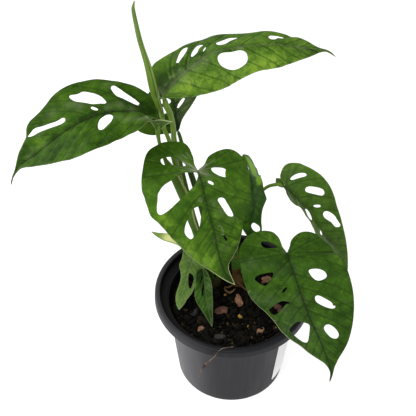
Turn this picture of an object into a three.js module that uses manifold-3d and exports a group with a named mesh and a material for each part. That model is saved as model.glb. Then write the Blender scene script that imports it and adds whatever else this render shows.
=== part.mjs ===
// Potted climbing aroid with holed leaves in a round nursery pot.
// Units are millimetres, +Z is up, the origin is the centre of the pot's underside.
import * as THREE from 'three';
import { mergeVertices } from 'three/addons/utils/BufferGeometryUtils.js';
import Module from 'manifold-3d';

const wasm = await Module();
wasm.setup();

// ---- driving dimensions ----
const POT_HEIGHT = 95;          // rim top above the floor
const RIM_RADIUS = 65;          // outer radius of the rim
const LIP_BOTTOM_Z = 86.6;      // underside of the rim band
const BODY_TOP_RADIUS = 54.6;   // body just under the rim
const BASE_RADIUS = 47;         // body at the floor
const WALL = 1.2;
const FLOOR = 2.0;
const SOIL_EDGE_Z = 78.6;       // soil height at the wall
const SOIL_CROWN = 2.2;         // how much higher the soil is at the middle
const GAP = 0.3;                // play between neighbouring pieces
const BLADE = 0.7;              // leaf thickness
const POT_SEGMENTS = 64;

// Leaf blades. Each row is one station along the midrib: point (3), upper-surface direction (3),
// fold angle on the right and left half (deg), and how much each half curls down (deg per mm).
// outline and holes are (distance along the midrib, distance across), mm.
const LEAVES = {
  leaf_1: {
    s0: -24.0,
    step: 6.0,
    len: 134.28,
    rows: [[-33.939, 31.134, 245.307, -0.009, 0.086, 0.996, 16.912, 85.56, 0.2, 0.2], [-39.909, 30.537, 245.307, -0.008, 0.086, 0.996, 16.912, 85.56, 0.2, 0.2], [-45.874, 29.943, 245.314, -0.002, 0.086, 0.996, 16.912, 85.56, 0.2, 0.2], [-51.696, 29.432, 245.526, 0.102, 0.094, 0.99, 16.912, 85.56, 0.2, 0.2], [-56.7, 29.417, 246.968, 0.501, 0.058, 0.863, 16.912, 85.56, 0.2, 0.2], [-60.606, 30.145, 250.382, 0.713, -0.043, 0.7, 15.867, 58.23, 0.2, 0.2], [-64.742, 30.816, 254.156, 0.585, 0.043, 0.81, 14.822, 30.899, 0.2, 0.2], [-69.806, 30.743, 256.866, 0.361, 0.091, 0.928, 13.777, 19.927, 0.2, 0.2], [-75.393, 30.083, 258.653, 0.215, 0.081, 0.973, 12.732, 14.065, 0.2, 0.2], [-81.235, 29.07, 259.531, 0.099, 0.056, 0.994, 11.687, 8.202, 0.2, 0.2], [-87.124, 28.03, 259.986, 0.038, 0.036, 0.999, 10.642, 5.078, 0.2, 0.2], [-93.008, 26.902, 259.985, -0.055, 0.009, 0.998, 10.002, 5.978, 0.2, 0.2], [-98.784, 25.473, 259.335, -0.164, -0.034, 0.986, 10.37, 6.877, 0.2, 0.2], [-104.362, 23.709, 258.04, -0.236, -0.071, 0.969, 10.739, 7.776, 0.2, 0.2], [-109.879, 21.943, 256.481, -0.263, -0.087, 0.961, 11.108, 8.676, 0.2, 0.2], [-115.275, 20.106, 254.628, -0.319, -0.127, 0.939, 11.476, 9.575, 0.2, 0.2], [-120.46, 18.081, 252.397, -0.36, -0.163, 0.919, 11.845, 10.474, 0.2, 0.2], [-125.478, 15.943, 249.904, -0.39, -0.198, 0.899, 12.214, 11.374, 0.2, 0.2], [-130.282, 13.648, 247.143, -0.417, -0.238, 0.877, 12.582, 12.273, 0.2, 0.2], [-134.94, 11.258, 244.215, -0.421, -0.249, 0.872, 12.951, 13.173, 0.2, 0.2], [-139.634, 8.913, 241.304, -0.414, -0.247, 0.876, 13.32, 14.072, 0.2, 0.2], [-144.387, 6.618, 238.452, -0.402, -0.244, 0.882, 13.688, 14.971, 0.2, 0.2], [-149.238, 4.393, 235.715, -0.377, -0.227, 0.898, 14.057, 15.871, 0.2, 0.2], [-154.268, 2.311, 233.205, -0.362, -0.228, 0.904, 14.426, 16.77, 0.2, 0.2], [-158.811, -0.22, 230.347, -0.416, -0.37, 0.831, 14.794, 17.669, 0.2, 0.2], [-161.826, -3.696, 226.66, -0.354, -0.57, 0.741, 15.163, 18.569, 0.2, 0.2], [-163.347, -7.756, 222.556, -0.267, -0.639, 0.721, 15.532, 19.468, 0.2, 0.2], [-164.472, -11.954, 218.42, -0.261, -0.641, 0.722, 15.672, 19.81, 0.2, 0.2], [-165.592, -16.153, 214.284, -0.261, -0.641, 0.722, 15.672, 19.81, 0.2, 0.2]],
    outline: [[0, 0], [8.6, 11.8], [11.7, 20], [24.2, 28.5], [45.2, 38.3], [57.2, 40.2], [62.1, 40.1], [71.4, 37], [83.5, 29.3], [93.8, 27.4], [97.4, 25.4], [103.1, 17.6], [110.8, 12.7], [119.2, 3.1], [122.2, 1.2], [134.3, 0], [126, -1.6], [117.2, -5.1], [96.8, -23.1], [82.7, -32.8], [73.5, -36.6], [64.1, -38.2], [56, -38.4], [47.2, -38.1], [29.8, -32.7], [24.4, -33.4], [21.2, -30.6], [14.7, -21.4], [9.2, -9.6], [6.2, -5.8], [-5.6, -5.3], [-12.3, -3.9]],
    holes: [
      [[41.8, 9.6], [42.9, 9.1], [50.4, 11.6], [55.3, 15.6], [61, 20.5], [63, 23.5], [63.8, 28.2], [63, 29], [57.9, 27.2], [54.5, 27.8], [51.8, 26.5], [44.8, 18.2], [43.3, 15.4]],
      [[16.5, 6], [22.8, 7.3], [34, 15.8], [37.4, 24.3], [37.3, 26], [36.4, 27.6], [34.7, 27.6]],
      [[48.3, 4.4], [49.6, 4.5], [51.7, 6.4], [52.8, 9.3], [51.5, 9.7], [49.8, 8]],
      [[102.2, 17], [95.6, 18.8], [92.8, 18.6], [77.7, 12], [73.8, 11.9], [72.2, 10.7], [72.2, 8.6], [73.5, 7.4], [77.1, 7.7], [93.6, 13.7], [98.1, 14.4]],
      [[40.3, -4.1], [39.1, -6.9], [39.8, -10.1], [42.3, -14.2], [46.4, -18.6], [49.6, -20.4], [52, -19.6], [52.8, -17.5], [52.6, -15.3], [51.8, -11.7], [49.6, -6.8], [46.4, -4.4], [43.2, -3.2]]] },
  leaf_2: {
    s0: -18.0,
    step: 6.0,
    len: 147.18,
    rows: [[-69.319, 26.924, 266.157, 0.041, -0.424, 0.905, 60.462, 20.343, 0.3, 0.3], [-63.665, 28.814, 266.792, 0.038, -0.425, 0.904, 60.462, 20.343, 0.3, 0.3], [-58.165, 30.778, 267.572, -0.001, -0.447, 0.894, 60.462, 20.343, 0.3, 0.3], [-53.563, 33.184, 269.226, -0.099, -0.57, 0.816, 60.462, 20.343, 0.3, 0.3], [-50.345, 36.332, 272.355, -0.105, -0.681, 0.724, 41.679, 13.642, 0.3, 0.3], [-47.275, 39.69, 275.997, -0.139, -0.654, 0.743, 22.897, 6.941, 0.3, 0.3], [-43.418, 42.757, 279.241, -0.163, -0.585, 0.794, 11.551, 0.239, 0.3, 0.3], [-38.99, 45.559, 282.089, -0.161, -0.537, 0.828, 6.364, -6.462, 0.3, 0.3], [-34.173, 48.17, 284.525, -0.144, -0.496, 0.856, 1.176, -13.163, 0.3, 0.3], [-29.251, 50.759, 286.776, -0.134, -0.476, 0.869, -4.011, -19.864, 0.3, 0.3], [-24.254, 53.34, 288.864, -0.12, -0.449, 0.885, -9.199, -26.565, 0.3, 0.3], [-19.107, 55.81, 290.688, -0.095, -0.407, 0.908, -10.807, -27.914, 0.3, 0.3], [-13.628, 57.853, 291.922, -0.037, -0.346, 0.937, -10.411, -26.268, 0.3, 0.3], [-7.88, 59.431, 292.534, 0.009, -0.312, 0.95, -10.015, -24.621, 0.3, 0.3], [-2.053, 60.819, 292.816, 0.042, -0.289, 0.956, -9.619, -22.975, 0.3, 0.3], [3.809, 62.095, 292.853, 0.064, -0.272, 0.96, -9.223, -21.328, 0.3, 0.3], [9.668, 63.382, 292.781, 0.072, -0.258, 0.963, -8.827, -19.682, 0.3, 0.3], [15.506, 64.761, 292.693, 0.081, -0.244, 0.966, -8.431, -18.035, 0.3, 0.3], [21.353, 66.071, 292.424, 0.115, -0.224, 0.968, -8.035, -16.389, 0.3, 0.3], [27.215, 67.17, 291.829, 0.167, -0.205, 0.964, -7.639, -14.742, 0.3, 0.3], [33.064, 67.919, 290.768, 0.226, -0.191, 0.955, -7.243, -13.095, 0.3, 0.3], [38.886, 68.507, 289.444, 0.236, -0.178, 0.955, -6.847, -11.449, 0.3, 0.3], [44.703, 69.213, 288.159, 0.23, -0.163, 0.959, -6.45, -9.802, 0.3, 0.3], [50.514, 70.019, 286.9, 0.229, -0.149, 0.962, -6.054, -8.156, 0.3, 0.3], [56.315, 70.914, 285.658, 0.23, -0.136, 0.964, -5.658, -6.509, 0.3, 0.3], [62.094, 71.77, 284.307, 0.271, -0.124, 0.955, -5.262, -4.863, 0.3, 0.3], [67.745, 72.196, 282.429, 0.388, -0.135, 0.912, -4.866, -3.216, 0.3, 0.3], [72.936, 71.767, 279.566, 0.523, -0.198, 0.829, -4.47, -1.569, 0.3, 0.3], [77.759, 70.842, 276.127, 0.544, -0.21, 0.812, -4.26, -0.697, 0.3, 0.3], [82.567, 69.898, 272.664, 0.544, -0.21, 0.812, -4.26, -0.697, 0.3, 0.3]],
    outline: [[0, 0], [-4.6, 0.7], [-8.2, 3], [-3.7, 6.6], [-1.2, 13.4], [5.3, 18.3], [30.9, 25.6], [39, 27], [53.8, 28], [81.3, 21.4], [100, 20], [137.9, 0.8], [147.2, 0], [142.2, -1.6], [134, -1.7], [129.8, -3.8], [122, -11], [117.8, -13.8], [112.8, -13.3], [109.3, -16.2], [99.3, -19.7], [87.8, -20], [80.7, -21.4], [64.2, -28.4], [57.5, -30.1], [49.6, -27.5], [43.6, -30.3], [34.8, -24], [26.1, -20.7], [16, -19.9], [13, -18.8], [6.1, -9]],
    holes: [
      [[74.7, 6.1], [74.8, 9], [74, 12.2], [71.8, 14.7], [67.5, 16.8], [64, 17.4], [60.7, 17.1], [56.8, 15.3], [52.8, 12.4], [51.7, 9.6], [52, 5.2], [55.1, 2.7], [58.4, 2.5], [62.8, 3.3], [69.7, 2.8], [72.6, 3.6]],
      [[39.6, -22.7], [37.6, -18.2], [33.1, -13.3], [24.2, -7.2], [23.5, -7.3], [32.8, -18.6], [36.4, -21.5]],
      [[36.6, -7.4], [41.9, -10.2], [45.5, -14.6], [48.2, -16], [48.9, -17.3], [47.8, -18.4], [46.1, -19.6], [43.1, -17.6], [39.3, -13.3], [36.6, -9]],
      [[45.5, -7.5], [46.9, -8.1], [49.4, -12.1], [48.2, -11.6]],
      [[73.2, -14.9], [66.3, -11.5], [62.7, -8.5], [58.9, -8.1], [56.5, -10.2], [56.5, -13.2], [57.4, -14], [66.1, -16.9]],
      [[106.4, -10.1], [103.8, -8.9], [101.6, -9.2], [99, -6.8], [96, -6.6], [94.9, -8.1], [94.8, -9.6], [96.5, -12], [100, -12.3]]] },
  leaf_3: {
    s0: -12.0,
    step: 6.0,
    len: 85.52,
    rows: [[-42.126, 36.602, 221.173, -0.036, -0.503, 0.863, 12, 12, 0.3, 0.3], [-42.851, 41.791, 224.096, -0.04, -0.476, 0.879, 12, 12, 0.3, 0.3], [-43.568, 47.071, 226.854, -0.04, -0.495, 0.868, 12, 12, 0.3, 0.3], [-44.28, 52.362, 229.552, -0.044, -0.391, 0.92, 11.018, 11.018, 0.3, 0.3], [-45.092, 57.99, 231.415, -0.054, -0.259, 0.964, 10.036, 10.036, 0.3, 0.3], [-45.87, 63.808, 232.623, -0.062, -0.168, 0.984, 9.053, 9.053, 0.3, 0.3], [-46.532, 69.72, 233.38, -0.066, -0.104, 0.992, 8.071, 8.071, 0.3, 0.3], [-47.127, 75.672, 233.815, -0.066, -0.058, 0.996, 7.089, 7.089, 0.3, 0.3], [-47.663, 81.644, 234.019, -0.066, -0.024, 0.998, 6.107, 6.107, 0.3, 0.3], [-48.144, 87.624, 234.05, -0.064, 0.001, 0.998, 5.124, 5.124, 0.3, 0.3], [-48.582, 93.607, 233.955, -0.061, 0.02, 0.998, 4.387, 4.387, 0.3, 0.3], [-48.987, 99.59, 233.763, -0.059, 0.035, 0.998, 3.686, 3.686, 0.3, 0.3], [-49.328, 105.574, 233.502, -0.056, 0.045, 0.997, 2.984, 2.984, 0.3, 0.3], [-49.523, 111.562, 233.192, -0.056, 0.055, 0.997, 2.283, 2.283, 0.3, 0.3], [-49.457, 117.548, 232.835, -0.058, 0.067, 0.996, 1.581, 1.581, 0.3, 0.3], [-48.999, 123.511, 232.413, -0.061, 0.083, 0.995, 0.879, 0.879, 0.3, 0.3], [-48.28, 129.448, 231.937, -0.063, 0.089, 0.994, 0.178, 0.178, 0.3, 0.3], [-47.539, 135.383, 231.456, -0.063, 0.089, 0.994, 0, 0, 0.3, 0.3]],
    outline: [[0, 0], [9.6, 5.1], [25.3, 15.5], [31.9, 18.4], [41, 20.6], [51.8, 21.6], [64.1, 20.1], [77.7, 14.6], [85.8, 6.7], [85.5, 0], [80.5, -5.1], [44.9, -18.6], [29.3, -27.8], [22.6, -30.5], [14.6, -32.2], [6.8, -32.2], [2, -30.3], [0.1, -27.8], [-2.6, -20.4], [-1.6, -1.7]],
    holes: [
      [[31, 8.8], [31.5, 6.8], [24.7, 2.7], [21, 1.6], [20.8, 2.5], [23, 4.6]],
      [[33.2, -12.6], [35.3, -7.8], [32, -3.2], [28.7, -2.8], [26.7, -4.7], [27.1, -9.8], [29, -12]],
      [[23, -10.9], [22.8, -7.8], [21.3, -5.2], [18.5, -5.9], [16, -8], [16.7, -10.3], [20, -11.3]],
      [[6.8, -6.3], [5.7, -6.9], [5.8, -8.7], [6.5, -9.2], [7.6, -8.5], [7.5, -7]]] },
  leaf_4: {
    s0: -42.0,
    step: 6.0,
    len: 111.99,
    rows: [[-41.449, 46.191, 233.051, 0.167, -0.247, 0.955, 3.044, -8.279, 0.3, 0.3], [-39.48, 40.803, 231.294, 0.17, -0.256, 0.952, 3.044, -8.279, 0.3, 0.3], [-37.52, 35.431, 229.476, 0.174, -0.265, 0.948, 3.044, -8.279, 0.3, 0.3], [-35.572, 30.076, 227.6, 0.177, -0.275, 0.945, 3.044, -8.279, 0.3, 0.3], [-33.635, 24.738, 225.663, 0.18, -0.284, 0.942, 3.044, -8.279, 0.3, 0.3], [-31.709, 19.417, 223.668, 0.184, -0.293, 0.938, 3.044, -8.279, 0.3, 0.3], [-29.794, 14.115, 221.613, 0.187, -0.303, 0.935, 3.044, -8.279, 0.3, 0.3], [-27.892, 8.831, 219.5, 0.187, -0.29, 0.939, 3.044, -8.279, 0.3, 0.3], [-25.995, 3.558, 217.371, 0.196, -0.342, 0.919, 1.427, -8.028, 0.3, 0.3], [-24.307, -1.568, 214.785, 0.246, -0.421, 0.873, -0.19, -7.778, 0.3, 0.3], [-23.131, -6.546, 211.672, 0.273, -0.511, 0.815, -1.808, -7.528, 0.3, 0.3], [-21.976, -11.128, 207.996, 0.284, -0.602, 0.747, -3.425, -7.277, 0.3, 0.3], [-20.539, -15.117, 203.779, 0.301, -0.682, 0.666, -5.042, -7.027, 0.3, 0.3], [-18.939, -18.485, 199.094, 0.327, -0.748, 0.578, -6.659, -6.777, 0.3, 0.3], [-17.371, -21.28, 194.034, 0.352, -0.798, 0.49, -8.276, -6.526, 0.3, 0.3], [-15.942, -23.57, 188.685, 0.367, -0.837, 0.405, -8.524, -6.321, 0.3, 0.3], [-14.827, -25.465, 183.109, 0.377, -0.866, 0.327, -7.576, -6.156, 0.3, 0.3], [-13.818, -26.948, 177.388, 0.39, -0.882, 0.264, -6.628, -5.991, 0.3, 0.3], [-12.782, -28.036, 171.583, 0.405, -0.889, 0.213, -5.68, -5.826, 0.3, 0.3], [-11.648, -28.762, 165.74, 0.421, -0.891, 0.171, -4.732, -5.661, 0.3, 0.3], [-10.369, -29.155, 159.894, 0.437, -0.889, 0.138, -3.784, -5.496, 0.3, 0.3], [-8.922, -29.235, 154.075, 0.457, -0.883, 0.11, -2.836, -5.331, 0.3, 0.3], [-7.239, -28.984, 148.325, 0.476, -0.875, 0.087, -1.888, -5.166, 0.3, 0.3], [-5.366, -28.434, 142.655, 0.495, -0.866, 0.064, -0.94, -5.001, 0.3, 0.3], [-3.214, -27.467, 137.154, 0.543, -0.839, 0.036, 0.009, -4.836, 0.3, 0.3], [-0.659, -25.811, 132.002, 0.591, -0.807, 0.009, 0.957, -4.671, 0.3, 0.3], [2.008, -23.873, 126.99, 0.588, -0.809, -0.001, 1.588, -4.561, 0.3, 0.3], [4.674, -21.93, 121.979, 0.588, -0.809, -0.001, 1.588, -4.561, 0.3, 0.3]],
    outline: [[0, 0], [-1, 0.5], [-4.2, 1], [-18.3, 0], [-22.1, 0.6], [-25.5, 2.7], [-27.1, 6.2], [-29.4, 18.3], [-26.9, 27.7], [-25.6, 30.4], [-22.4, 33.7], [-17.5, 36.8], [-4.4, 42.6], [6.8, 45.1], [17, 44.3], [25.5, 42.6], [30.5, 38.4], [35.6, 35.4], [57.3, 25.7], [85.8, 7.6], [101.6, 2], [112, 0], [102.6, -2.5], [86.4, -4.7], [83, -6.5], [79.7, -11.3], [74.2, -16.4], [49.4, -28.1], [42.4, -35], [37, -38], [26.7, -40.3], [-2.2, -44.2], [-6.9, -44.2], [-14.4, -40.4], [-16.7, -37.5], [-17.6, -33.1], [-15.5, -23], [-11.5, -13.4], [-3.3, -5.3], [-1.2, -1.2]],
    holes: [
      [[2.1, 0.5], [-0.3, 11], [5.5, 27.6], [9, 32.2], [23.4, 36.9], [25.4, 37], [26.6, 35.5], [26.5, 33.2], [24.8, 27.5], [20.8, 19], [12.8, 7.8], [5.3, 1.9]],
      [[-5.6, 6.9], [-10.1, 23.2], [-11.8, 24.6], [-14.9, 24.8], [-15.9, 23.3], [-16.1, 20.1], [-15.1, 15.7], [-12.2, 11.9]],
      [[27.8, 4], [27.1, 5.3], [27.9, 10.9], [34.7, 17.5], [38.5, 20.1], [42.9, 21.4], [46.6, 20.6], [49.8, 18.9], [50, 17.4], [41.7, 9.8], [32.1, 5.6], [29.7, 3.7]],
      [[6.8, -24.3], [8.2, -22.9], [8, -19.4], [6.4, -15.6], [3.7, -12.2], [1.2, -11], [-0.2, -11], [-0.9, -12.2], [-0.8, -16.5], [0.1, -21.4], [2.8, -24]],
      [[10, -4.3], [9.5, -5.9], [12.2, -9.3], [12.9, -8.7], [12.4, -6.3], [11.1, -4.6]],
      [[43.8, -18.7], [43.5, -17], [41.4, -14.3], [37.6, -12.7], [25.7, -9.3], [24.2, -11], [24.5, -13.5], [26.1, -15.4], [40.7, -18.7]],
      [[54.3, -7.6], [60.4, -9.4], [61.5, -9], [61, -8.1], [54.7, -6.3]]] },
  leaf_5: {
    s0: -30.0,
    step: 6.0,
    len: 66.88,
    rows: [[-0.12, 62.822, 202.638, 0.377, 0.134, 0.916, -6.525, -22.369, 0.3, 0.3], [3.407, 58.104, 201.535, 0.468, 0.01, 0.884, -6.525, -22.369, 0.3, 0.3], [6.508, 53.356, 199.594, 0.547, -0.114, 0.829, -6.525, -22.369, 0.3, 0.3], [9.107, 48.697, 196.863, 0.613, -0.236, 0.754, -6.525, -22.369, 0.3, 0.3], [11.139, 44.239, 193.409, 0.663, -0.351, 0.661, -6.525, -22.369, 0.3, 0.3], [12.555, 40.094, 189.317, 0.676, -0.378, 0.633, -6.525, -22.369, 0.3, 0.3], [13.741, 36.12, 185.094, 0.684, -0.519, 0.512, -6.14, -19.223, 0.3, 0.3], [14.736, 33.648, 179.79, 0.708, -0.635, 0.308, -5.755, -16.077, 0.3, 0.3], [15.369, 32.25, 174.008, 0.697, -0.693, 0.186, -5.371, -12.931, 0.3, 0.3], [15.76, 31.362, 168.09, 0.658, -0.742, 0.128, -4.986, -9.785, 0.3, 0.3], [15.902, 30.594, 162.143, 0.596, -0.795, 0.109, -4.702, -7.478, 0.3, 0.3], [15.679, 29.632, 156.235, 0.513, -0.849, 0.126, -4.504, -5.881, 0.3, 0.3], [14.893, 28.132, 150.504, 0.441, -0.868, 0.229, -4.306, -4.285, 0.3, 0.3], [14.008, 25.532, 145.243, 0.433, -0.767, 0.473, -4.108, -2.689, 0.3, 0.3], [13.64, 21.339, 141.18, 0.439, -0.477, 0.761, -3.91, -1.092, 0.3, 0.3], [13.957, 15.855, 139.135, 0.485, -0.115, 0.867, -3.712, 0.504, 0.3, 0.3], [14.337, 9.923, 138.918, 0.633, 0.067, 0.771, -3.514, 2.101, 0.3, 0.3], [14.648, 3.941, 139.231, 0.642, 0.073, 0.763, -3.485, 2.334, 0.3, 0.3]],
    outline: [[0, 0], [-2.6, 0.9], [-7.8, 2.2], [-11.5, 5.7], [-12.4, 12.4], [-10, 18.5], [-5.4, 22.8], [0.6, 24], [9.2, 20.1], [33.1, 13.6], [45.6, 9.1], [56.3, 3.4], [66.9, 0], [56, -9.8], [50.6, -12], [39.9, -10.6], [36, -11.6], [31, -17.1], [27.1, -16], [22, -16.1], [17.3, -18.2], [11.5, -19.2], [-1.2, -25.5], [-5.9, -19.5], [-15.6, -15.6], [-17.4, -12.8], [-16.3, -1], [-14.4, 2.2], [-12.2, 3.6], [-3.3, -0.6]],
    holes: [
      [[51.4, -10], [53.1, -8.1], [52.6, -4.7], [50.7, -2.2], [48.3, -1.1], [46.4, -1.9], [46, -3.5], [48.9, -9.4]]] },
  leaf_6: {
    s0: -24.0,
    step: 6.0,
    len: 108.27,
    rows: [[24.349, 51.751, 186.351, -0.272, -0.485, 0.831, -75, 0, 0.25, 0.25], [28.432, 47.542, 185.084, -0.23, -0.528, 0.817, -75, 0, 0.25, 0.25], [32.604, 43.529, 183.509, -0.186, -0.57, 0.8, -75, 0, 0.25, 0.25], [36.849, 39.729, 181.63, -0.141, -0.609, 0.78, -75, 0, 0.25, 0.25], [41.15, 36.156, 179.457, -0.125, -0.627, 0.769, -75, 0, 0.25, 0.25], [45.464, 32.663, 177.188, -0.091, -0.653, 0.751, -75, 0, 0.25, 0.25], [49.679, 29.346, 174.511, -0.04, -0.698, 0.715, -75, 0, 0.25, 0.25], [53.896, 26.355, 171.479, 0.015, -0.742, 0.67, -75, 0, 0.25, 0.25], [57.901, 23.609, 167.969, 0.072, -0.781, 0.621, -75, 0, 0.25, 0.25], [61.583, 21.098, 163.965, 0.123, -0.818, 0.562, -75, 0, 0.25, 0.25], [64.934, 18.863, 159.527, 0.166, -0.851, 0.498, -75, 0, 0.25, 0.25], [68.114, 16.997, 154.801, 0.204, -0.877, 0.435, -75, 0, 0.25, 0.25], [71.341, 15.588, 149.949, 0.242, -0.894, 0.378, -75, 0, 0.25, 0.25], [74.68, 14.646, 145.059, 0.28, -0.903, 0.327, -75, 0, 0.25, 0.25], [78.186, 14.179, 140.221, 0.319, -0.904, 0.284, -70.937, 0, 0.25, 0.25], [81.772, 14.105, 135.415, 0.342, -0.908, 0.24, -66.78, 0, 0.25, 0.25], [85.143, 14.204, 130.455, 0.351, -0.916, 0.196, -62.624, 0, 0.25, 0.25], [88.21, 14.402, 125.306, 0.351, -0.924, 0.153, -58.468, 0, 0.25, 0.25], [90.91, 14.656, 119.958, 0.346, -0.932, 0.111, -54.311, 0, 0.25, 0.25], [93.227, 14.967, 114.437, 0.336, -0.939, 0.07, -50.155, 0, 0.25, 0.25], [95.101, 15.329, 108.754, 0.322, -0.946, 0.028, -45.998, 0, 0.25, 0.25], [96.548, 15.765, 102.952, 0.308, -0.951, -0.012, -41.842, 0, 0.25, 0.25], [97.73, 16.296, 97.094, 0.307, -0.951, -0.03, -37.686, 0, 0.25, 0.25], [98.889, 16.858, 91.234, 0.307, -0.951, -0.03, -37.5, 0, 0.25, 0.25]],
    outline: [[0, 0], [-1.5, 0.6], [-1.4, 4.2], [1.9, 7.5], [4.4, 13.9], [8.4, 18.4], [13, 21.3], [19.2, 20.1], [23.5, 13.1], [27.2, 12.4], [35.3, 14.3], [41.2, 12.5], [52, 16.7], [58.6, 17.9], [67.5, 17.5], [77, 14.8], [100.5, 2.4], [108.3, 0], [87.8, -4.2], [78.7, -7.2], [59.7, -15.5], [38.4, -20.8], [24, -25.5], [18.4, -26.2], [13.3, -26.2], [6.9, -24.8], [-3.6, -21.4], [-9.7, -16.1], [-11.2, -13.1], [-11.2, -9.6], [-9.9, -5.9], [-8.2, -2.9], [-6.2, -1.4], [-3.1, -1]],
    holes: [
      [[38.9, 8.7], [34.6, 9.8], [28.4, 7], [25.6, 3.8], [28.4, 1.8], [36.7, 4.9]],
      [[50, 2.9], [55.5, 5.6], [57.2, 8], [54.8, 7.9], [50.4, 4.7]],
      [[-0.3, -6.2], [-0.9, -8], [-0.1, -11.9], [1.9, -15.5], [4.7, -18.1], [6.5, -18.3], [6.4, -16.2], [1.6, -7.7]],
      [[13.6, -8.7], [13.3, -11.3], [19.3, -17.4], [22.6, -19.3], [25.1, -18.4], [25.5, -15.9], [23.2, -13.4], [15.8, -8.2]],
      [[26.8, -4.9], [29.8, -9.7], [31.2, -9.6], [30.4, -7.2], [28.4, -5.2]],
      [[56.6, -14.5], [56.8, -12.2], [53.7, -10.2], [47.4, -9.7], [41.6, -7.5], [38.7, -7.2], [36.7, -7.9], [36.1, -10.2], [38.4, -12.8], [43.7, -14.8]]] },
  leaf_7: {
    s0: -36.0,
    step: 6.0,
    len: 116.38,
    rows: [[31.481, 4.316, 170.432, -0.065, 0.211, 0.975, 3.623, -6.272, 0.3, 0.3], [32.658, -1.443, 171.629, -0.052, 0.151, 0.987, 3.623, -6.272, 0.3, 0.3], [33.855, -7.263, 172.454, -0.04, 0.09, 0.995, 3.623, -6.272, 0.3, 0.3], [35.068, -13.121, 172.905, -0.027, 0.028, 0.999, 3.623, -6.272, 0.3, 0.3], [36.292, -18.994, 172.98, -0.014, -0.033, 0.999, 3.623, -6.272, 0.3, 0.3], [37.522, -24.858, 172.678, -0.001, -0.095, 0.996, 3.623, -6.272, 0.3, 0.3], [38.754, -30.69, 172, 0.011, -0.097, 0.995, 3.623, -6.272, 0.3, 0.3], [39.982, -36.492, 171.201, -0.04, -0.221, 0.975, 0.861, -5.68, 0.3, 0.3], [41.594, -41.946, 169.417, -0.068, -0.435, 0.898, -1.901, -5.088, 0.3, 0.3], [43.523, -46.774, 166.496, -0.041, -0.619, 0.785, -4.663, -4.497, 0.3, 0.3], [45.307, -50.933, 162.597, -0.018, -0.752, 0.659, -7.425, -3.905, 0.3, 0.3], [47.068, -54.341, 158.011, -0.011, -0.85, 0.527, -10.187, -3.313, 0.3, 0.3], [49.044, -57.004, 153.026, -0.011, -0.91, 0.415, -12.95, -2.721, 0.3, 0.3], [51.131, -59.133, 147.824, -0.026, -0.941, 0.336, -15.712, -2.129, 0.3, 0.3], [53.2, -60.945, 142.493, -0.055, -0.958, 0.282, -17.422, -1.652, 0.3, 0.3], [55.268, -62.551, 137.096, -0.085, -0.968, 0.237, -15.825, -1.537, 0.3, 0.3], [57.469, -63.969, 131.699, -0.111, -0.975, 0.194, -14.227, -1.421, 0.3, 0.3], [59.834, -65.255, 126.337, -0.145, -0.975, 0.167, -12.63, -1.305, 0.3, 0.3], [62.227, -66.567, 120.994, -0.194, -0.967, 0.163, -11.033, -1.19, 0.3, 0.3], [64.588, -68.014, 115.672, -0.244, -0.955, 0.167, -9.435, -1.074, 0.3, 0.3], [66.922, -69.658, 110.397, -0.3, -0.935, 0.187, -7.838, -0.958, 0.3, 0.3], [69.158, -71.618, 105.189, -0.362, -0.905, 0.226, -6.241, -0.843, 0.3, 0.3], [71.266, -73.988, 100.103, -0.427, -0.862, 0.273, -4.643, -0.727, 0.3, 0.3], [73.241, -76.855, 95.228, -0.501, -0.797, 0.338, -3.046, -0.611, 0.3, 0.3], [74.708, -80.398, 90.693, -0.554, -0.655, 0.514, -1.449, -0.495, 0.3, 0.3], [74.122, -84.611, 86.707, -0.368, -0.518, 0.772, 0.149, -0.38, 0.3, 0.3], [72.236, -89.01, 83.11, -0.334, -0.504, 0.796, 0.782, -0.334, 0.3, 0.3], [70.324, -93.418, 79.517, -0.334, -0.504, 0.796, 0.782, -0.334, 0.3, 0.3]],
    outline: [[0, 0], [-2.5, 0.9], [-5.6, 2], [-14.3, 2], [-22.2, 4.6], [-24.3, 6.8], [-26.3, 12.6], [-25.9, 19], [-24.2, 23.4], [-18, 29.6], [-11, 34.4], [0.5, 36.6], [27.4, 38.2], [36, 37.2], [46.4, 37.4], [60.9, 31.8], [68.6, 30.9], [74.1, 28.8], [78.7, 26.3], [92.5, 13.8], [102.2, 3], [106.5, 1.2], [116.4, 0], [105.8, -3], [85.1, -20.5], [70.4, -29.3], [61.5, -33.2], [42.1, -38.1], [24.2, -39.4], [12.4, -36.8], [-3, -37.9], [-17.9, -29.7], [-20.4, -25.4], [-21, -21.4], [-20.1, -17], [-14.2, -8.8], [-10.2, -5.6], [-5.3, -3.5]],
    holes: [
      [[-6.2, 5.4], [-7.7, 15.1], [-10.1, 16.8], [-13.2, 16.8], [-14.5, 15.6], [-14.2, 11.8], [-11.4, 8.7]],
      [[12.1, 14.3], [14.5, 16], [20.1, 23.3], [11.4, 29.1], [10.2, 25.8], [11.2, 16.7]],
      [[26.5, 7.9], [29.9, 12.1], [29.4, 13.2], [27.6, 11.8], [25.8, 8.9]],
      [[40.1, 10.2], [40.5, 14], [51.6, 25.9], [52.8, 29], [51.3, 31.6], [47.4, 31.7], [39.1, 21.7], [36.6, 16.6], [37.2, 12.8]],
      [[81.5, 12.9], [80.2, 16], [71.4, 22.1], [67.5, 21.7], [63.6, 17.7], [59.5, 11.8], [58.9, 9], [63, 2.6], [71.3, 6], [79.6, 10.4]],
      [[19.2, -10.7], [18.4, -13], [19.7, -18.1], [22.5, -21.9], [27, -22.8], [28.7, -19.1], [28, -15], [24.5, -12.1]],
      [[40.1, -9.2], [39.5, -11], [40.8, -12.9], [44.6, -16.3], [49.6, -19.8], [51.7, -19.5], [51.9, -21.1], [53.6, -20.9], [54.2, -18.8], [52, -15.5], [47.8, -11.4], [43.8, -8.7]],
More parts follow.
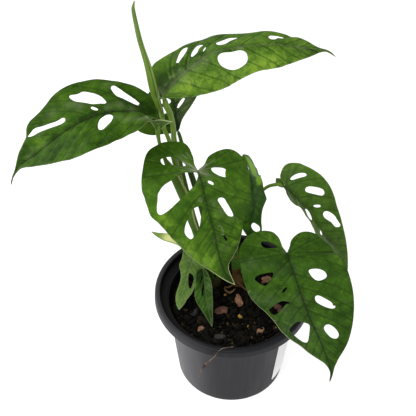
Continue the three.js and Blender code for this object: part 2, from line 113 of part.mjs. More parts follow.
      [[80.4, -12.5], [78.4, -9.2], [74.1, -7.5], [70.5, -6.8], [67.7, -7.4], [66, -9.6], [66.9, -12.4], [71, -14.9], [75.9, -16], [78.9, -15]]] },
  leaf_8: {
    s0: -12.0,
    step: 6.0,
    len: 51.09,
    rows: [[-25.806, 23.045, 131.394, -0.458, -0.601, 0.655, 1.809, 7.576, 0.3, 0.3], [-28.187, 20.018, 126.794, -0.479, -0.627, 0.615, 1.809, 7.576, 0.3, 0.3], [-30.419, 17.185, 122, -0.495, -0.645, 0.582, 1.809, 7.576, 0.3, 0.3], [-32.601, 14.421, 117.143, -0.463, -0.656, 0.596, -1.185, 4.26, 0.3, 0.3], [-34.679, 11.421, 112.384, -0.422, -0.66, 0.622, -4.18, 0.944, 0.3, 0.3], [-36.626, 8.139, 107.758, -0.382, -0.655, 0.652, -7.174, -2.372, 0.3, 0.3], [-38.369, 4.53, 103.3, -0.344, -0.642, 0.685, -7.659, -3.469, 0.3, 0.3], [-39.92, 0.594, 99.05, -0.312, -0.616, 0.723, -6.428, -3.047, 0.3, 0.3], [-41.496, -3.591, 95.055, -0.28, -0.58, 0.765, -5.197, -2.626, 0.3, 0.3], [-42.972, -8.07, 91.359, -0.259, -0.536, 0.803, -3.966, -2.204, 0.3, 0.3], [-44.08, -12.909, 88.005, -0.25, -0.487, 0.837, -2.735, -1.783, 0.3, 0.3], [-45.05, -17.938, 84.881, -0.243, -0.475, 0.845, -2.1, -1.566, 0.3, 0.3], [-46.018, -22.975, 81.769, -0.243, -0.475, 0.845, -2.1, -1.566, 0.3, 0.3]],
    outline: [[0, 0], [-0.2, 4.3], [0.1, 8.4], [2.4, 11.2], [5.3, 11.5], [12.4, 10.2], [15.5, 11], [23.7, 5.7], [41.9, 5.1], [45.7, 3.7], [51.1, 0], [44.5, -4], [35.9, -7.3], [6.3, -11.8], [2.7, -10.1], [0.4, -6.5], [-0.6, -2]],
    holes: [
      [[31.4, -4.7], [22.4, -1.1], [19.6, -0.9], [18.7, -1.5], [19.8, -4.7], [22.5, -6.2], [31.1, -6]]] },
  leaf_9: {
    s0: -12.0,
    step: 6.0,
    len: 48.85,
    rows: [[-26.138, 15.395, 120.933, -0.06, -0.467, 0.882, 8.733, 8.396, 0.3, 0.3], [-25.368, 10.162, 118.102, -0.053, -0.512, 0.857, 8.733, 8.396, 0.3, 0.3], [-24.581, 5.087, 115, -0.049, -0.538, 0.841, 8.733, 8.396, 0.3, 0.3], [-23.789, 0.067, 111.81, -0.052, -0.547, 0.836, 8.355, 8.933, 0.3, 0.3], [-23.144, -4.922, 108.543, -0.05, -0.556, 0.829, 7.977, 9.469, 0.3, 0.3], [-22.643, -9.876, 105.198, -0.053, -0.569, 0.82, 7.599, 10.006, 0.3, 0.3], [-21.968, -14.76, 101.783, -0.061, -0.587, 0.808, 7.098, 9.41, 0.3, 0.3], [-20.929, -19.532, 98.304, -0.07, -0.606, 0.792, 6.554, 8.423, 0.3, 0.3], [-19.677, -24.218, 94.773, -0.075, -0.617, 0.783, 6.011, 7.436, 0.3, 0.3], [-18.435, -28.873, 91.197, -0.08, -0.623, 0.778, 5.467, 6.449, 0.3, 0.3], [-17.198, -33.504, 87.588, -0.085, -0.628, 0.773, 4.923, 5.462, 0.3, 0.3], [-15.962, -38.126, 83.968, -0.086, -0.628, 0.773, 4.846, 5.323, 0.3, 0.3]],
    outline: [[0, 0], [-0.7, 2.4], [-0.2, 5], [1.8, 6.1], [18.8, 9], [24.9, 9], [48.8, 0], [29.7, -4.8], [20.3, -5.8], [9.5, -5.1]],
    holes: [
      [[12.7, 4], [11, 4], [6.1, 1.6], [7, 0.9]],
      [[12.1, 1], [14.6, 0.8], [22.6, 2.8], [22.1, 3.6]]] } };

// Stalks: x, y, z, radius at stations from the leaf down to the stem base.
const STALKS = {
  petiole_1: [[-57.12, 29.23, 245.82, 1.08, 0.93], [-57.83, 28.64, 243.03, 1.75, 1.5], [-57.7, 28.67, 237.3, 1.5, 1.4], [-57.23, 30.6, 228.48, 1.35, 1.35], [-55.57, 30.99, 218.79, 1.45, 1.4], [-53.23, 30.55, 211.13, 1.7, 1.4], [-50.59, 29.34, 205.55, 3, 1.4], [-47.72, 28.21, 199.33, 3.5, 1.45], [-44.82, 26.77, 192.78, 3.8, 1.5], [-40.42, 25.07, 180.92, 4.1, 1.5], [-37.04, 23.89, 169.6, 3.9, 1.55], [-33.64, 21.58, 152.77, 3.3, 1.6], [-28.91, 21.05, 137.08, 2.7, 1.7], [-25.51, 19.49, 126.8, 2.3, 1.7], [-17.9, 16.9, 98, 1.9, 1.9], [-17.4, 17.2, 88.4, 1.9, 1.9]],
  new_leaf_roll: [[-68.66, 28.21, 350.03, 0.35], [-69.64, 28.6, 346.11, 0.9], [-69.84, 28.97, 342.16, 1.35], [-68.68, 30.19, 330.45, 1.6], [-67.25, 30.82, 319.57, 1.85], [-65.54, 31.66, 310.35, 1.95], [-63.91, 32.27, 302.33, 2.2], [-62.59, 32.54, 295.4, 2.5], [-61.31, 32.98, 287.2, 2.9], [-60.42, 34.74, 278.94, 3.2], [-59.17, 36.22, 269.66, 3.2], [-56.95, 37.52, 258.47, 2.35], [-55.56, 38.78, 251.98, 2.1], [-54.85, 39.46, 244.9, 1.95], [-54.03, 38.77, 237.84, 1.8], [-52.93, 38.71, 232.58, 1.7], [-50.17, 38.09, 223.29, 1.75], [-46.77, 35.55, 204.78, 2], [-44.39, 34.95, 193.35, 1.95], [-42.64, 33.83, 186.41, 1.85], [-40, 32.4, 174.11, 1.8], [-37.46, 31.48, 162.34, 1.8], [-34.16, 28.67, 145.72, 1.8], [-28.22, 23.28, 122.81, 1.8], [-20.9, 21.9, 98, 1.8], [-20.7, 21.8, 88.4, 1.8]],
  petiole_2: [[-53.15, 33.47, 268.13, 0.99], [-51.81, 33.6, 265.49, 1.6], [-51.26, 34.15, 261.01, 2.1], [-49.01, 36.19, 253.04, 2.1], [-47.87, 37.87, 246.14, 2.1], [-46.99, 38.97, 238.63, 2.1], [-46.59, 39.75, 232.23, 2.1], [-46.34, 41.19, 220.75, 2.1], [-43.28, 40.43, 202.64, 2.25], [-39.65, 38.65, 182.05, 2.3], [-34.99, 35.82, 158.2, 2.3], [-31.13, 32.57, 141.84, 2.3], [-24.49, 27.42, 118.46, 2.2], [-15.5, 22.4, 98, 2.2], [-15.2, 22.1, 88.4, 2.2]],
  petiole_3: [[-43.42, 47.43, 225.68, 0.78], [-43.11, 47.69, 223.89, 1.25], [-42.24, 46.98, 220.99, 1.3], [-41.21, 45.84, 216.92, 1.4], [-37.21, 41.94, 201.34, 2], [-34.23, 40.84, 188.65, 2.35], [-30.44, 38.45, 174.63, 2.45], [-26.02, 35.77, 155.98, 2.4], [-22.94, 33.28, 141.14, 2.3], [-19.01, 29.49, 116.28, 2.1], [-11.7, 26.3, 98, 1.9], [-11.9, 26.2, 88.4, 1.9]],
  petiole_4: [[-27.75, 9.24, 218.35, 0.87], [-27.03, 10.08, 216.11, 1.4], [-25.37, 12.44, 206.74, 1.5], [-22.38, 15.14, 190.79, 1.6], [-20.45, 17.02, 173.99, 1.65], [-19.01, 16.62, 157.71, 1.7], [-18.41, 16.34, 137.23, 1.75], [-12.4, 17.8, 98, 1.8], [-12.4, 17.6, 88.4, 1.8]],
  petiole_8: [[-30.3, 17.98, 121.1, 0.62], [-30.64, 19.63, 119.02, 1], [-31.35, 19.53, 114.59, 1.05], [-31.1, 19.77, 106.9, 1.1], [-28.98, 19.43, 97.18, 1.1], [-24.2, 15.8, 95, 1.1], [-22.2, 16.6, 88.4, 1.1]],
  petiole_9: [[-23.88, 5.59, 114.25, 0.45], [-22.28, 8.69, 111, 0.75], [-24.48, 13.3, 107.39, 0.9], [-23.57, 15.83, 104.97, 0.95], [-22.15, 18.3, 100.34, 1], [-19.9, 11.9, 95.5, 1], [-19.5, 13, 88.4, 1]],
  petiole_5: [[12.49, 41.33, 185.55, 0.9], [10.31, 41.79, 173.77, 0.9], [8.17, 39.02, 160.8, 0.95], [6.31, 34.95, 146.47, 1], [4.74, 30.69, 131.95, 1], [4.03, 26.73, 119.19, 1], [4.7, 26.9, 107.2, 1]],
  petiole_6: [[39.34, 39.94, 175.02, 1.1], [37.17, 40.47, 176.72, 1.35], [32.97, 42.46, 174.47, 1.4], [28.49, 45.42, 169.9, 1.4], [23.93, 46.88, 163.78, 1.4], [19.14, 44.93, 158.28, 1.4], [14.39, 42.26, 149.75, 1.4], [10.27, 39.14, 140.02, 1.4], [6.43, 34.19, 128.38, 1.45], [3.72, 30.73, 114.98, 1.5], [1, 28.4, 106.2, 1.5]],
  petiole_7: [[38.69, -30.43, 170.78, 0.87], [38.48, -29.66, 168.03, 1.4], [33.93, -24.04, 158.73, 1.55], [27.2, -16.29, 148.03, 1.7], [19.43, -8.19, 136.26, 1.7], [12.98, -0.31, 122.81, 1.75], [9.12, 7.17, 108.96, 1.75], [9, 19, 95.4, 1.8]] };

// ---- helpers ----
const root = new THREE.Group();
root.name = 'potted_plant';

function add(name, geometry, colour, roughness = 0.6) {
  const mesh = new THREE.Mesh(geometry, new THREE.MeshStandardMaterial({ color: colour, roughness }));
  mesh.name = name;
  root.add(mesh);
}

function toManifold(geometry) {
  let g = geometry.clone();
  for (const a of ['normal', 'uv', 'color']) g.deleteAttribute(a);
  g = mergeVertices(g, 1e-4);
  return new wasm.Manifold(new wasm.Mesh({
    numProp: 3,
    vertProperties: new Float32Array(g.attributes.position.array),
    triVerts: new Uint32Array(g.index.array),
  }));
}

function fromManifold(m) {
  const mesh = m.getMesh();
  const n = mesh.numProp;
  const pos = new Float32Array(mesh.vertProperties.length / n * 3);
  for (let i = 0; i < pos.length / 3; i++) for (let k = 0; k < 3; k++) pos[3 * i + k] = mesh.vertProperties[n * i + k];
  const g = new THREE.BufferGeometry();
  g.setAttribute('position', new THREE.BufferAttribute(pos, 3));
  g.setIndex(Array.from(mesh.triVerts));
  g.computeVertexNormals();
  return g;
}

function weld(geometry) {
  let g = geometry.clone();
  for (const a of ['normal', 'uv', 'color']) g.deleteAttribute(a);
  g = mergeVertices(g, 1e-4);
  g.computeVertexNormals();
  return g;
}

function lathe(profile, segments = POT_SEGMENTS) {
  const g = new THREE.LatheGeometry(profile.map(([r, z]) => new THREE.Vector2(r, z)), segments);
  g.rotateX(Math.PI / 2);
  return g;
}

// smooth interpolation through equally spaced rows
function sampleRows(rows, x) {
  const n = rows.length;
  const i = Math.min(Math.max(Math.floor(x), 0), n - 2);
  const t = Math.min(Math.max(x - i, 0), 1);
  const p1 = rows[i], p2 = rows[i + 1];
  const p0 = i > 0 ? rows[i - 1] : p1.map((v, k) => 2 * v - p2[k]);
  const p3 = i + 2 < n ? rows[i + 2] : p2.map((v, k) => 2 * v - p1[k]);
  return p1.map((v, k) => 0.5 * (2 * v + (p2[k] - p0[k]) * t
    + (2 * p0[k] - 5 * v + 4 * p2[k] - p3[k]) * t * t
    + (3 * v - p0[k] - 3 * p2[k] + p3[k]) * t * t * t));
}

// ---- leaf blades ----
function bladePoint(leaf, s, q) {
  const x = (s - leaf.s0) / leaf.step;
  const r = sampleRows(leaf.rows, x);
  const a = sampleRows(leaf.rows, x - 0.05), b = sampleRows(leaf.rows, x + 0.05);
  const T = new THREE.Vector3(b[0] - a[0], b[1] - a[1], b[2] - a[2]).normalize();
  const N = new THREE.Vector3(r[3], r[4], r[5]);
  N.addScaledVector(T, -N.dot(T)).normalize();
  const B = new THREE.Vector3().crossVectors(T, N);
  const fold = THREE.MathUtils.degToRad(q >= 0 ? r[6] : r[7]);
  let curl = THREE.MathUtils.degToRad(q >= 0 ? r[8] : r[9]);
  if (Math.abs(curl) < 1e-6) curl = 1e-6;
  const w = Math.abs(q);
  const across = (Math.sin(fold) - Math.sin(fold - curl * w)) / curl;
  const lift = (Math.cos(fold - curl * w) - Math.cos(fold)) / curl;
  return new THREE.Vector3(r[0], r[1], r[2]).addScaledVector(B, Math.sign(q) * across).addScaledVector(N, lift);
}

function bladeNormal(leaf, s, q) {
  const e = 1.2;
  const ds = bladePoint(leaf, s + e, q).sub(bladePoint(leaf, s - e, q));
  const dq = bladePoint(leaf, s, q + e).sub(bladePoint(leaf, s, q - e));
  return new THREE.Vector3().crossVectors(dq, ds).normalize();
}

const DISH = 0.0008;                       // slight dish of the flat blank, removed again when it is bent
const dish = (s, q, c) => DISH * ((s - c) * (s - c) + q * q);

function flatBlank(s0, s1, q0, q1, c) {
  // closed plate whose grid has a line along the midrib
  const ns = Math.max(4, Math.ceil((s1 - s0) / 11));
  const nl = Math.max(2, Math.ceil(-q0 / 11)), nr = Math.max(2, Math.ceil(q1 / 11));
  const qs = [];
  for (let j = 0; j <= nl; j++) qs.push(q0 * (1 - j / nl));
  for (let j = 1; j <= nr; j++) qs.push(q1 * j / nr);
  const m = qs.length, pos = [], idx = [];
  for (const side of [1, -1]) {
    for (let i = 0; i <= ns; i++) {
      const s = s0 + (s1 - s0) * i / ns;
      for (const q of qs) pos.push(s, q, dish(s, q, c) + side * BLADE / 2);
    }
  }
  const o = (ns + 1) * m;
  for (let i = 0; i < ns; i++) for (let j = 0; j < m - 1; j++) {
    const a = i * m + j, b = a + 1, d = a + m, e = d + 1;
    idx.push(a, d, e, a, e, b);
    idx.push(o + a, o + e, o + d, o + a, o + b, o + e);
  }
  const wall = (a, b) => idx.push(a, o + b, o + a, a, b, o + b);
  for (let j = 0; j < m - 1; j++) { wall(j + 1 - 1, j + 1); wall(ns * m + j + 1, ns * m + j); }
  for (let i = 0; i < ns; i++) { wall((i + 1) * m, i * m); wall(i * m + m - 1, (i + 1) * m + m - 1); }
  const g = new THREE.BufferGeometry();
  g.setAttribute('position', new THREE.BufferAttribute(new Float32Array(pos), 3));
  g.setIndex(idx);
  return g;
}

function prism(points) {
  const g = new THREE.ExtrudeGeometry(new THREE.Shape(points.map(([x, y]) => new THREE.Vector2(x, y))), { depth: 60, bevelEnabled: false });
  g.translate(0, 0, -20);
  return toManifold(g);
}

function blade(leaf) {
  const ss = leaf.outline.map((p) => p[0]), qs = leaf.outline.map((p) => p[1]);
  const c = (Math.min(...ss) + Math.max(...ss)) / 2;
  let m = toManifold(flatBlank(Math.min(...ss) - 2, Math.max(...ss) + 2, Math.min(...qs) - 2, Math.max(...qs) + 2, c));
  m = m.intersect(prism(leaf.outline));
  for (const h of leaf.holes) m = m.subtract(prism(h));
  const parts = m.decompose().sort((a, b) => b.volume() - a.volume());
  const g = fromManifold(parts[0]);
  const p = g.attributes.position;
  for (let i = 0; i < p.count; i++) {
    const s = p.getX(i), q = p.getY(i), z = p.getZ(i) - dish(s, q, c);
    const v = bladePoint(leaf, s, q).addScaledVector(bladeNormal(leaf, s, q), z);
    p.setXYZ(i, v.x, v.y, v.z);
  }
  return weld(g);
}

// ---- round stalks: an extrusion along a smooth curve, then given its own radius at every station ----
function stalk(rows, steps, sides = 8, flat = null) {
  const curve = new THREE.CatmullRomCurve3(rows.map((r) => new THREE.Vector3(r[0], r[1], r[2])), false, 'catmullrom', 0.5);
  const ring = [];
  for (let i = 0; i < sides; i++) ring.push(new THREE.Vector2(Math.cos(2 * Math.PI * i / sides), Math.sin(2 * Math.PI * i / sides)));
  const g = weld(new THREE.ExtrudeGeometry(new THREE.Shape(ring), { steps, bevelEnabled: false, extrudePath: curve }));
  const stations = [];
  for (let k = 0; k <= steps; k++) {
    const t = curve.getUtoTmapping(k / steps);
    stations.push([curve.getPoint(t), curve.getTangent(t), sampleRows(rows, t * (rows.length - 1))]);
  }
  const p = g.attributes.position, v = new THREE.Vector3();
  for (let i = 0; i < p.count; i++) {
    v.fromBufferAttribute(p, i);
    const [c, T, r] = stations.reduce((m, q) => (q[0].distanceToSquared(v) < m[0].distanceToSquared(v) ? q : m));
    v.sub(c);
    if (flat) {                       // oval section: r[3] wide, r[4] thick along the given direction
      const U = flat.clone().addScaledVector(T, -flat.dot(T)).normalize();
      const W = new THREE.Vector3().crossVectors(T, U);
      v.copy(U.multiplyScalar(v.dot(U) * r[4]).addScaledVector(W, v.dot(W) * r[3]));
    } else v.multiplyScalar(r[3]);
    v.add(c);
    p.setXYZ(i, v.x, v.y, v.z);
  }
  return g;
}
const outward = (g) => {            // flips a closed mesh whose volume comes out negative
  const p = g.attributes.position, ix = g.index.array;
  let vol = 0;
  const a = new THREE.Vector3(), b = new THREE.Vector3(), c = new THREE.Vector3();
  for (let i = 0; i < ix.length; i += 3) {
    a.fromBufferAttribute(p, ix[i]); b.fromBufferAttribute(p, ix[i + 1]); c.fromBufferAttribute(p, ix[i + 2]);
    vol += a.dot(b.cross(c));
  }
  if (vol < 0) { for (let i = 0; i < ix.length; i += 3) { const t = ix[i + 1]; ix[i + 1] = ix[i + 2]; ix[i + 2] = t; } g.computeVertexNormals(); }
  return g;
};

const LEAF_GREEN = ['#3c6e1e', '#5f8c32', '#2d4f1c', '#3f7420', '#5a8a2c', '#44711f', '#3e7020', '#5d8445', '#3d6b25'];
const STALK_GREEN = '#5f823c';

// ---- pot ----
const bodyRadius = (z) => BASE_RADIUS + (BODY_TOP_RADIUS - BASE_RADIUS) * z / LIP_BOTTOM_Z;
{
  const profile = [
    [0, 0], [BASE_RADIUS - 2, 0], [BASE_RADIUS - 0.2, 1], [bodyRadius(30), 30], [bodyRadius(60), 60],
    [BODY_TOP_RADIUS, LIP_BOTTOM_Z], [RIM_RADIUS - 0.6, LIP_BOTTOM_Z + 0.2], [RIM_RADIUS + 0.4, LIP_BOTTOM_Z + 1],
    [RIM_RADIUS + 0.1, POT_HEIGHT - 1.1], [RIM_RADIUS - 0.9, POT_HEIGHT], [RIM_RADIUS - 3.6, POT_HEIGHT],
    [RIM_RADIUS - 4.5, POT_HEIGHT - 0.9], [RIM_RADIUS - 5.2, LIP_BOTTOM_Z + 2.0],
    [BODY_TOP_RADIUS - WALL + 1.2, LIP_BOTTOM_Z + 1.4], [BODY_TOP_RADIUS - WALL, LIP_BOTTOM_Z - 0.6],
    [bodyRadius(40) - WALL, 40], [bodyRadius(3) - WALL, FLOOR + 1], [BASE_RADIUS - WALL - 1.6, FLOOR], [0, FLOOR],
  ];
  let pot = toManifold(lathe(profile));
  for (let k = 0; k < 8; k++) {            // drainage notches round the base edge
    const notch = new THREE.BoxGeometry(9, 7, 2.6);
    notch.translate(BASE_RADIUS - 2.5, 0, 0.6);
    notch.rotateZ((k + 0.5) * Math.PI / 4);
    pot = pot.subtract(toManifold(notch));
  }
  add('pot', fromManifold(pot), '#46464a', 0.55);
}

// ---- blank label on the side of the pot ----
{
  const t0 = THREE.MathUtils.degToRad(-43), t1 = THREE.MathUtils.degToRad(14), n = 10, thick = 0.25, off = 0.2;
  const z0 = 11, z1 = 80, pos = [], idx = [];
  for (let i = 0; i <= n; i++) {
    const a = t0 + (t1 - t0) * i / n;
    for (const z of [z0, z1]) for (const d of [off, off + thick]) {
      const r = bodyRadius(z) + d;
      pos.push(r * Math.cos(a), r * Math.sin(a), z);
    }
  }
  // per station: 0 inner-low, 1 outer-low, 2 inner-high, 3 outer-high
  const quad = (a, b, c, d) => idx.push(a, b, c, a, c, d);
  for (let i = 0; i < n; i++) {
    const a = 4 * i, b = a + 4;
    quad(a + 1, b + 1, b + 3, a + 3); quad(a, a + 2, b + 2, b);
    quad(a + 2, a + 3, b + 3, b + 2); quad(a, b, b + 1, a + 1);
  }
  quad(0, 1, 3, 2); quad(4 * n, 4 * n + 2, 4 * n + 3, 4 * n + 1);
  const g = new THREE.BufferGeometry();
  g.setAttribute('position', new THREE.BufferAttribute(new Float32Array(pos), 3));
  g.setIndex(idx);
  add('pot_label', outward(weld(g)), '#e9e9ea', 0.4);
}

// ---- stem bases and soil ----
const STEM_MAIN = [[-16.3, 20.6, 60, 6.6], [-16.3, 20.6, 74, 7.4], [-16.3, 20.6, 82, 7.6], [-16.3, 20.6, 88, 6.9]];
const STEM_SIDE = [[6.2, 17.0, 64, 5.0], [5.8, 17.6, 76, 5.0], [4.6, 20.4, 89, 4.5], [3.6, 23.8, 98, 4.1], [2.9, 26.8, 105.8, 3.8]];
add('stem_base_main', outward(stalk(STEM_MAIN, 4, 14)), '#6f7a3c');
add('stem_base_side', outward(stalk(STEM_SIDE, 8, 12)), '#6b5a34');

const soilTop = (r) => SOIL_EDGE_Z + SOIL_CROWN * Math.max(0, 1 - (r / 52) * (r / 52));
{
  const inner = (z) => bodyRadius(z) - WALL - GAP - 0.15;
  const profile = [[0, FLOOR + GAP], [inner(3) - 1.8, FLOOR + GAP], [inner(4), FLOOR + 1.6], [inner(40), 40], [inner(78), SOIL_EDGE_Z]];
  for (const r of [44, 34, 22, 10]) profile.push([r, soilTop(r)]);
  profile.push([0, soilTop(0)]);
  let soil = toManifold(lathe(profile, 48));
  const wider = (rows) => rows.map((r, i) => [r[0], r[1], i === 0 ? r[2] - GAP : r[2], r[3] + GAP]);
  soil = soil.subtract(toManifold(outward(stalk(wider(STEM_MAIN), 4, 14))));
  soil = soil.subtract(toManifold(outward(stalk(wider(STEM_SIDE), 8, 12))));
  add('soil', fromManifold(soil), '#16110c', 0.95);
}

// ---- leaves and their stalks ----
Object.entries(LEAVES).forEach(([name, leaf], i) => add(name, outward(blade(leaf)), LEAF_GREEN[i], 0.45));
const OPEN_SIDE = new THREE.Vector3(0, -0.72, 0.69);      // flat direction of the stalk whose base sheath is spread
for (const [name, rows] of Object.entries(STALKS)) {
  add(name, outward(stalk(rows, Math.round(rows.length * 1.1), 8, rows[0].length > 4 ? OPEN_SIDE : null)), STALK_GREEN);
}

// pale pointed sheath leaf low on the left of the main stem
const SHEATH = [[-24.4,25.0,88.6,1.4,0.8],[-25.8,25.4,96.0,1.4,0.8],[-28.9,26.0,103.0,1.6,0.8],[-33.2,27.2,109.0,2.2,0.8],[-38.5,29.6,114.5,3.0,0.8],[-44.5,32.6,118.3,3.7,0.8],[-51.0,35.6,119.0,3.9,0.75],[-57.9,38.4,118.3,3.3,0.65],[-63.1,40.2,118.8,2.0,0.5],[-68.4,42.5,119.9,0.45,0.35]];
add('sheath_leaf', outward(stalk(SHEATH, 15, 8, new THREE.Vector3(0.1, -0.45, 0.89))), '#b6c07a');

// dry aerial root lying over the front of the rim
const AERIAL_ROOT = [[-0.9, -60.4, 95.9, 0.5], [-5, -61.1, 96.1, 0.5], [-9.5, -62.5, 96.2, 0.5], [-12.6, -65.3, 96.0, 0.5], [-15.1, -66.9, 92.4, 0.5],
  [-18.4, -67.0, 87.6, 0.6], [-21.6, -66.9, 82.8, 1.1], [-24.4, -66.6, 76.6, 1.1], [-26.4, -66.2, 70.2, 0.5], [-27.6, -65.9, 63.4, 0.4]];
add('aerial_root', outward(stalk(AERIAL_ROOT, 16, 6)), '#6a4c38');

// ---- bark chips lying on the soil, each a piece of its own ----
// x, y, length, width, thickness, heading (deg)
const CHIPS = [
  [5.4, -2.2, 9, 13, 4.2, 8], [-8.6, -12.6, 15, 8, 3.4, 12], [-31.4, -14.6, 9, 6, 3, 40], [-11.5, -39.2, 12, 6, 2.8, -14],
  [28.4, 21.0, 14, 9, 3.8, 25], [38.2, -8.4, 11, 8, 3.6, -35], [22.0, -33.5, 10, 6, 2.8, 60], [-36.5, 8.5, 9, 6, 3, 75],
  [24.5, 2.5, 9, 6, 3, -15], [14.5, 38.5, 12, 7, 3.2, 15], [-31.0, 36.0, 10, 6.5, 3, -40], [-25.5, -30.5, 9, 5.5, 2.6, 22],
];
CHIPS.forEach(([x, y, l, w, t, deg], i) => {
  const g = new THREE.IcosahedronGeometry(0.5, 1);
  const p = g.attributes.position;
  for (let k = 0; k < p.count; k++) {
    const a = p.getX(k), b = p.getY(k), c = p.getZ(k);
    const e = 1 + 0.12 * Math.sin(7 * a + 3 * i) * Math.cos(5 * b + i) ;
    p.setXYZ(k, Math.sign(a) * Math.pow(Math.abs(2 * a), 0.8) * 0.5 * l * e, Math.sign(b) * Math.pow(Math.abs(2 * b), 0.8) * 0.5 * w * e, c * t);
  }
  g.rotateZ(THREE.MathUtils.degToRad(deg));
  g.translate(x, y, soilTop(Math.hypot(x, y)) + 0.3 + t / 2 + 0.15);
  add(`bark_chip_${i + 1}`, outward(weld(g)), i % 3 ? '#5a4238' : '#8a6252', 0.9);
});

// yellow feed pellets on the soil
[[6.6, -19.1, 2.1], [-5.9, 4.2, 1.4], [12.2, -28.5, 1.3]].forEach(([x, y, r], i) => {
  const g = new THREE.IcosahedronGeometry(r, 1);
  g.translate(x, y, soilTop(Math.hypot(x, y)) + r + 0.3);
  add(`feed_pellet_${i + 1}`, outward(weld(g)), '#b9a04a', 0.6);
});

export default root;
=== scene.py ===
# Potted climbing aroid with pierced leaves: the finished surfaces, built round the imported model.
# All tables are in millimetres in the model's own frame: origin at the centre of the pot's underside, +Z up.
import math

import bmesh
import bpy
import numpy as np
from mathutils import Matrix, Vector, geometry


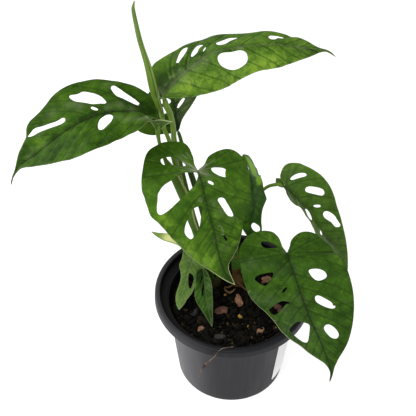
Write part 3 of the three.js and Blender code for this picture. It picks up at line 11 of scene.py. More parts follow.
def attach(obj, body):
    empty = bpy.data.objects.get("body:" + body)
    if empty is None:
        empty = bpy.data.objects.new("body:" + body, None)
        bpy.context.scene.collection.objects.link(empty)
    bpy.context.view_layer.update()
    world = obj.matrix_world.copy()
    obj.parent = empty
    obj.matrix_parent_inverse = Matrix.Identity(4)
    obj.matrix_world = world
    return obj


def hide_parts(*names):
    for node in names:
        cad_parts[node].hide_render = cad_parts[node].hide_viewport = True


# Leaf blades: rows of point, upper direction, fold angles (deg) and curls (deg per mm) of the two halves;
# outline and holes in (distance along the midrib, distance across it).
LEAVES = {
    "leaf_1": {"s0": -24, "step": 6, "len": 134.28,
        "rows": [[-33.939,31.134,245.31,-0.009,0.086,0.996,16.912,85.56,0.2,0.2],
            [-39.909,30.537,245.31,-0.008,0.086,0.996,16.912,85.56,0.2,0.2],
            [-45.874,29.943,245.31,-0.002,0.086,0.996,16.912,85.56,0.2,0.2],
            [-51.696,29.432,245.53,0.102,0.094,0.99,16.912,85.56,0.2,0.2],
            [-56.7,29.417,246.97,0.501,0.058,0.863,16.912,85.56,0.2,0.2],
            [-60.606,30.145,250.38,0.713,-0.043,0.7,15.867,58.23,0.2,0.2],
            [-64.742,30.816,254.16,0.585,0.043,0.81,14.822,30.899,0.2,0.2],
            [-69.806,30.743,256.87,0.361,0.091,0.928,13.777,19.927,0.2,0.2],
            [-75.393,30.083,258.65,0.215,0.081,0.973,12.732,14.065,0.2,0.2],
            [-81.235,29.07,259.53,0.099,0.056,0.994,11.687,8.202,0.2,0.2],
            [-87.124,28.03,259.99,0.038,0.036,0.999,10.642,5.078,0.2,0.2],
            [-93.008,26.902,259.99,-0.055,0.009,0.998,10.002,5.978,0.2,0.2],
            [-98.784,25.473,259.33,-0.164,-0.034,0.986,10.37,6.877,0.2,0.2],
            [-104.36,23.709,258.04,-0.236,-0.071,0.969,10.739,7.776,0.2,0.2],
            [-109.88,21.943,256.48,-0.263,-0.087,0.961,11.108,8.676,0.2,0.2],
            [-115.28,20.106,254.63,-0.319,-0.127,0.939,11.476,9.575,0.2,0.2],
            [-120.46,18.081,252.4,-0.36,-0.163,0.919,11.845,10.474,0.2,0.2],
            [-125.48,15.943,249.9,-0.39,-0.198,0.899,12.214,11.374,0.2,0.2],
            [-130.28,13.648,247.14,-0.417,-0.238,0.877,12.582,12.273,0.2,0.2],
            [-134.94,11.258,244.22,-0.421,-0.249,0.872,12.951,13.173,0.2,0.2],
            [-139.63,8.913,241.3,-0.414,-0.247,0.876,13.32,14.072,0.2,0.2],
            [-144.39,6.618,238.45,-0.402,-0.244,0.882,13.688,14.971,0.2,0.2],
            [-149.24,4.393,235.72,-0.377,-0.227,0.898,14.057,15.871,0.2,0.2],
            [-154.27,2.311,233.21,-0.362,-0.228,0.904,14.426,16.77,0.2,0.2],
            [-158.81,-0.22,230.35,-0.416,-0.37,0.831,14.794,17.669,0.2,0.2],
            [-161.83,-3.696,226.66,-0.354,-0.57,0.741,15.163,18.569,0.2,0.2],
            [-163.35,-7.756,222.56,-0.267,-0.639,0.721,15.532,19.468,0.2,0.2],
            [-164.47,-11.954,218.42,-0.261,-0.641,0.722,15.672,19.81,0.2,0.2],
            [-165.59,-16.153,214.28,-0.261,-0.641,0.722,15.672,19.81,0.2,0.2]],
        "outline": [[0,0],[8.64,11.84],[10.18,17.03],[11.71,20.02],[13.52,20.69],[16.6,23.19],[20.29,26.36],[24.15,28.46],[30.25,31.63],[37.13,34.45],[42.66,37.43],[45.18,38.3],[50.14,39.07],[57.21,40.21],[62.11,40.1],[67.08,38.65],[71.43,36.96],[74.74,35.12],[79.18,31.76],[83.52,29.33],[88.31,28.26],[93.81,27.4],[97.38,25.39],[100.05,22.64],[103.12,17.55],[106.2,15.68],[110.84,12.73],[113.67,9.86],[116.52,6.46],[119.2,3.12],[122.18,1.22],[126.53,0.38],[131,0.3],[134.28,0],[130.13,-0.39],[125.96,-1.64],[121.8,-3.1],[117.22,-5.12],[110.51,-11.05],[103.69,-17.17],[96.85,-23.08],[89.95,-27.68],[82.71,-32.83],[73.53,-36.63],[64.13,-38.17],[55.99,-38.4],[47.23,-38.08],[36.87,-34.79],[29.81,-32.74],[24.45,-33.44],[21.22,-30.61],[18.54,-26.9],[14.66,-21.4],[12.6,-16.4],[9.2,-9.6],[6.2,-5.8],[3.08,-5.27],[-5.63,-5.29],[-9.23,-4.35],[-12.32,-3.89]],
        "holes": [[[63.84,28.17],[63.04,28.98],[57.93,27.24],[54.48,27.77],[51.81,26.52],[48.24,22.73],[44.82,18.15],[43.34,15.43],[41.95,11.21],[41.82,9.56],[42.89,9.09],[46.02,10.22],[50.37,11.61],[55.32,15.63],[60.99,20.48],[62.97,23.5],[63.9,26.47]],
            [[37.34,26.01],[36.41,27.61],[34.67,27.57],[32.38,24.73],[27.23,18.76],[23.73,14.5],[20.28,10.97],[16.51,6.01],[20.33,6.8],[22.77,7.31],[26.59,10.11],[30.57,13.4],[33.98,15.85],[36.08,20.01],[37.37,24.26]],
            [[52.75,9.33],[51.53,9.74],[49.82,7.97],[48.28,5.43],[48.3,4.38],[49.58,4.47],[51.66,6.38],[52.67,8.21]],
            [[102.15,16.98],[100.29,17.37],[95.61,18.81],[92.81,18.56],[88.23,16.29],[82.48,13.81],[77.69,12.04],[73.75,11.93],[72.23,10.7],[72.25,8.58],[73.52,7.45],[77.1,7.74],[82.82,9.71],[87.93,11.87],[93.62,13.74],[98.08,14.39],[101.44,16.16]],
            [[52.59,-15.27],[51.84,-11.7],[49.65,-6.84],[46.43,-4.38],[43.21,-3.2],[40.32,-4.11],[39.12,-6.87],[39.85,-10.12],[42.3,-14.16],[46.43,-18.6],[49.57,-20.37],[51.97,-19.65],[52.82,-17.51]]]},
    "leaf_2": {"s0": -18, "step": 6, "len": 147.18,
        "rows": [[-69.319,26.924,266.16,0.041,-0.424,0.905,60.462,20.343,0.3,0.3],
            [-63.665,28.814,266.79,0.038,-0.425,0.904,60.462,20.343,0.3,0.3],
            [-58.165,30.778,267.57,-0.001,-0.447,0.894,60.462,20.343,0.3,0.3],
            [-53.563,33.184,269.23,-0.099,-0.57,0.816,60.462,20.343,0.3,0.3],
            [-50.345,36.332,272.36,-0.105,-0.681,0.724,41.679,13.642,0.3,0.3],
            [-47.275,39.69,276,-0.139,-0.654,0.743,22.897,6.941,0.3,0.3],
            [-43.418,42.757,279.24,-0.163,-0.585,0.794,11.551,0.239,0.3,0.3],
            [-38.99,45.559,282.09,-0.161,-0.537,0.828,6.364,-6.462,0.3,0.3],
            [-34.173,48.17,284.52,-0.144,-0.496,0.856,1.176,-13.163,0.3,0.3],
            [-29.251,50.759,286.78,-0.134,-0.476,0.869,-4.011,-19.864,0.3,0.3],
            [-24.254,53.34,288.86,-0.12,-0.449,0.885,-9.199,-26.565,0.3,0.3],
            [-19.107,55.81,290.69,-0.095,-0.407,0.908,-10.807,-27.914,0.3,0.3],
            [-13.628,57.853,291.92,-0.037,-0.346,0.937,-10.411,-26.268,0.3,0.3],
            [-7.88,59.431,292.53,0.009,-0.312,0.95,-10.015,-24.621,0.3,0.3],
            [-2.053,60.819,292.82,0.042,-0.289,0.956,-9.619,-22.975,0.3,0.3],
            [3.809,62.095,292.85,0.064,-0.272,0.96,-9.223,-21.328,0.3,0.3],
            [9.668,63.382,292.78,0.072,-0.258,0.963,-8.827,-19.682,0.3,0.3],
            [15.506,64.761,292.69,0.081,-0.244,0.966,-8.431,-18.035,0.3,0.3],
            [21.353,66.071,292.42,0.115,-0.224,0.968,-8.035,-16.389,0.3,0.3],
            [27.215,67.17,291.83,0.167,-0.205,0.964,-7.639,-14.742,0.3,0.3],
            [33.064,67.919,290.77,0.226,-0.191,0.955,-7.243,-13.095,0.3,0.3],
            [38.886,68.507,289.44,0.236,-0.178,0.955,-6.847,-11.449,0.3,0.3],
            [44.703,69.213,288.16,0.23,-0.163,0.959,-6.45,-9.802,0.3,0.3],
            [50.514,70.019,286.9,0.229,-0.149,0.962,-6.054,-8.156,0.3,0.3],
            [56.315,70.914,285.66,0.23,-0.136,0.964,-5.658,-6.509,0.3,0.3],
            [62.094,71.77,284.31,0.271,-0.124,0.955,-5.262,-4.863,0.3,0.3],
            [67.745,72.196,282.43,0.388,-0.135,0.912,-4.866,-3.216,0.3,0.3],
            [72.936,71.767,279.57,0.523,-0.198,0.829,-4.47,-1.569,0.3,0.3],
            [77.759,70.842,276.13,0.544,-0.21,0.812,-4.26,-0.697,0.3,0.3],
            [82.567,69.898,272.66,0.544,-0.21,0.812,-4.26,-0.697,0.3,0.3]],
        "outline": [[0,0],[-4.6,0.7],[-8.2,3],[-5.6,4.6],[-3.7,6.6],[-1.2,13.4],[1.29,15.52],[5.31,18.29],[11.47,20.35],[21.83,23.14],[30.87,25.58],[39.03,27.03],[53.8,27.95],[65.41,25.68],[73.9,23.19],[81.31,21.44],[89.77,21.23],[100.05,20.02],[108.1,16.25],[115.61,12.44],[123.61,8.52],[132.5,3.36],[137.88,0.85],[142.43,0.56],[147.18,0],[142.2,-1.64],[138.03,-1.87],[134.04,-1.67],[129.78,-3.76],[126.69,-7.16],[122.05,-11.05],[117.82,-13.77],[112.83,-13.31],[109.34,-16.25],[104.75,-18.07],[99.28,-19.7],[94.79,-20.1],[87.82,-20.05],[80.66,-21.39],[73.17,-24.17],[64.25,-28.37],[57.46,-30.12],[52.62,-27.93],[49.6,-27.48],[43.63,-30.28],[34.82,-23.98],[26.13,-20.72],[19.21,-19.88],[15.97,-19.87],[12.97,-18.82],[11.39,-17.35],[9.55,-14.25],[6.09,-9.05]],
        "holes": [[[52,5.18],[53.02,3.86],[55.13,2.69],[58.35,2.47],[62.76,3.27],[66.63,3.13],[69.72,2.84],[72.57,3.57],[74.67,6.12],[74.82,9.04],[74.04,12.2],[71.82,14.7],[67.51,16.81],[64.03,17.4],[60.66,17.13],[56.79,15.3],[52.83,12.45],[51.66,9.63],[51.51,7.09]],
            [[38.45,-22.28],[39.65,-22.71],[37.57,-18.15],[33.06,-13.31],[28.05,-9.82],[24.22,-7.2],[23.5,-7.34],[24.83,-9.56],[28.59,-13.82],[32.84,-18.61],[36.37,-21.5]],
            [[48.87,-17.27],[47.85,-18.43],[46.07,-19.55],[43.13,-17.57],[39.32,-13.33],[36.59,-8.99],[36.64,-7.41],[39.09,-8.33],[41.87,-10.22],[45.47,-14.64],[48.16,-16.04]],
            [[49.38,-12.1],[48.17,-11.6],[46.17,-9.18],[45.49,-7.48],[46.93,-8.12],[49.01,-10.9]],
            [[56.48,-13.21],[57.39,-14],[61.29,-15.11],[66.1,-16.94],[69.7,-16.29],[73.22,-14.9],[69.68,-13],[66.32,-11.5],[62.67,-8.5],[58.86,-8.11],[56.46,-10.21]],
            [[94.79,-9.63],[96.48,-12],[100,-12.3],[103.51,-11.42],[106.41,-10.11],[103.82,-8.92],[101.6,-9.18],[98.97,-6.77],[96.04,-6.55],[94.94,-8.06]]]},
    "leaf_3": {"s0": -12, "step": 6, "len": 85.52,
        "rows": [[-42.126,36.602,221.17,-0.036,-0.503,0.863,12,12,0.3,0.3],
            [-42.851,41.791,224.1,-0.04,-0.476,0.879,12,12,0.3,0.3],
            [-43.568,47.071,226.85,-0.04,-0.495,0.868,12,12,0.3,0.3],
            [-44.28,52.362,229.55,-0.044,-0.391,0.92,11.018,11.018,0.3,0.3],
            [-45.092,57.99,231.41,-0.054,-0.259,0.964,10.036,10.036,0.3,0.3],
            [-45.87,63.808,232.62,-0.062,-0.168,0.984,9.053,9.053,0.3,0.3],
            [-46.532,69.72,233.38,-0.066,-0.104,0.992,8.071,8.071,0.3,0.3],
            [-47.127,75.672,233.81,-0.066,-0.058,0.996,7.089,7.089,0.3,0.3],
            [-47.663,81.644,234.02,-0.066,-0.024,0.998,6.107,6.107,0.3,0.3],
            [-48.144,87.624,234.05,-0.064,0.001,0.998,5.124,5.124,0.3,0.3],
            [-48.582,93.607,233.96,-0.061,0.02,0.998,4.387,4.387,0.3,0.3],
            [-48.987,99.59,233.76,-0.059,0.035,0.998,3.686,3.686,0.3,0.3],
            [-49.328,105.57,233.5,-0.056,0.045,0.997,2.984,2.984,0.3,0.3],
            [-49.523,111.56,233.19,-0.056,0.055,0.997,2.283,2.283,0.3,0.3],
            [-49.457,117.55,232.84,-0.058,0.067,0.996,1.581,1.581,0.3,0.3],
            [-48.999,123.51,232.41,-0.061,0.083,0.995,0.879,0.879,0.3,0.3],
            [-48.28,129.45,231.94,-0.063,0.089,0.994,0.178,0.178,0.3,0.3],
            [-47.539,135.38,231.46,-0.063,0.089,0.994,0,0,0.3,0.3]],
        "outline": [[0,0],[-0.47,0.19],[0.97,1.31],[5.66,3.04],[9.6,5.13],[13.65,8.03],[19.1,11.8],[25.29,15.52],[31.88,18.42],[40.97,20.61],[51.77,21.64],[64.07,20.07],[77.73,14.58],[85.81,6.74],[85.52,0],[80.47,-5.14],[68.34,-9.58],[55.76,-14.36],[44.91,-18.6],[36.19,-23.63],[29.27,-27.83],[22.59,-30.5],[14.6,-32.24],[6.79,-32.2],[2.03,-30.31],[0.07,-27.8],[-1.62,-24.12],[-2.57,-20.38],[-2.68,-17.31],[-2.38,-12.66],[-2.2,-8.01],[-2.3,-4.92],[-1.61,-1.74]],
        "holes": [[[30.95,8.77],[31.51,6.8],[28.36,4.57],[24.72,2.68],[21.05,1.57],[20.75,2.51],[22.97,4.55],[26.45,6.84]],
            [[33.17,-12.62],[35.27,-7.76],[32.03,-3.19],[28.67,-2.85],[26.71,-4.72],[27.06,-9.81],[28.97,-12.05]],
            [[23.05,-10.87],[22.81,-7.75],[21.31,-5.2],[18.51,-5.91],[16.03,-7.95],[16.72,-10.3],[19.96,-11.26]],
            [[6.51,-9.19],[7.55,-8.53],[7.54,-6.97],[6.76,-6.28],[5.73,-6.94],[5.76,-8.72]]]},
    "leaf_4": {"s0": -42, "step": 6, "len": 111.99,
        "rows": [[-41.449,46.191,233.05,0.167,-0.247,0.955,3.044,-8.279,0.3,0.3],
            [-39.48,40.803,231.29,0.17,-0.256,0.952,3.044,-8.279,0.3,0.3],
            [-37.52,35.431,229.48,0.174,-0.265,0.948,3.044,-8.279,0.3,0.3],
            [-35.572,30.076,227.6,0.177,-0.275,0.945,3.044,-8.279,0.3,0.3],
            [-33.635,24.738,225.66,0.18,-0.284,0.942,3.044,-8.279,0.3,0.3],
            [-31.709,19.417,223.67,0.184,-0.293,0.938,3.044,-8.279,0.3,0.3],
            [-29.794,14.115,221.61,0.187,-0.303,0.935,3.044,-8.279,0.3,0.3],
            [-27.892,8.831,219.5,0.187,-0.29,0.939,3.044,-8.279,0.3,0.3],
            [-25.995,3.558,217.37,0.196,-0.342,0.919,1.427,-8.028,0.3,0.3],
            [-24.307,-1.568,214.78,0.246,-0.421,0.873,-0.19,-7.778,0.3,0.3],
            [-23.131,-6.546,211.67,0.273,-0.511,0.815,-1.808,-7.528,0.3,0.3],
            [-21.976,-11.128,208,0.284,-0.602,0.747,-3.425,-7.277,0.3,0.3],
            [-20.539,-15.117,203.78,0.301,-0.682,0.666,-5.042,-7.027,0.3,0.3],
            [-18.939,-18.485,199.09,0.327,-0.748,0.578,-6.659,-6.777,0.3,0.3],
            [-17.371,-21.28,194.03,0.352,-0.798,0.49,-8.276,-6.526,0.3,0.3],
            [-15.942,-23.57,188.69,0.367,-0.837,0.405,-8.524,-6.321,0.3,0.3],
            [-14.827,-25.465,183.11,0.377,-0.866,0.327,-7.576,-6.156,0.3,0.3],
            [-13.818,-26.948,177.39,0.39,-0.882,0.264,-6.628,-5.991,0.3,0.3],
            [-12.782,-28.036,171.58,0.405,-0.889,0.213,-5.68,-5.826,0.3,0.3],
            [-11.648,-28.762,165.74,0.421,-0.891,0.171,-4.732,-5.661,0.3,0.3],
            [-10.369,-29.155,159.89,0.437,-0.889,0.138,-3.784,-5.496,0.3,0.3],
            [-8.922,-29.235,154.07,0.457,-0.883,0.11,-2.836,-5.331,0.3,0.3],
            [-7.239,-28.984,148.32,0.476,-0.875,0.087,-1.888,-5.166,0.3,0.3],
            [-5.366,-28.434,142.66,0.495,-0.866,0.064,-0.94,-5.001,0.3,0.3],
            [-3.214,-27.467,137.15,0.543,-0.839,0.036,0.009,-4.836,0.3,0.3],
            [-0.659,-25.811,132,0.591,-0.807,0.009,0.957,-4.671,0.3,0.3],
            [2.008,-23.873,126.99,0.588,-0.809,-0.001,1.588,-4.561,0.3,0.3],
            [4.674,-21.93,121.98,0.588,-0.809,-0.001,1.588,-4.561,0.3,0.3]],
        "outline": [[0,0],[-0.97,0.48],[-4.15,1.02],[-6.79,0.94],[-11.07,0],[-13.75,0],[-18.31,0],[-22.12,0.62],[-25.48,2.74],[-27.11,6.24],[-28.57,12.97],[-29.37,18.26],[-27.96,24.22],[-26.89,27.69],[-25.57,30.43],[-22.44,33.72],[-17.52,36.76],[-10.55,40.01],[-4.39,42.62],[1.87,44.55],[6.84,45.11],[17.01,44.33],[22.51,43.23],[25.53,42.65],[27.71,41.18],[30.47,38.38],[35.64,35.35],[42.42,32.66],[49.83,29.54],[57.27,25.7],[63.93,21.8],[72.21,16.01],[78.99,11.39],[85.85,7.65],[94,4.36],[101.63,1.99],[111.99,0],[102.59,-2.46],[95.88,-3.2],[90.64,-3.62],[86.43,-4.73],[82.98,-6.52],[81.36,-8.9],[79.72,-11.26],[76.86,-13.67],[74.23,-16.38],[67.41,-20.03],[60.34,-23.08],[54.44,-25.52],[49.36,-28.13],[45.93,-31.26],[42.37,-35.03],[36.95,-38.02],[26.7,-40.28],[14.37,-42.07],[9.51,-42.71],[3.55,-43.67],[-2.2,-44.22],[-6.88,-44.21],[-10.63,-42.8],[-14.38,-40.41],[-16.72,-37.47],[-17.65,-33.06],[-17.22,-29.12],[-15.52,-22.95],[-13.48,-17.7],[-11.5,-13.45],[-9.44,-10.96],[-5.69,-7.89],[-3.3,-5.34],[-1.16,-1.23]],
        "holes": [[[2.12,0.46],[0.49,6.55],[-0.27,11.05],[0.76,15.28],[3.23,21.5],[5.49,27.59],[9.05,32.21],[14.97,34.41],[19.63,35.56],[23.39,36.92],[25.41,36.99],[26.64,35.52],[26.5,33.23],[24.82,27.46],[20.79,19.04],[16.21,12.19],[12.81,7.76],[9,4.53],[5.27,1.93]],
            [[-14.94,24.78],[-15.89,23.31],[-16.14,20.11],[-15.06,15.74],[-12.2,11.93],[-8.89,9.04],[-5.61,6.94],[-5.68,8.51],[-7.76,15.72],[-10.08,23.19],[-11.78,24.6]],
            [[27.12,5.34],[27.89,10.94],[31.08,14.56],[34.67,17.51],[38.49,20.1],[42.93,21.45],[46.57,20.58],[49.75,18.9],[50.01,17.42],[48.24,15.56],[45.07,12.57],[41.71,9.8],[36.87,7.7],[32.14,5.59],[29.69,3.72],[27.8,3.97]],
            [[-0.17,-11.01],[-0.9,-12.15],[-0.83,-16.48],[0.07,-21.44],[2.77,-24.03],[6.78,-24.34],[8.24,-22.86],[7.98,-19.38],[6.42,-15.56],[3.72,-12.2],[1.2,-10.95]],
            [[9.96,-4.3],[9.5,-5.88],[10.68,-8.04],[12.21,-9.28],[12.93,-8.69],[12.4,-6.29],[11.14,-4.55]],
            [[25.72,-9.34],[24.17,-10.98],[24.5,-13.51],[26.06,-15.38],[30.9,-16.45],[36.02,-17.73],[40.71,-18.74],[43.85,-18.74],[43.5,-16.96],[41.44,-14.32],[37.6,-12.69],[32.23,-11.13],[27.71,-9.73]],
            [[54.69,-6.31],[54.27,-7.55],[57.03,-8.56],[60.43,-9.41],[61.46,-8.95],[61,-8.12],[57.72,-6.91]]]},
    "leaf_5": {"s0": -30, "step": 6, "len": 66.876,
        "rows": [[-0.12,62.822,202.64,0.377,0.134,0.916,-6.525,-22.369,0.3,0.3],
            [3.407,58.104,201.53,0.468,0.01,0.884,-6.525,-22.369,0.3,0.3],
            [6.508,53.356,199.59,0.547,-0.114,0.829,-6.525,-22.369,0.3,0.3],
            [9.107,48.697,196.86,0.613,-0.236,0.754,-6.525,-22.369,0.3,0.3],
            [11.139,44.239,193.41,0.663,-0.351,0.661,-6.525,-22.369,0.3,0.3],
            [12.555,40.094,189.32,0.676,-0.378,0.633,-6.525,-22.369,0.3,0.3],
            [13.741,36.12,185.09,0.684,-0.519,0.512,-6.14,-19.223,0.3,0.3],
            [14.736,33.648,179.79,0.708,-0.635,0.308,-5.755,-16.077,0.3,0.3],
            [15.369,32.25,174.01,0.697,-0.693,0.186,-5.371,-12.931,0.3,0.3],
            [15.76,31.362,168.09,0.658,-0.742,0.128,-4.986,-9.785,0.3,0.3],
            [15.902,30.594,162.14,0.596,-0.795,0.109,-4.702,-7.478,0.3,0.3],
            [15.679,29.632,156.24,0.513,-0.849,0.126,-4.504,-5.881,0.3,0.3],
            [14.893,28.132,150.5,0.441,-0.868,0.229,-4.306,-4.285,0.3,0.3],
            [14.008,25.532,145.24,0.433,-0.767,0.473,-4.108,-2.689,0.3,0.3],
            [13.64,21.339,141.18,0.439,-0.477,0.761,-3.91,-1.092,0.3,0.3],
            [13.957,15.855,139.13,0.485,-0.115,0.867,-3.712,0.504,0.3,0.3],
            [14.337,9.923,138.92,0.633,0.067,0.771,-3.514,2.101,0.3,0.3],
            [14.648,3.941,139.23,0.642,0.073,0.763,-3.485,2.334,0.3,0.3]],
        "outline": [[0,0],[-2.57,0.89],[-7.77,2.16],[-11.48,5.7],[-12.41,12.45],[-10.04,18.5],[-5.44,22.75],[0.63,24.01],[4.47,22.51],[9.2,20.07],[17.88,17.51],[33.1,13.65],[45.59,9.14],[52.99,5.65],[56.29,3.38],[61.82,1.81],[66.88,0],[61.51,-5.05],[55.96,-9.83],[50.59,-12.05],[45.66,-10.92],[39.92,-10.57],[36,-11.59],[33.27,-14.26],[31.04,-17.09],[27.09,-15.99],[21.98,-16.06],[17.29,-18.16],[11.46,-19.23],[-1.17,-25.53],[-5.89,-19.54],[-12.4,-17.22],[-15.59,-15.59],[-17.35,-12.76],[-16.3,-1],[-14.4,2.2],[-12.2,3.6],[-8.2,1.5],[-3.3,-0.6]],
        "holes": [[[48.3,-1.13],[46.38,-1.9],[45.99,-3.51],[47.43,-6.71],[48.89,-9.4],[51.43,-10.04],[53.08,-8.06],[52.56,-4.66],[50.71,-2.18]]]},
    "leaf_6": {"s0": -24, "step": 6, "len": 108.27,
        "rows": [[24.349,51.751,186.35,-0.272,-0.485,0.831,-75,0,0.25,0.25],
            [28.432,47.542,185.08,-0.23,-0.528,0.817,-75,0,0.25,0.25],
            [32.604,43.529,183.51,-0.186,-0.57,0.8,-75,0,0.25,0.25],
            [36.849,39.729,181.63,-0.141,-0.609,0.78,-75,0,0.25,0.25],
            [41.15,36.156,179.46,-0.125,-0.627,0.769,-75,0,0.25,0.25],
            [45.464,32.663,177.19,-0.091,-0.653,0.751,-75,0,0.25,0.25],
            [49.679,29.346,174.51,-0.04,-0.698,0.715,-75,0,0.25,0.25],
            [53.896,26.355,171.48,0.015,-0.742,0.67,-75,0,0.25,0.25],
            [57.901,23.609,167.97,0.072,-0.781,0.621,-75,0,0.25,0.25],
            [61.583,21.098,163.97,0.123,-0.818,0.562,-75,0,0.25,0.25],
            [64.934,18.863,159.53,0.166,-0.851,0.498,-75,0,0.25,0.25],
            [68.114,16.997,154.8,0.204,-0.877,0.435,-75,0,0.25,0.25],
            [71.341,15.588,149.95,0.242,-0.894,0.378,-75,0,0.25,0.25],
            [74.68,14.646,145.06,0.28,-0.903,0.327,-75,0,0.25,0.25],
            [78.186,14.179,140.22,0.319,-0.904,0.284,-70.937,0,0.25,0.25],
            [81.772,14.105,135.41,0.342,-0.908,0.24,-66.78,0,0.25,0.25],
            [85.143,14.204,130.46,0.351,-0.916,0.196,-62.624,0,0.25,0.25],
            [88.21,14.402,125.31,0.351,-0.924,0.153,-58.468,0,0.25,0.25],
            [90.91,14.656,119.96,0.346,-0.932,0.111,-54.311,0,0.25,0.25],
            [93.227,14.967,114.44,0.336,-0.939,0.07,-50.155,0,0.25,0.25],
            [95.101,15.329,108.75,0.322,-0.946,0.028,-45.998,0,0.25,0.25],
            [96.548,15.765,102.95,0.308,-0.951,-0.012,-41.842,0,0.25,0.25],
            [97.73,16.296,97.094,0.307,-0.951,-0.03,-37.686,0,0.25,0.25],
            [98.889,16.858,91.234,0.307,-0.951,-0.03,-37.5,0,0.25,0.25]],
        "outline": [[0,0],[-1.5,0.65],[-1.37,4.16],[0.02,6.23],[1.91,7.54],[4.36,13.89],[8.38,18.45],[13.05,21.33],[19.21,20.14],[23.48,13.11],[27.16,12.43],[35.3,14.28],[41.25,12.54],[52.01,16.74],[58.59,17.9],[67.46,17.48],[77.04,14.76],[86.21,10.5],[93.96,6.05],[100.49,2.44],[108.27,0],[103.2,-1.14],[95.71,-2.34],[87.82,-4.21],[78.72,-7.25],[69.69,-11.15],[59.66,-15.53],[47.49,-18.91],[38.41,-20.77],[30.29,-23.61],[24,-25.47],[18.43,-26.19],[13.31,-26.15],[6.89,-24.78],[1.58,-23],[-3.59,-21.38],[-7.47,-18.48],[-9.67,-16.14],[-11.19,-13.07],[-11.25,-9.64],[-9.88,-5.86],[-8.22,-2.93],[-6.25,-1.42],[-3.1,-0.99]],
        "holes": [[[25.62,3.8],[28.43,1.77],[36.73,4.92],[38.87,8.67],[34.57,9.83],[28.4,7.05]],
            [[50.4,4.69],[50.04,2.92],[55.48,5.58],[57.24,7.97],[54.78,7.89]],
            [[-0.34,-6.25],[-0.87,-7.98],[-0.13,-11.93],[1.94,-15.52],[4.69,-18.13],[6.52,-18.3],[6.36,-16.19],[3.98,-11.99],[1.59,-7.68]],
            [[13.58,-8.74],[13.29,-11.29],[15.23,-13.85],[19.28,-17.35],[22.63,-19.29],[25.11,-18.42],[25.53,-15.89],[23.18,-13.35],[19.45,-10.53],[15.8,-8.17]],
            [[26.76,-4.92],[27.72,-7.22],[29.78,-9.67],[31.16,-9.63],[30.38,-7.19],[28.4,-5.15]],
            [[36.66,-7.89],[36.1,-10.2],[38.36,-12.78],[43.66,-14.81],[49.24,-14.83],[56.64,-14.49],[56.79,-12.2],[53.71,-10.2],[47.41,-9.66],[41.57,-7.46],[38.68,-7.16]]]},
    "leaf_7": {"s0": -36, "step": 6, "len": 116.38,
        "rows": [[31.481,4.316,170.43,-0.065,0.211,0.975,3.623,-6.272,0.3,0.3],
            [32.658,-1.443,171.63,-0.052,0.151,0.987,3.623,-6.272,0.3,0.3],
            [33.855,-7.263,172.45,-0.04,0.09,0.995,3.623,-6.272,0.3,0.3],
            [35.068,-13.121,172.91,-0.027,0.028,0.999,3.623,-6.272,0.3,0.3],
            [36.292,-18.994,172.98,-0.014,-0.033,0.999,3.623,-6.272,0.3,0.3],
            [37.522,-24.858,172.68,-0.001,-0.095,0.996,3.623,-6.272,0.3,0.3],
            [38.754,-30.69,172,0.011,-0.097,0.995,3.623,-6.272,0.3,0.3],
            [39.982,-36.492,171.2,-0.04,-0.221,0.975,0.861,-5.68,0.3,0.3],
            [41.594,-41.946,169.42,-0.068,-0.435,0.898,-1.901,-5.088,0.3,0.3],
            [43.523,-46.774,166.5,-0.041,-0.619,0.785,-4.663,-4.497,0.3,0.3],
            [45.307,-50.933,162.6,-0.018,-0.752,0.659,-7.425,-3.905,0.3,0.3],
            [47.068,-54.341,158.01,-0.011,-0.85,0.527,-10.187,-3.313,0.3,0.3],
            [49.044,-57.004,153.03,-0.011,-0.91,0.415,-12.95,-2.721,0.3,0.3],
            [51.131,-59.133,147.82,-0.026,-0.941,0.336,-15.712,-2.129,0.3,0.3],
            [53.2,-60.945,142.49,-0.055,-0.958,0.282,-17.422,-1.652,0.3,0.3],
            [55.268,-62.551,137.1,-0.085,-0.968,0.237,-15.825,-1.537,0.3,0.3],
            [57.469,-63.969,131.7,-0.111,-0.975,0.194,-14.227,-1.421,0.3,0.3],
            [59.834,-65.255,126.34,-0.145,-0.975,0.167,-12.63,-1.305,0.3,0.3],
            [62.227,-66.567,120.99,-0.194,-0.967,0.163,-11.033,-1.19,0.3,0.3],
            [64.588,-68.014,115.67,-0.244,-0.955,0.167,-9.435,-1.074,0.3,0.3],
            [66.922,-69.658,110.4,-0.3,-0.935,0.187,-7.838,-0.958,0.3,0.3],
            [69.158,-71.618,105.19,-0.362,-0.905,0.226,-6.241,-0.843,0.3,0.3],
            [71.266,-73.988,100.1,-0.427,-0.862,0.273,-4.643,-0.727,0.3,0.3],
            [73.241,-76.855,95.228,-0.501,-0.797,0.338,-3.046,-0.611,0.3,0.3],
            [74.708,-80.398,90.693,-0.554,-0.655,0.514,-1.449,-0.495,0.3,0.3],
            [74.122,-84.611,86.707,-0.368,-0.518,0.772,0.149,-0.38,0.3,0.3],
            [72.236,-89.01,83.11,-0.334,-0.504,0.796,0.782,-0.334,0.3,0.3],
            [70.324,-93.418,79.517,-0.334,-0.504,0.796,0.782,-0.334,0.3,0.3]],
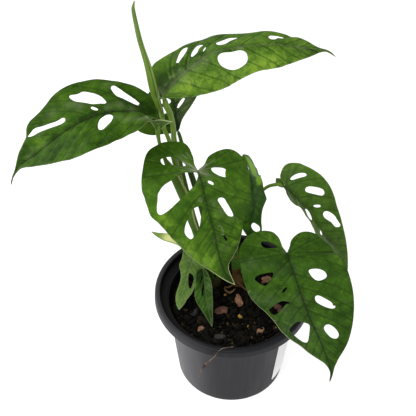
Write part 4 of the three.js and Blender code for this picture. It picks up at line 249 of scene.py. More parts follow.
        "outline": [[0,0],[-2.49,0.88],[-5.57,2],[-10.08,1.95],[-14.3,1.97],[-18.35,2.84],[-22.2,4.56],[-24.27,6.78],[-26.32,12.58],[-25.9,19.02],[-24.19,23.4],[-21.57,26.4],[-18.03,29.61],[-14.55,32.39],[-10.99,34.4],[-6.33,35.65],[0.47,36.61],[4.87,36.77],[9.72,37.45],[15.1,37.59],[27.4,38.16],[36.03,37.25],[46.42,37.45],[53.11,34.63],[60.93,31.8],[68.59,30.87],[74.12,28.82],[78.71,26.32],[85,19.89],[92.48,13.82],[98.24,6.96],[102.21,2.96],[106.48,1.24],[109.76,0.69],[112.99,0.5],[116.38,0],[113.46,-0.68],[109.54,-1.57],[105.79,-3.01],[101.96,-5.82],[97.2,-9.71],[91.02,-15.54],[85.09,-20.52],[79.17,-24.39],[70.4,-29.28],[61.46,-33.18],[51.33,-36.05],[42.08,-38.07],[32.9,-39.07],[24.16,-39.35],[19.13,-38.19],[12.38,-36.85],[-2.97,-37.92],[-8.29,-35.24],[-12.69,-32.32],[-17.9,-29.67],[-20.44,-25.4],[-20.97,-21.39],[-20.13,-17.01],[-17.88,-13.08],[-14.18,-8.77],[-10.17,-5.62],[-5.33,-3.46]],
        "holes": [[[-13.2,16.76],[-14.52,15.64],[-14.15,11.83],[-11.35,8.66],[-6.16,5.36],[-6.56,9.92],[-7.67,15.07],[-10.08,16.78]],
            [[11.42,29.09],[10.25,25.76],[10.51,21.13],[11.17,16.68],[12.06,14.28],[14.47,16.01],[16.95,19.64],[20.08,23.32],[16.59,25.92],[13.49,28.01]],
            [[29.37,13.15],[27.58,11.78],[25.82,8.9],[26.49,7.94],[28.14,9.61],[29.88,12.14]],
            [[47.39,31.66],[44.19,28.21],[39.09,21.7],[36.62,16.6],[37.24,12.79],[40.06,10.19],[40.47,14],[46.72,20.7],[51.58,25.93],[52.75,29.05],[51.31,31.62]],
            [[67.46,21.66],[63.56,17.74],[59.51,11.75],[58.9,8.99],[60.25,6.14],[63.05,2.63],[71.33,5.98],[79.62,10.4],[81.5,12.94],[80.24,15.99],[75.65,19.4],[71.43,22.06]],
            [[19.15,-10.74],[18.36,-13.03],[19.68,-18.14],[22.5,-21.9],[27,-22.84],[28.73,-19.13],[27.99,-14.98],[24.49,-12.08]],
            [[40.13,-9.18],[39.54,-10.95],[40.75,-12.91],[44.57,-16.34],[48.08,-19.1],[49.62,-19.79],[51.73,-19.54],[51.87,-21.06],[53.65,-20.92],[54.22,-18.8],[52.04,-15.54],[47.84,-11.36],[43.84,-8.74]],
            [[67.71,-7.35],[65.98,-9.55],[66.94,-12.38],[71.01,-14.9],[75.94,-16],[78.92,-15.01],[80.44,-12.52],[78.43,-9.22],[74.11,-7.5],[70.48,-6.77]]]},
    "leaf_8": {"s0": -12, "step": 6, "len": 51.094,
        "rows": [[-25.806,23.045,131.39,-0.458,-0.601,0.655,1.809,7.576,0.3,0.3],
            [-28.187,20.018,126.79,-0.479,-0.627,0.615,1.809,7.576,0.3,0.3],
            [-30.419,17.185,122,-0.495,-0.645,0.582,1.809,7.576,0.3,0.3],
            [-32.601,14.421,117.14,-0.463,-0.656,0.596,-1.185,4.26,0.3,0.3],
            [-34.679,11.421,112.38,-0.422,-0.66,0.622,-4.18,0.944,0.3,0.3],
            [-36.626,8.139,107.76,-0.382,-0.655,0.652,-7.174,-2.372,0.3,0.3],
            [-38.369,4.53,103.3,-0.344,-0.642,0.685,-7.659,-3.469,0.3,0.3],
            [-39.92,0.594,99.05,-0.312,-0.616,0.723,-6.428,-3.047,0.3,0.3],
            [-41.496,-3.591,95.055,-0.28,-0.58,0.765,-5.197,-2.626,0.3,0.3],
            [-42.972,-8.07,91.359,-0.259,-0.536,0.803,-3.966,-2.204,0.3,0.3],
            [-44.08,-12.909,88.005,-0.25,-0.487,0.837,-2.735,-1.783,0.3,0.3],
            [-45.05,-17.938,84.881,-0.243,-0.475,0.845,-2.1,-1.566,0.3,0.3],
            [-46.018,-22.975,81.769,-0.243,-0.475,0.845,-2.1,-1.566,0.3,0.3]],
        "outline": [[0,0],[-0.15,4.27],[0.11,8.44],[2.44,11.22],[5.28,11.54],[8.76,10.66],[12.41,10.21],[15.48,10.97],[17.43,10.25],[19.87,7.84],[23.72,5.74],[28.54,5.06],[33.75,5.33],[38.82,5.57],[41.9,5.12],[45.7,3.74],[49.18,1.69],[51.09,0],[48.27,-2.11],[44.49,-4.04],[40.12,-5.29],[35.93,-7.31],[29.47,-8.65],[23.41,-9.05],[16.28,-9.74],[10.73,-11.05],[6.26,-11.8],[2.69,-10.13],[0.35,-6.48],[-0.59,-2.03]],
        "holes": [[[22.41,-1.14],[19.63,-0.91],[18.68,-1.53],[19.79,-4.67],[22.52,-6.19],[27.08,-6.24],[31.09,-5.97],[31.44,-4.72],[28.04,-2.9]]]},
    "leaf_9": {"s0": -12, "step": 6, "len": 48.847,
        "rows": [[-26.138,15.395,120.93,-0.06,-0.467,0.882,8.733,8.396,0.3,0.3],
            [-25.368,10.162,118.1,-0.053,-0.512,0.857,8.733,8.396,0.3,0.3],
            [-24.581,5.087,115,-0.049,-0.538,0.841,8.733,8.396,0.3,0.3],
            [-23.789,0.067,111.81,-0.052,-0.547,0.836,8.355,8.933,0.3,0.3],
            [-23.144,-4.922,108.54,-0.05,-0.556,0.829,7.977,9.469,0.3,0.3],
            [-22.643,-9.876,105.2,-0.053,-0.569,0.82,7.599,10.006,0.3,0.3],
            [-21.968,-14.76,101.78,-0.061,-0.587,0.808,7.098,9.41,0.3,0.3],
            [-20.929,-19.532,98.304,-0.07,-0.606,0.792,6.554,8.423,0.3,0.3],
            [-19.677,-24.218,94.773,-0.075,-0.617,0.783,6.011,7.436,0.3,0.3],
            [-18.435,-28.873,91.197,-0.08,-0.623,0.778,5.467,6.449,0.3,0.3],
            [-17.198,-33.504,87.588,-0.085,-0.628,0.773,4.923,5.462,0.3,0.3],
            [-15.962,-38.126,83.968,-0.086,-0.628,0.773,4.846,5.323,0.3,0.3]],
        "outline": [[0,0],[-0.7,2.42],[-0.17,4.99],[1.8,6.08],[6.35,7.07],[13.21,7.89],[18.77,9.01],[24.87,8.96],[28.88,7.63],[32.83,5.97],[38.68,3.87],[44.51,1.75],[48.85,0],[44.77,-1.47],[36.85,-3.1],[29.7,-4.82],[20.32,-5.82],[14.43,-5.92],[9.49,-5.12],[5.19,-3.54],[1.77,-2.05],[0.14,-0.83]],
        "holes": [[[6.13,1.64],[7.05,0.92],[10.27,2.52],[12.68,3.97],[10.98,3.99],[8.13,2.71]],
            [[12.07,1.02],[14.58,0.81],[18.63,1.57],[22.55,2.83],[22.07,3.6],[16.91,2.66]]]},
}

VEINS = {
    "leaf_1": [[[2,0],[2.7,1.9],[3.6,4.2],[4.4,6]],
        [[13.4,0],[16.2,5.3],[19,10.1],[22.2,15.1],[25.5,19.5],[29.2,24.2],[33.2,28.7],[37,32.7],[41.4,36.8]],
        [[24.8,0],[27.7,4.7],[30.8,9.2],[34.2,13.6],[37.7,17.8],[41.7,22.3],[45.6,26.2],[49.6,29.9],[53.8,33.5],[58.1,36.9],[62.5,40.2]],
        [[42.3,0],[45.9,4.7],[49.8,9.3],[54.3,14],[58.6,18.2],[63.1,22.2],[68.1,26.3],[72.9,29.9],[77.9,33.3]],
        [[53.7,0],[58,4.9],[62.2,9.2],[66.9,13.6],[71.4,17.5],[76.5,21.6],[81.4,25.1],[86.8,28.7]],
        [[65.1,0],[69.3,4.3],[73.7,8.3],[78.3,12.2],[82.6,15.6],[87.4,19.2],[92.4,22.5],[97.5,25.7]],
        [[80.5,0],[85.8,4.6],[91.7,9.2],[97.8,13.5],[103.7,17.3]],
        [[91.9,0],[97.9,4.6],[104.4,9.1],[110.8,13.2]],
        [[103.3,0],[107.4,2.9],[111.2,5.4],[115.4,8]],
        [[114.7,0],[116.4,1.1],[118.1,2.1],[119.8,3.2]],
        [[0.6,0],[0.6,-2],[0.6,-3.5],[0.6,-5.5]],
        [[0.6,0],[-0.4,-1.7],[-1.7,-3.9],[-2.7,-5.6]],
        [[2,0],[2.7,-1.9],[3.4,-3.7],[4.2,-5.6]],
        [[13.4,0],[16.2,-5.3],[19,-10.1],[22,-14.7],[25.6,-19.5],[29.4,-24.1],[33.1,-28.2],[36.9,-32.1],[41.3,-36.2]],
        [[24.8,0],[28,-5.1],[31.5,-10],[34.8,-14.3],[38.7,-18.9],[42.9,-23.2],[47.2,-27.4],[51.3,-31],[56,-34.8],[60.8,-38.4]],
        [[44.3,0],[47.7,-4.3],[51.3,-8.5],[55.4,-12.8],[59.4,-16.6],[63.5,-20.2],[67.8,-23.7],[72.6,-27.3],[77.1,-30.5],[81.7,-33.5]],
        [[55.7,0],[59.3,-4.1],[63.2,-8],[67.2,-11.8],[71.4,-15.4],[76.1,-19.1],[80.5,-22.4],[85,-25.5],[89.7,-28.4]],
        [[67.1,0],[71.7,-4.6],[76.2,-8.6],[81.2,-12.7],[86.4,-16.6],[91.4,-20],[96.9,-23.4]],
        [[78.5,0],[83,-4],[87.7,-7.7],[92.9,-11.6],[97.8,-15],[102.9,-18.2]],
        [[89.9,0],[95.8,-4.6],[102.4,-9.2],[108.7,-13.3]],
        [[101.3,0],[105.4,-2.9],[109.5,-5.7],[113.8,-8.3]],
        [[112.7,0],[114.8,-1.4],[117.4,-3],[119.5,-4.3]]],
    "leaf_2": [[[0.6,0],[0.6,5],[0.5,10],[0.3,15]],
        [[0.6,0],[-0.9,2.6],[-2.2,4.7],[-3.7,7.3]],
        [[2.2,0],[4.5,5.6],[7.2,10.9],[10.6,16.5],[14.1,21.3]],
        [[14.7,0],[17.8,5.7],[21.6,11.6],[25.6,16.7],[30.3,21.9],[35,26.4]],
        [[27.2,0],[30.7,5.5],[34.7,10.7],[38.6,15.2],[43.2,19.7],[48.1,24],[53.3,27.9]],
        [[39.7,0],[43.3,4.8],[47.5,9.8],[51.7,14],[56.2,18],[61.3,22.1],[66.2,25.5]],
        [[61.2,0],[66,5.1],[70.8,9.6],[76.2,14],[81.5,17.8],[87.4,21.5]],
        [[73.8,0],[78.4,4.5],[83.8,9],[89,12.9],[94.9,16.7],[100.5,20]],
        [[86.3,0],[91.6,4.6],[97.2,8.8],[103,12.6],[109.1,16.1]],
        [[98.8,0],[104.3,4.3],[110.5,8.5],[116.6,12]],
        [[111.3,0],[115.4,2.9],[120,5.9],[124.3,8.4]],
        [[123.8,0],[126.3,1.6],[128.5,2.9],[131,4.4]],
        [[2.2,0],[3.5,-3.3],[4.9,-6.5],[6.4,-9.6]],
        [[14.7,0],[18,-6.2],[21.8,-12],[25.8,-17.2],[30.4,-22.5]],
        [[27.2,0],[30.7,-5.5],[34.3,-10.3],[38.5,-15.3],[43,-19.9],[47.5,-24],[52.5,-28]],
        [[40.7,0],[44.6,-5.2],[48.9,-10.1],[53.1,-14.4],[57.9,-18.8],[62.9,-22.9],[68.2,-26.6]],
        [[58.2,0],[62.6,-4.8],[67.2,-9.4],[72.1,-13.7],[77.3,-17.6],[82.6,-21.3]],
        [[70.8,0],[75.4,-4.6],[80.2,-8.9],[85.4,-12.9],[90.7,-16.6],[96.2,-20.1]],
        [[91.8,0],[96.4,-3.8],[101.6,-7.7],[107,-11.3],[112.1,-14.4]],
        [[104.3,0],[109.9,-4.2],[115.8,-8],[121.8,-11.5]],
        [[116.8,0],[120.1,-2.2],[123.9,-4.7],[127.3,-6.7]]],
    "leaf_3": [[[1.3,0],[1.8,1.4],[2.2,2.3],[2.8,3.7]],
        [[8.6,0],[9.9,2.7],[11.4,5.3],[13,7.8]],
        [[15.8,0],[19.1,5],[22.8,9.7],[27.3,14.4],[31.8,18.4]],
        [[26.1,0],[30.2,5.1],[34.7,9.7],[40,14.3],[45.2,18.1],[50.7,21.6]],
        [[33.4,0],[38.1,5.2],[42.9,9.5],[48.4,13.8],[53.9,17.3],[60,20.8]],
        [[40.6,0],[45.3,4.6],[50.3,8.7],[56,12.7],[61.6,16.1],[67.3,19.1]],
        [[47.9,0],[52.4,4],[57.2,7.6],[62.2,10.9],[67.4,13.9],[72.7,16.6]],
        [[55.2,0],[60.7,4.3],[66.5,8.2],[72.2,11.4],[78.4,14.5]],
        [[62.4,0],[68.6,4.3],[74.6,7.9],[81.3,11.2]],
        [[69.7,0],[74.3,3],[79.6,5.9],[84.5,8.4]],
        [[1.3,0],[3.5,-5.6],[6.4,-11.4],[9.4,-16.6],[12.7,-21.6],[16.7,-26.7],[20.7,-31.2]],
        [[8.6,0],[11.3,-5.3],[14.2,-10],[17.6,-14.9],[21.4,-19.6],[25,-23.7],[29.3,-28]],
        [[18.3,0],[21.6,-5],[25.3,-9.8],[29.5,-14.7],[33.7,-19],[38.1,-23]],
        [[29.6,0],[33.4,-4.6],[37.8,-9.4],[42.5,-13.9],[47.1,-17.8]],
        [[36.9,0],[42,-5.5],[47.9,-10.9],[53.7,-15.6]],
        [[44.1,0],[49.2,-4.8],[54.2,-9],[59.8,-13.2]],
        [[51.4,0],[56,-3.9],[60.7,-7.6],[65.6,-11]],
        [[58.7,0],[62.6,-3.1],[66.7,-6],[70.9,-8.7]],
        [[65.9,0],[69.2,-2.3],[73,-4.8],[76.4,-6.9]],
        [[73.2,0],[75.7,-1.6],[78.7,-3.4],[81.3,-4.9]]],
    "leaf_4": [[[0.6,0],[0.1,6],[-0.6,12.4],[-1.3,18.4],[-2,24.4],[-2.8,30.3],[-3.7,36.7],[-4.5,42.7]],
        [[0.6,0],[-2,5.4],[-4.3,10.4],[-7,15.8],[-9.7,21.1],[-12.4,26.5],[-14.9,31.4],[-17.8,36.7]],
        [[0.6,0],[-4,3.8],[-9,8],[-14.1,12.1],[-18.7,15.8],[-23.4,19.6],[-28.6,23.6]],
        [[8.7,0],[11.1,5],[13.7,9.8],[16.5,14.5],[19.5,19.1],[23,24],[26.4,28.3],[30,32.5],[33.7,36.5]],
        [[18.2,0],[21.2,5.2],[24.5,10.2],[28.1,15],[31.5,19.4],[35.4,23.9],[39.5,28.3],[43.7,32.5]],
        [[34.7,0],[38.4,4.8],[41.9,9],[45.9,13.4],[50.1,17.7],[54.1,21.5],[58.6,25.5]],
        [[44.2,0],[48.2,4.5],[52.3,8.9],[56.6,13.1],[61,17.1],[65.6,21]],
        [[53.8,0],[58,4.3],[62.3,8.4],[67.2,12.7],[71.9,16.4]],
        [[63.3,0],[68.1,4.4],[72.7,8.2],[77.8,12.2]],
        [[72.8,0],[76.7,3.2],[80.2,5.9],[84.2,8.9]],
        [[82.3,0],[85.1,2.1],[87.6,3.8],[90.4,5.8]],
        [[91.8,0],[93.5,1.1],[95.6,2.5],[97.3,3.6]],
        [[0.6,0],[-0.2,-5.4],[-1,-10.9],[-2,-16.8],[-2.9,-22.2],[-3.9,-27.6],[-5,-33.5],[-6.1,-38.9],[-7.2,-44.3]],
        [[0.6,0],[-1.7,-5],[-4.3,-10.4],[-6.8,-15.3],[-9.5,-20.7],[-12,-25.6],[-14.7,-30.9],[-17.3,-35.8]],
        [[0.6,0],[-0.5,-1],[-1.3,-1.6],[-2.5,-2.6]],
        [[1.7,0],[3.9,-5.6],[6.3,-11.1],[9.1,-16.4],[12.1,-21.6],[15.1,-26.2],[18.5,-31.1],[22.2,-35.8],[26.1,-40.4]],
        [[11.2,0],[13.9,-5.3],[16.7,-10.1],[19.9,-15.2],[23.1,-19.7],[26.7,-24.4],[30.6,-29],[34.3,-33],[38.6,-37.3]],
        [[27.7,0],[31.1,-4.9],[34.8,-9.7],[38.6,-14.3],[43,-19.1],[47.2,-23.4],[51.6,-27.4]],
        [[37.2,0],[41.3,-5.1],[45.6,-10],[50.1,-14.7],[54.8,-19.1],[59.7,-23.4]],
        [[46.8,0],[51.5,-5.2],[56.8,-10.5],[62.3,-15.5],[67.7,-20]],
        [[56.3,0],[60.5,-4.2],[65,-8.3],[69.9,-12.5],[74.7,-16.2]],
        [[65.8,0],[70.3,-4],[74.9,-7.8],[79.7,-11.4]],
        [[75.3,0],[78,-2.2],[80.8,-4.3],[83.6,-6.4]],
        [[84.8,0],[86.5,-1.2],[88.5,-2.6],[90.1,-3.8]],
        [[94.4,0],[96,-1.1],[97.3,-1.9],[99,-3]]],
    "leaf_5": [[[0.6,0],[0.5,8],[0.2,16],[-0.2,24]],
        [[0.6,0],[-2.9,6],[-6.6,12],[-10.4,17.9]],
        [[1,0],[3.9,6.9],[7.7,13.4],[12.1,19.4]],
        [[6.7,0],[10,6.1],[14.3,12.3],[18.9,17.6]],
        [[12.4,0],[16.2,5.9],[20.3,10.9],[25.1,16]],
        [[18.1,0],[22,5.2],[26.3,10],[31,14.5]],
        [[23.7,0],[27.6,4.6],[31.9,8.8],[36.4,12.8]],
        [[29.4,0],[33.2,4],[36.9,7.4],[41.1,10.9]],
        [[35.1,0],[38.7,3.4],[42.2,6.3],[46.2,9.3]],
        [[40.8,0],[43.8,2.6],[47,5.1],[50.2,7.4]],
        [[46.5,0],[48.9,1.8],[51.3,3.6],[53.8,5.3]],
        [[52.2,0],[53.8,1.1],[55.5,2.3],[57.1,3.3]],
        [[0.6,0],[0.8,-6],[0.8,-12.5],[0.8,-19],[0.6,-25]],
        [[0.6,0],[-2.4,-6.3],[-5.5,-12.6],[-8.8,-18.8]],
        [[0.6,0],[-0.5,-1],[-1.7,-1.9],[-2.9,-2.9]],
        [[1,0],[3.9,-6.9],[7.6,-13.4],[11.9,-19.6]],
        [[6.7,0],[10,-6.1],[14.3,-12.3],[18.7,-17.7]],
        [[12.4,0],[16.2,-5.9],[20.2,-11],[25,-16.1]],
        [[18.1,0],[22.3,-5.6],[27.3,-11.1],[32.4,-15.9]],
        [[23.7,0],[27.3,-4.2],[31.5,-8.5],[35.5,-12.2]],
        [[29.4,0],[33.2,-4],[36.9,-7.4],[41.1,-10.9]],
        [[35.1,0],[39.9,-4.4],[44.5,-8.2],[49.8,-12]],
        [[44.8,0],[48.7,-3.1],[53.2,-6.3],[57.4,-8.9]],
        [[50.5,0],[53.7,-2.3],[56.7,-4.2],[60.1,-6.3]],
        [[56.2,0],[58.3,-1.4],[60.8,-2.9],[63,-4.2]]],
    "leaf_6": [[[1.6,0],[3.9,5.5],[7.1,11.2],[10.9,16.5],[14.8,21]],
        [[10.8,0],[14,5.7],[17.7,11],[21.9,15.9]],
        [[20,0],[23,4.6],[26.7,9.3],[30.5,13.4]],
        [[33.2,0],[38,5.8],[42.9,10.7],[48.8,15.5]],
        [[42.4,0],[47.2,5.2],[52.4,9.8],[58,14],[63.9,17.8]],
        [[51.6,0],[56.7,4.9],[61.7,9],[67,12.7],[73.1,16.2]],
        [[60.8,0],[66.9,5.2],[73,9.5],[79.9,13.6]],
        [[70,0],[75.2,4],[80.6,7.6],[86.2,10.9]],
        [[79.2,0],[83.3,2.9],[87.1,5.3],[91.4,7.8]],
        [[88.4,0],[91,1.7],[93.9,3.5],[96.5,5]],
        [[0.6,0],[-0.8,-7.4],[-2.2,-14.2],[-3.8,-21.5]],
        [[0.6,0],[-2.7,-5.6],[-6.1,-11.2],[-9.5,-16.7]],
        [[1.6,0],[4.1,-6],[6.9,-11.3],[10.4,-16.8],[14,-21.6],[18.3,-26.4]],
        [[14.8,0],[17.8,-5.2],[21.3,-10.1],[24.7,-14.4],[28.8,-18.8],[33.2,-22.9]],
        [[25.5,0],[29.6,-5.7],[33.8,-10.7],[38.3,-15.3],[43.6,-19.9]],
        [[40.2,0],[45.5,-6],[51.4,-11.5],[57.6,-16.4]],
        [[49.4,0],[54.3,-5],[59.2,-9.3],[64.8,-13.5]],
        [[58.6,0],[62.7,-3.7],[66.9,-7.2],[71.4,-10.5]],
        [[67.8,0],[71.3,-2.9],[74.5,-5.3],[78.2,-7.9]],
        [[77,0],[79.4,-1.8],[82.3,-3.8],[84.8,-5.5]],
        [[86.2,0],[87.9,-1.1],[90,-2.5],[91.7,-3.6]]],
    "leaf_7": [[[0.6,0],[0.8,6],[0.9,12.5],[0.9,18.5],[0.9,24.5],[0.8,31],[0.7,37]],
        [[0.6,0],[-2,5.4],[-4.6,10.8],[-7.2,16.2],[-10,21.5],[-12.7,26.9],[-15.6,32.2]],
        [[0.6,0],[-4.7,3.8],[-10,7.6],[-15.3,11.3],[-20.6,15],[-26,18.7]],
        [[6.7,0],[9.3,5.4],[11.8,10.3],[14.9,15.4],[18,20],[21.7,24.8],[25.5,29.4],[29.3,33.4],[33.5,37.6]],
        [[16.6,0],[19.6,5.2],[22.9,10.2],[26.7,15.5],[30.5,20.1],[34.5,24.6],[39.1,29.2],[43.6,33.2],[48.2,37]],
        [[32.5,0],[35.8,4.4],[39.2,8.7],[43.2,13.2],[47.1,17.1],[51.1,20.9],[55.6,24.8],[59.9,28.2],[64.3,31.5]],
        [[42.4,0],[46.3,4.6],[50.7,9.4],[55,13.5],[59.9,17.9],[64.5,21.6],[69.7,25.5],[74.7,28.9]],
        [[52.3,0],[56.4,4.4],[61.1,8.9],[66,13.1],[70.7,16.9],[75.6,20.4],[81,24]],
        [[67.2,0],[72.5,4.6],[77.9,9],[83.2,12.8],[89,16.7]],
        [[77.1,0],[82.6,4.3],[88.3,8.4],[94.1,12.3]],
        [[87,0],[90.6,2.6],[94.4,5.2],[98.1,7.6]],
        [[96.9,0],[98.6,1.1],[100.2,2.2],[101.9,3.2]],
        [[0.6,0],[0.8,-6.5],[0.9,-12.5],[1,-19],[0.9,-25.5],[0.8,-31.5],[0.7,-38]],
        [[0.6,0],[-2,-5.4],[-4.4,-10.4],[-7,-15.8],[-9.7,-21.1],[-12.2,-26],[-15.1,-31.3]],
        [[0.6,0],[-4.8,-4.5],[-9.8,-8.6],[-14.9,-12.7],[-20.3,-17]],
        [[1.7,0],[3.9,-5.6],[6.5,-11],[9,-15.9],[12.1,-21],[15.5,-26],[18.8,-30.4],[22.6,-35],[26.7,-39.4]],
        [[18.1,0],[21.2,-5.2],[24.5,-10.2],[28,-15],[31.9,-19.6],[36.2,-24.5],[40.5,-28.7],[44.9,-32.7],[49.5,-36.6]],
        [[28,0],[31.4,-4.9],[35.1,-9.7],[38.6,-13.9],[42.7,-18.3],[47,-22.5],[51.1,-26.2],[55.7,-30],[60.4,-33.7]],
        [[38.4,0],[42.2,-4.7],[46.5,-9.6],[50.6,-13.9],[55.4,-18.3],[59.9,-22.2],[65.1,-26.2],[69.9,-29.7]],
        [[48.3,0],[52.7,-4.8],[57.3,-9.4],[62.1,-13.8],[67.1,-17.9],[72.3,-21.9],[77.6,-25.6]],
        [[65.2,0],[69.6,-4],[74.2,-7.9],[78.6,-11.3],[83.5,-14.8],[88.5,-18.1]],
        [[75.1,0],[80.9,-4.7],[87.4,-9.4],[93.7,-13.6]],
        [[85,0],[89.4,-3.3],[93.5,-6.1],[98.2,-9.1]],
        [[94.9,0],[97.8,-1.9],[100.3,-3.6],[103.3,-5.4]]],
    "leaf_8": [[[0.8,0],[2.6,4.1],[4.7,7.5],[7.5,11]],
        [[5.1,0],[7.3,3.9],[9.7,7.1],[12.8,10.4]],
        [[9.5,0],[12,3.7],[14.6,6.8],[17.9,9.8]],
        [[13.8,0],[15.9,2.8],[18.3,5.4],[20.9,7.7]],
        [[18.1,0],[20.1,2.3],[21.8,4.1],[24.1,6.1]],
        [[22.5,0],[24.2,1.8],[26.4,3.9],[28.3,5.4]],
        [[26.8,0],[29,2],[31,3.6],[33.4,5.4]],
        [[31.2,0],[33.9,2.2],[36.3,4],[39.3,5.8]],
        [[35.5,0],[37.9,1.8],[40.4,3.4],[43,4.9]],
        [[39.9,0],[41.9,1.4],[43.6,2.5],[45.8,3.7]],
        [[0.8,0],[2.6,-4.1],[5.2,-8.3],[8.1,-11.8]],
        [[5.1,0],[7.3,-3.9],[10,-7.5],[13.2,-10.7]],
        [[9.5,0],[12,-3.7],[14.6,-6.8],[17.9,-9.8]],
        [[13.8,0],[16.5,-3.6],[19.3,-6.4],[22.8,-9.3]],
        [[18.1,0],[21.1,-3.4],[24.1,-6.1],[27.7,-8.8]],
        [[25.5,0],[28.4,-2.7],[31.9,-5.5],[35.3,-7.7]],
        [[29.8,0],[32.5,-2.3],[35.3,-4.3],[38.3,-6.2]],
        [[34.2,0],[36.5,-1.8],[39,-3.5],[41.6,-5.1]],
        [[38.5,0],[40.6,-1.4],[42.7,-2.8],[44.8,-4]],
        [[42.9,0],[44.5,-1.1],[45.8,-1.8],[47.6,-2.8]]],
    "leaf_9": [[[0.7,0],[1.7,2.3],[3.1,4.9],[4.6,7]],
        [[4.9,0],[6.3,2.6],[8.4,5.5],[10.4,7.7]],
        [[10,0],[12.7,3.6],[15.5,6.5],[19,9.3]],
        [[14.2,0],[17.1,3.5],[20.4,6.5],[24.1,9]],
        [[19.8,0],[22.6,2.9],[25.7,5.4],[29.1,7.6]],
        [[24,0],[26.5,2.4],[29.3,4.5],[32.3,6.4]],
        [[28.1,0],[30.4,2],[32.9,3.7],[35.4,5.3]],
        [[32.3,0],[34.3,1.5],[36.3,2.9],[38.5,4.2]],
        [[36.4,0],[38.1,1.2],[39.8,2.2],[41.5,3.2]],
        [[40.6,0],[41.9,0.8],[42.7,1.3],[44,2.1]],
        [[0.7,0],[1.3,-1.4],[1.7,-2.3],[2.4,-3.6]],
        [[4.9,0],[5.8,-1.8],[6.6,-3],[7.8,-4.6]],
        [[9,0],[10.4,-2.1],[12,-4],[13.7,-5.8]],
        [[13.2,0],[15,-2.4],[16.7,-4.2],[19,-6.1]],
        [[17.3,0],[19.3,-2.3],[21.1,-4],[23.5,-5.8]],
        [[21.5,0],[23.2,-1.8],[25.5,-3.7],[27.6,-5.2]],
        [[25.6,0],[27.5,-1.7],[29.5,-3.2],[31.5,-4.6]],
        [[29.8,0],[31.3,-1.3],[33.3,-2.8],[35,-3.8]],
        [[33.9,0],[35.5,-1.2],[36.8,-2],[38.5,-3.1]],
        [[38.1,0],[39.3,-0.9],[40.2,-1.4],[41.5,-2.2]]],
}

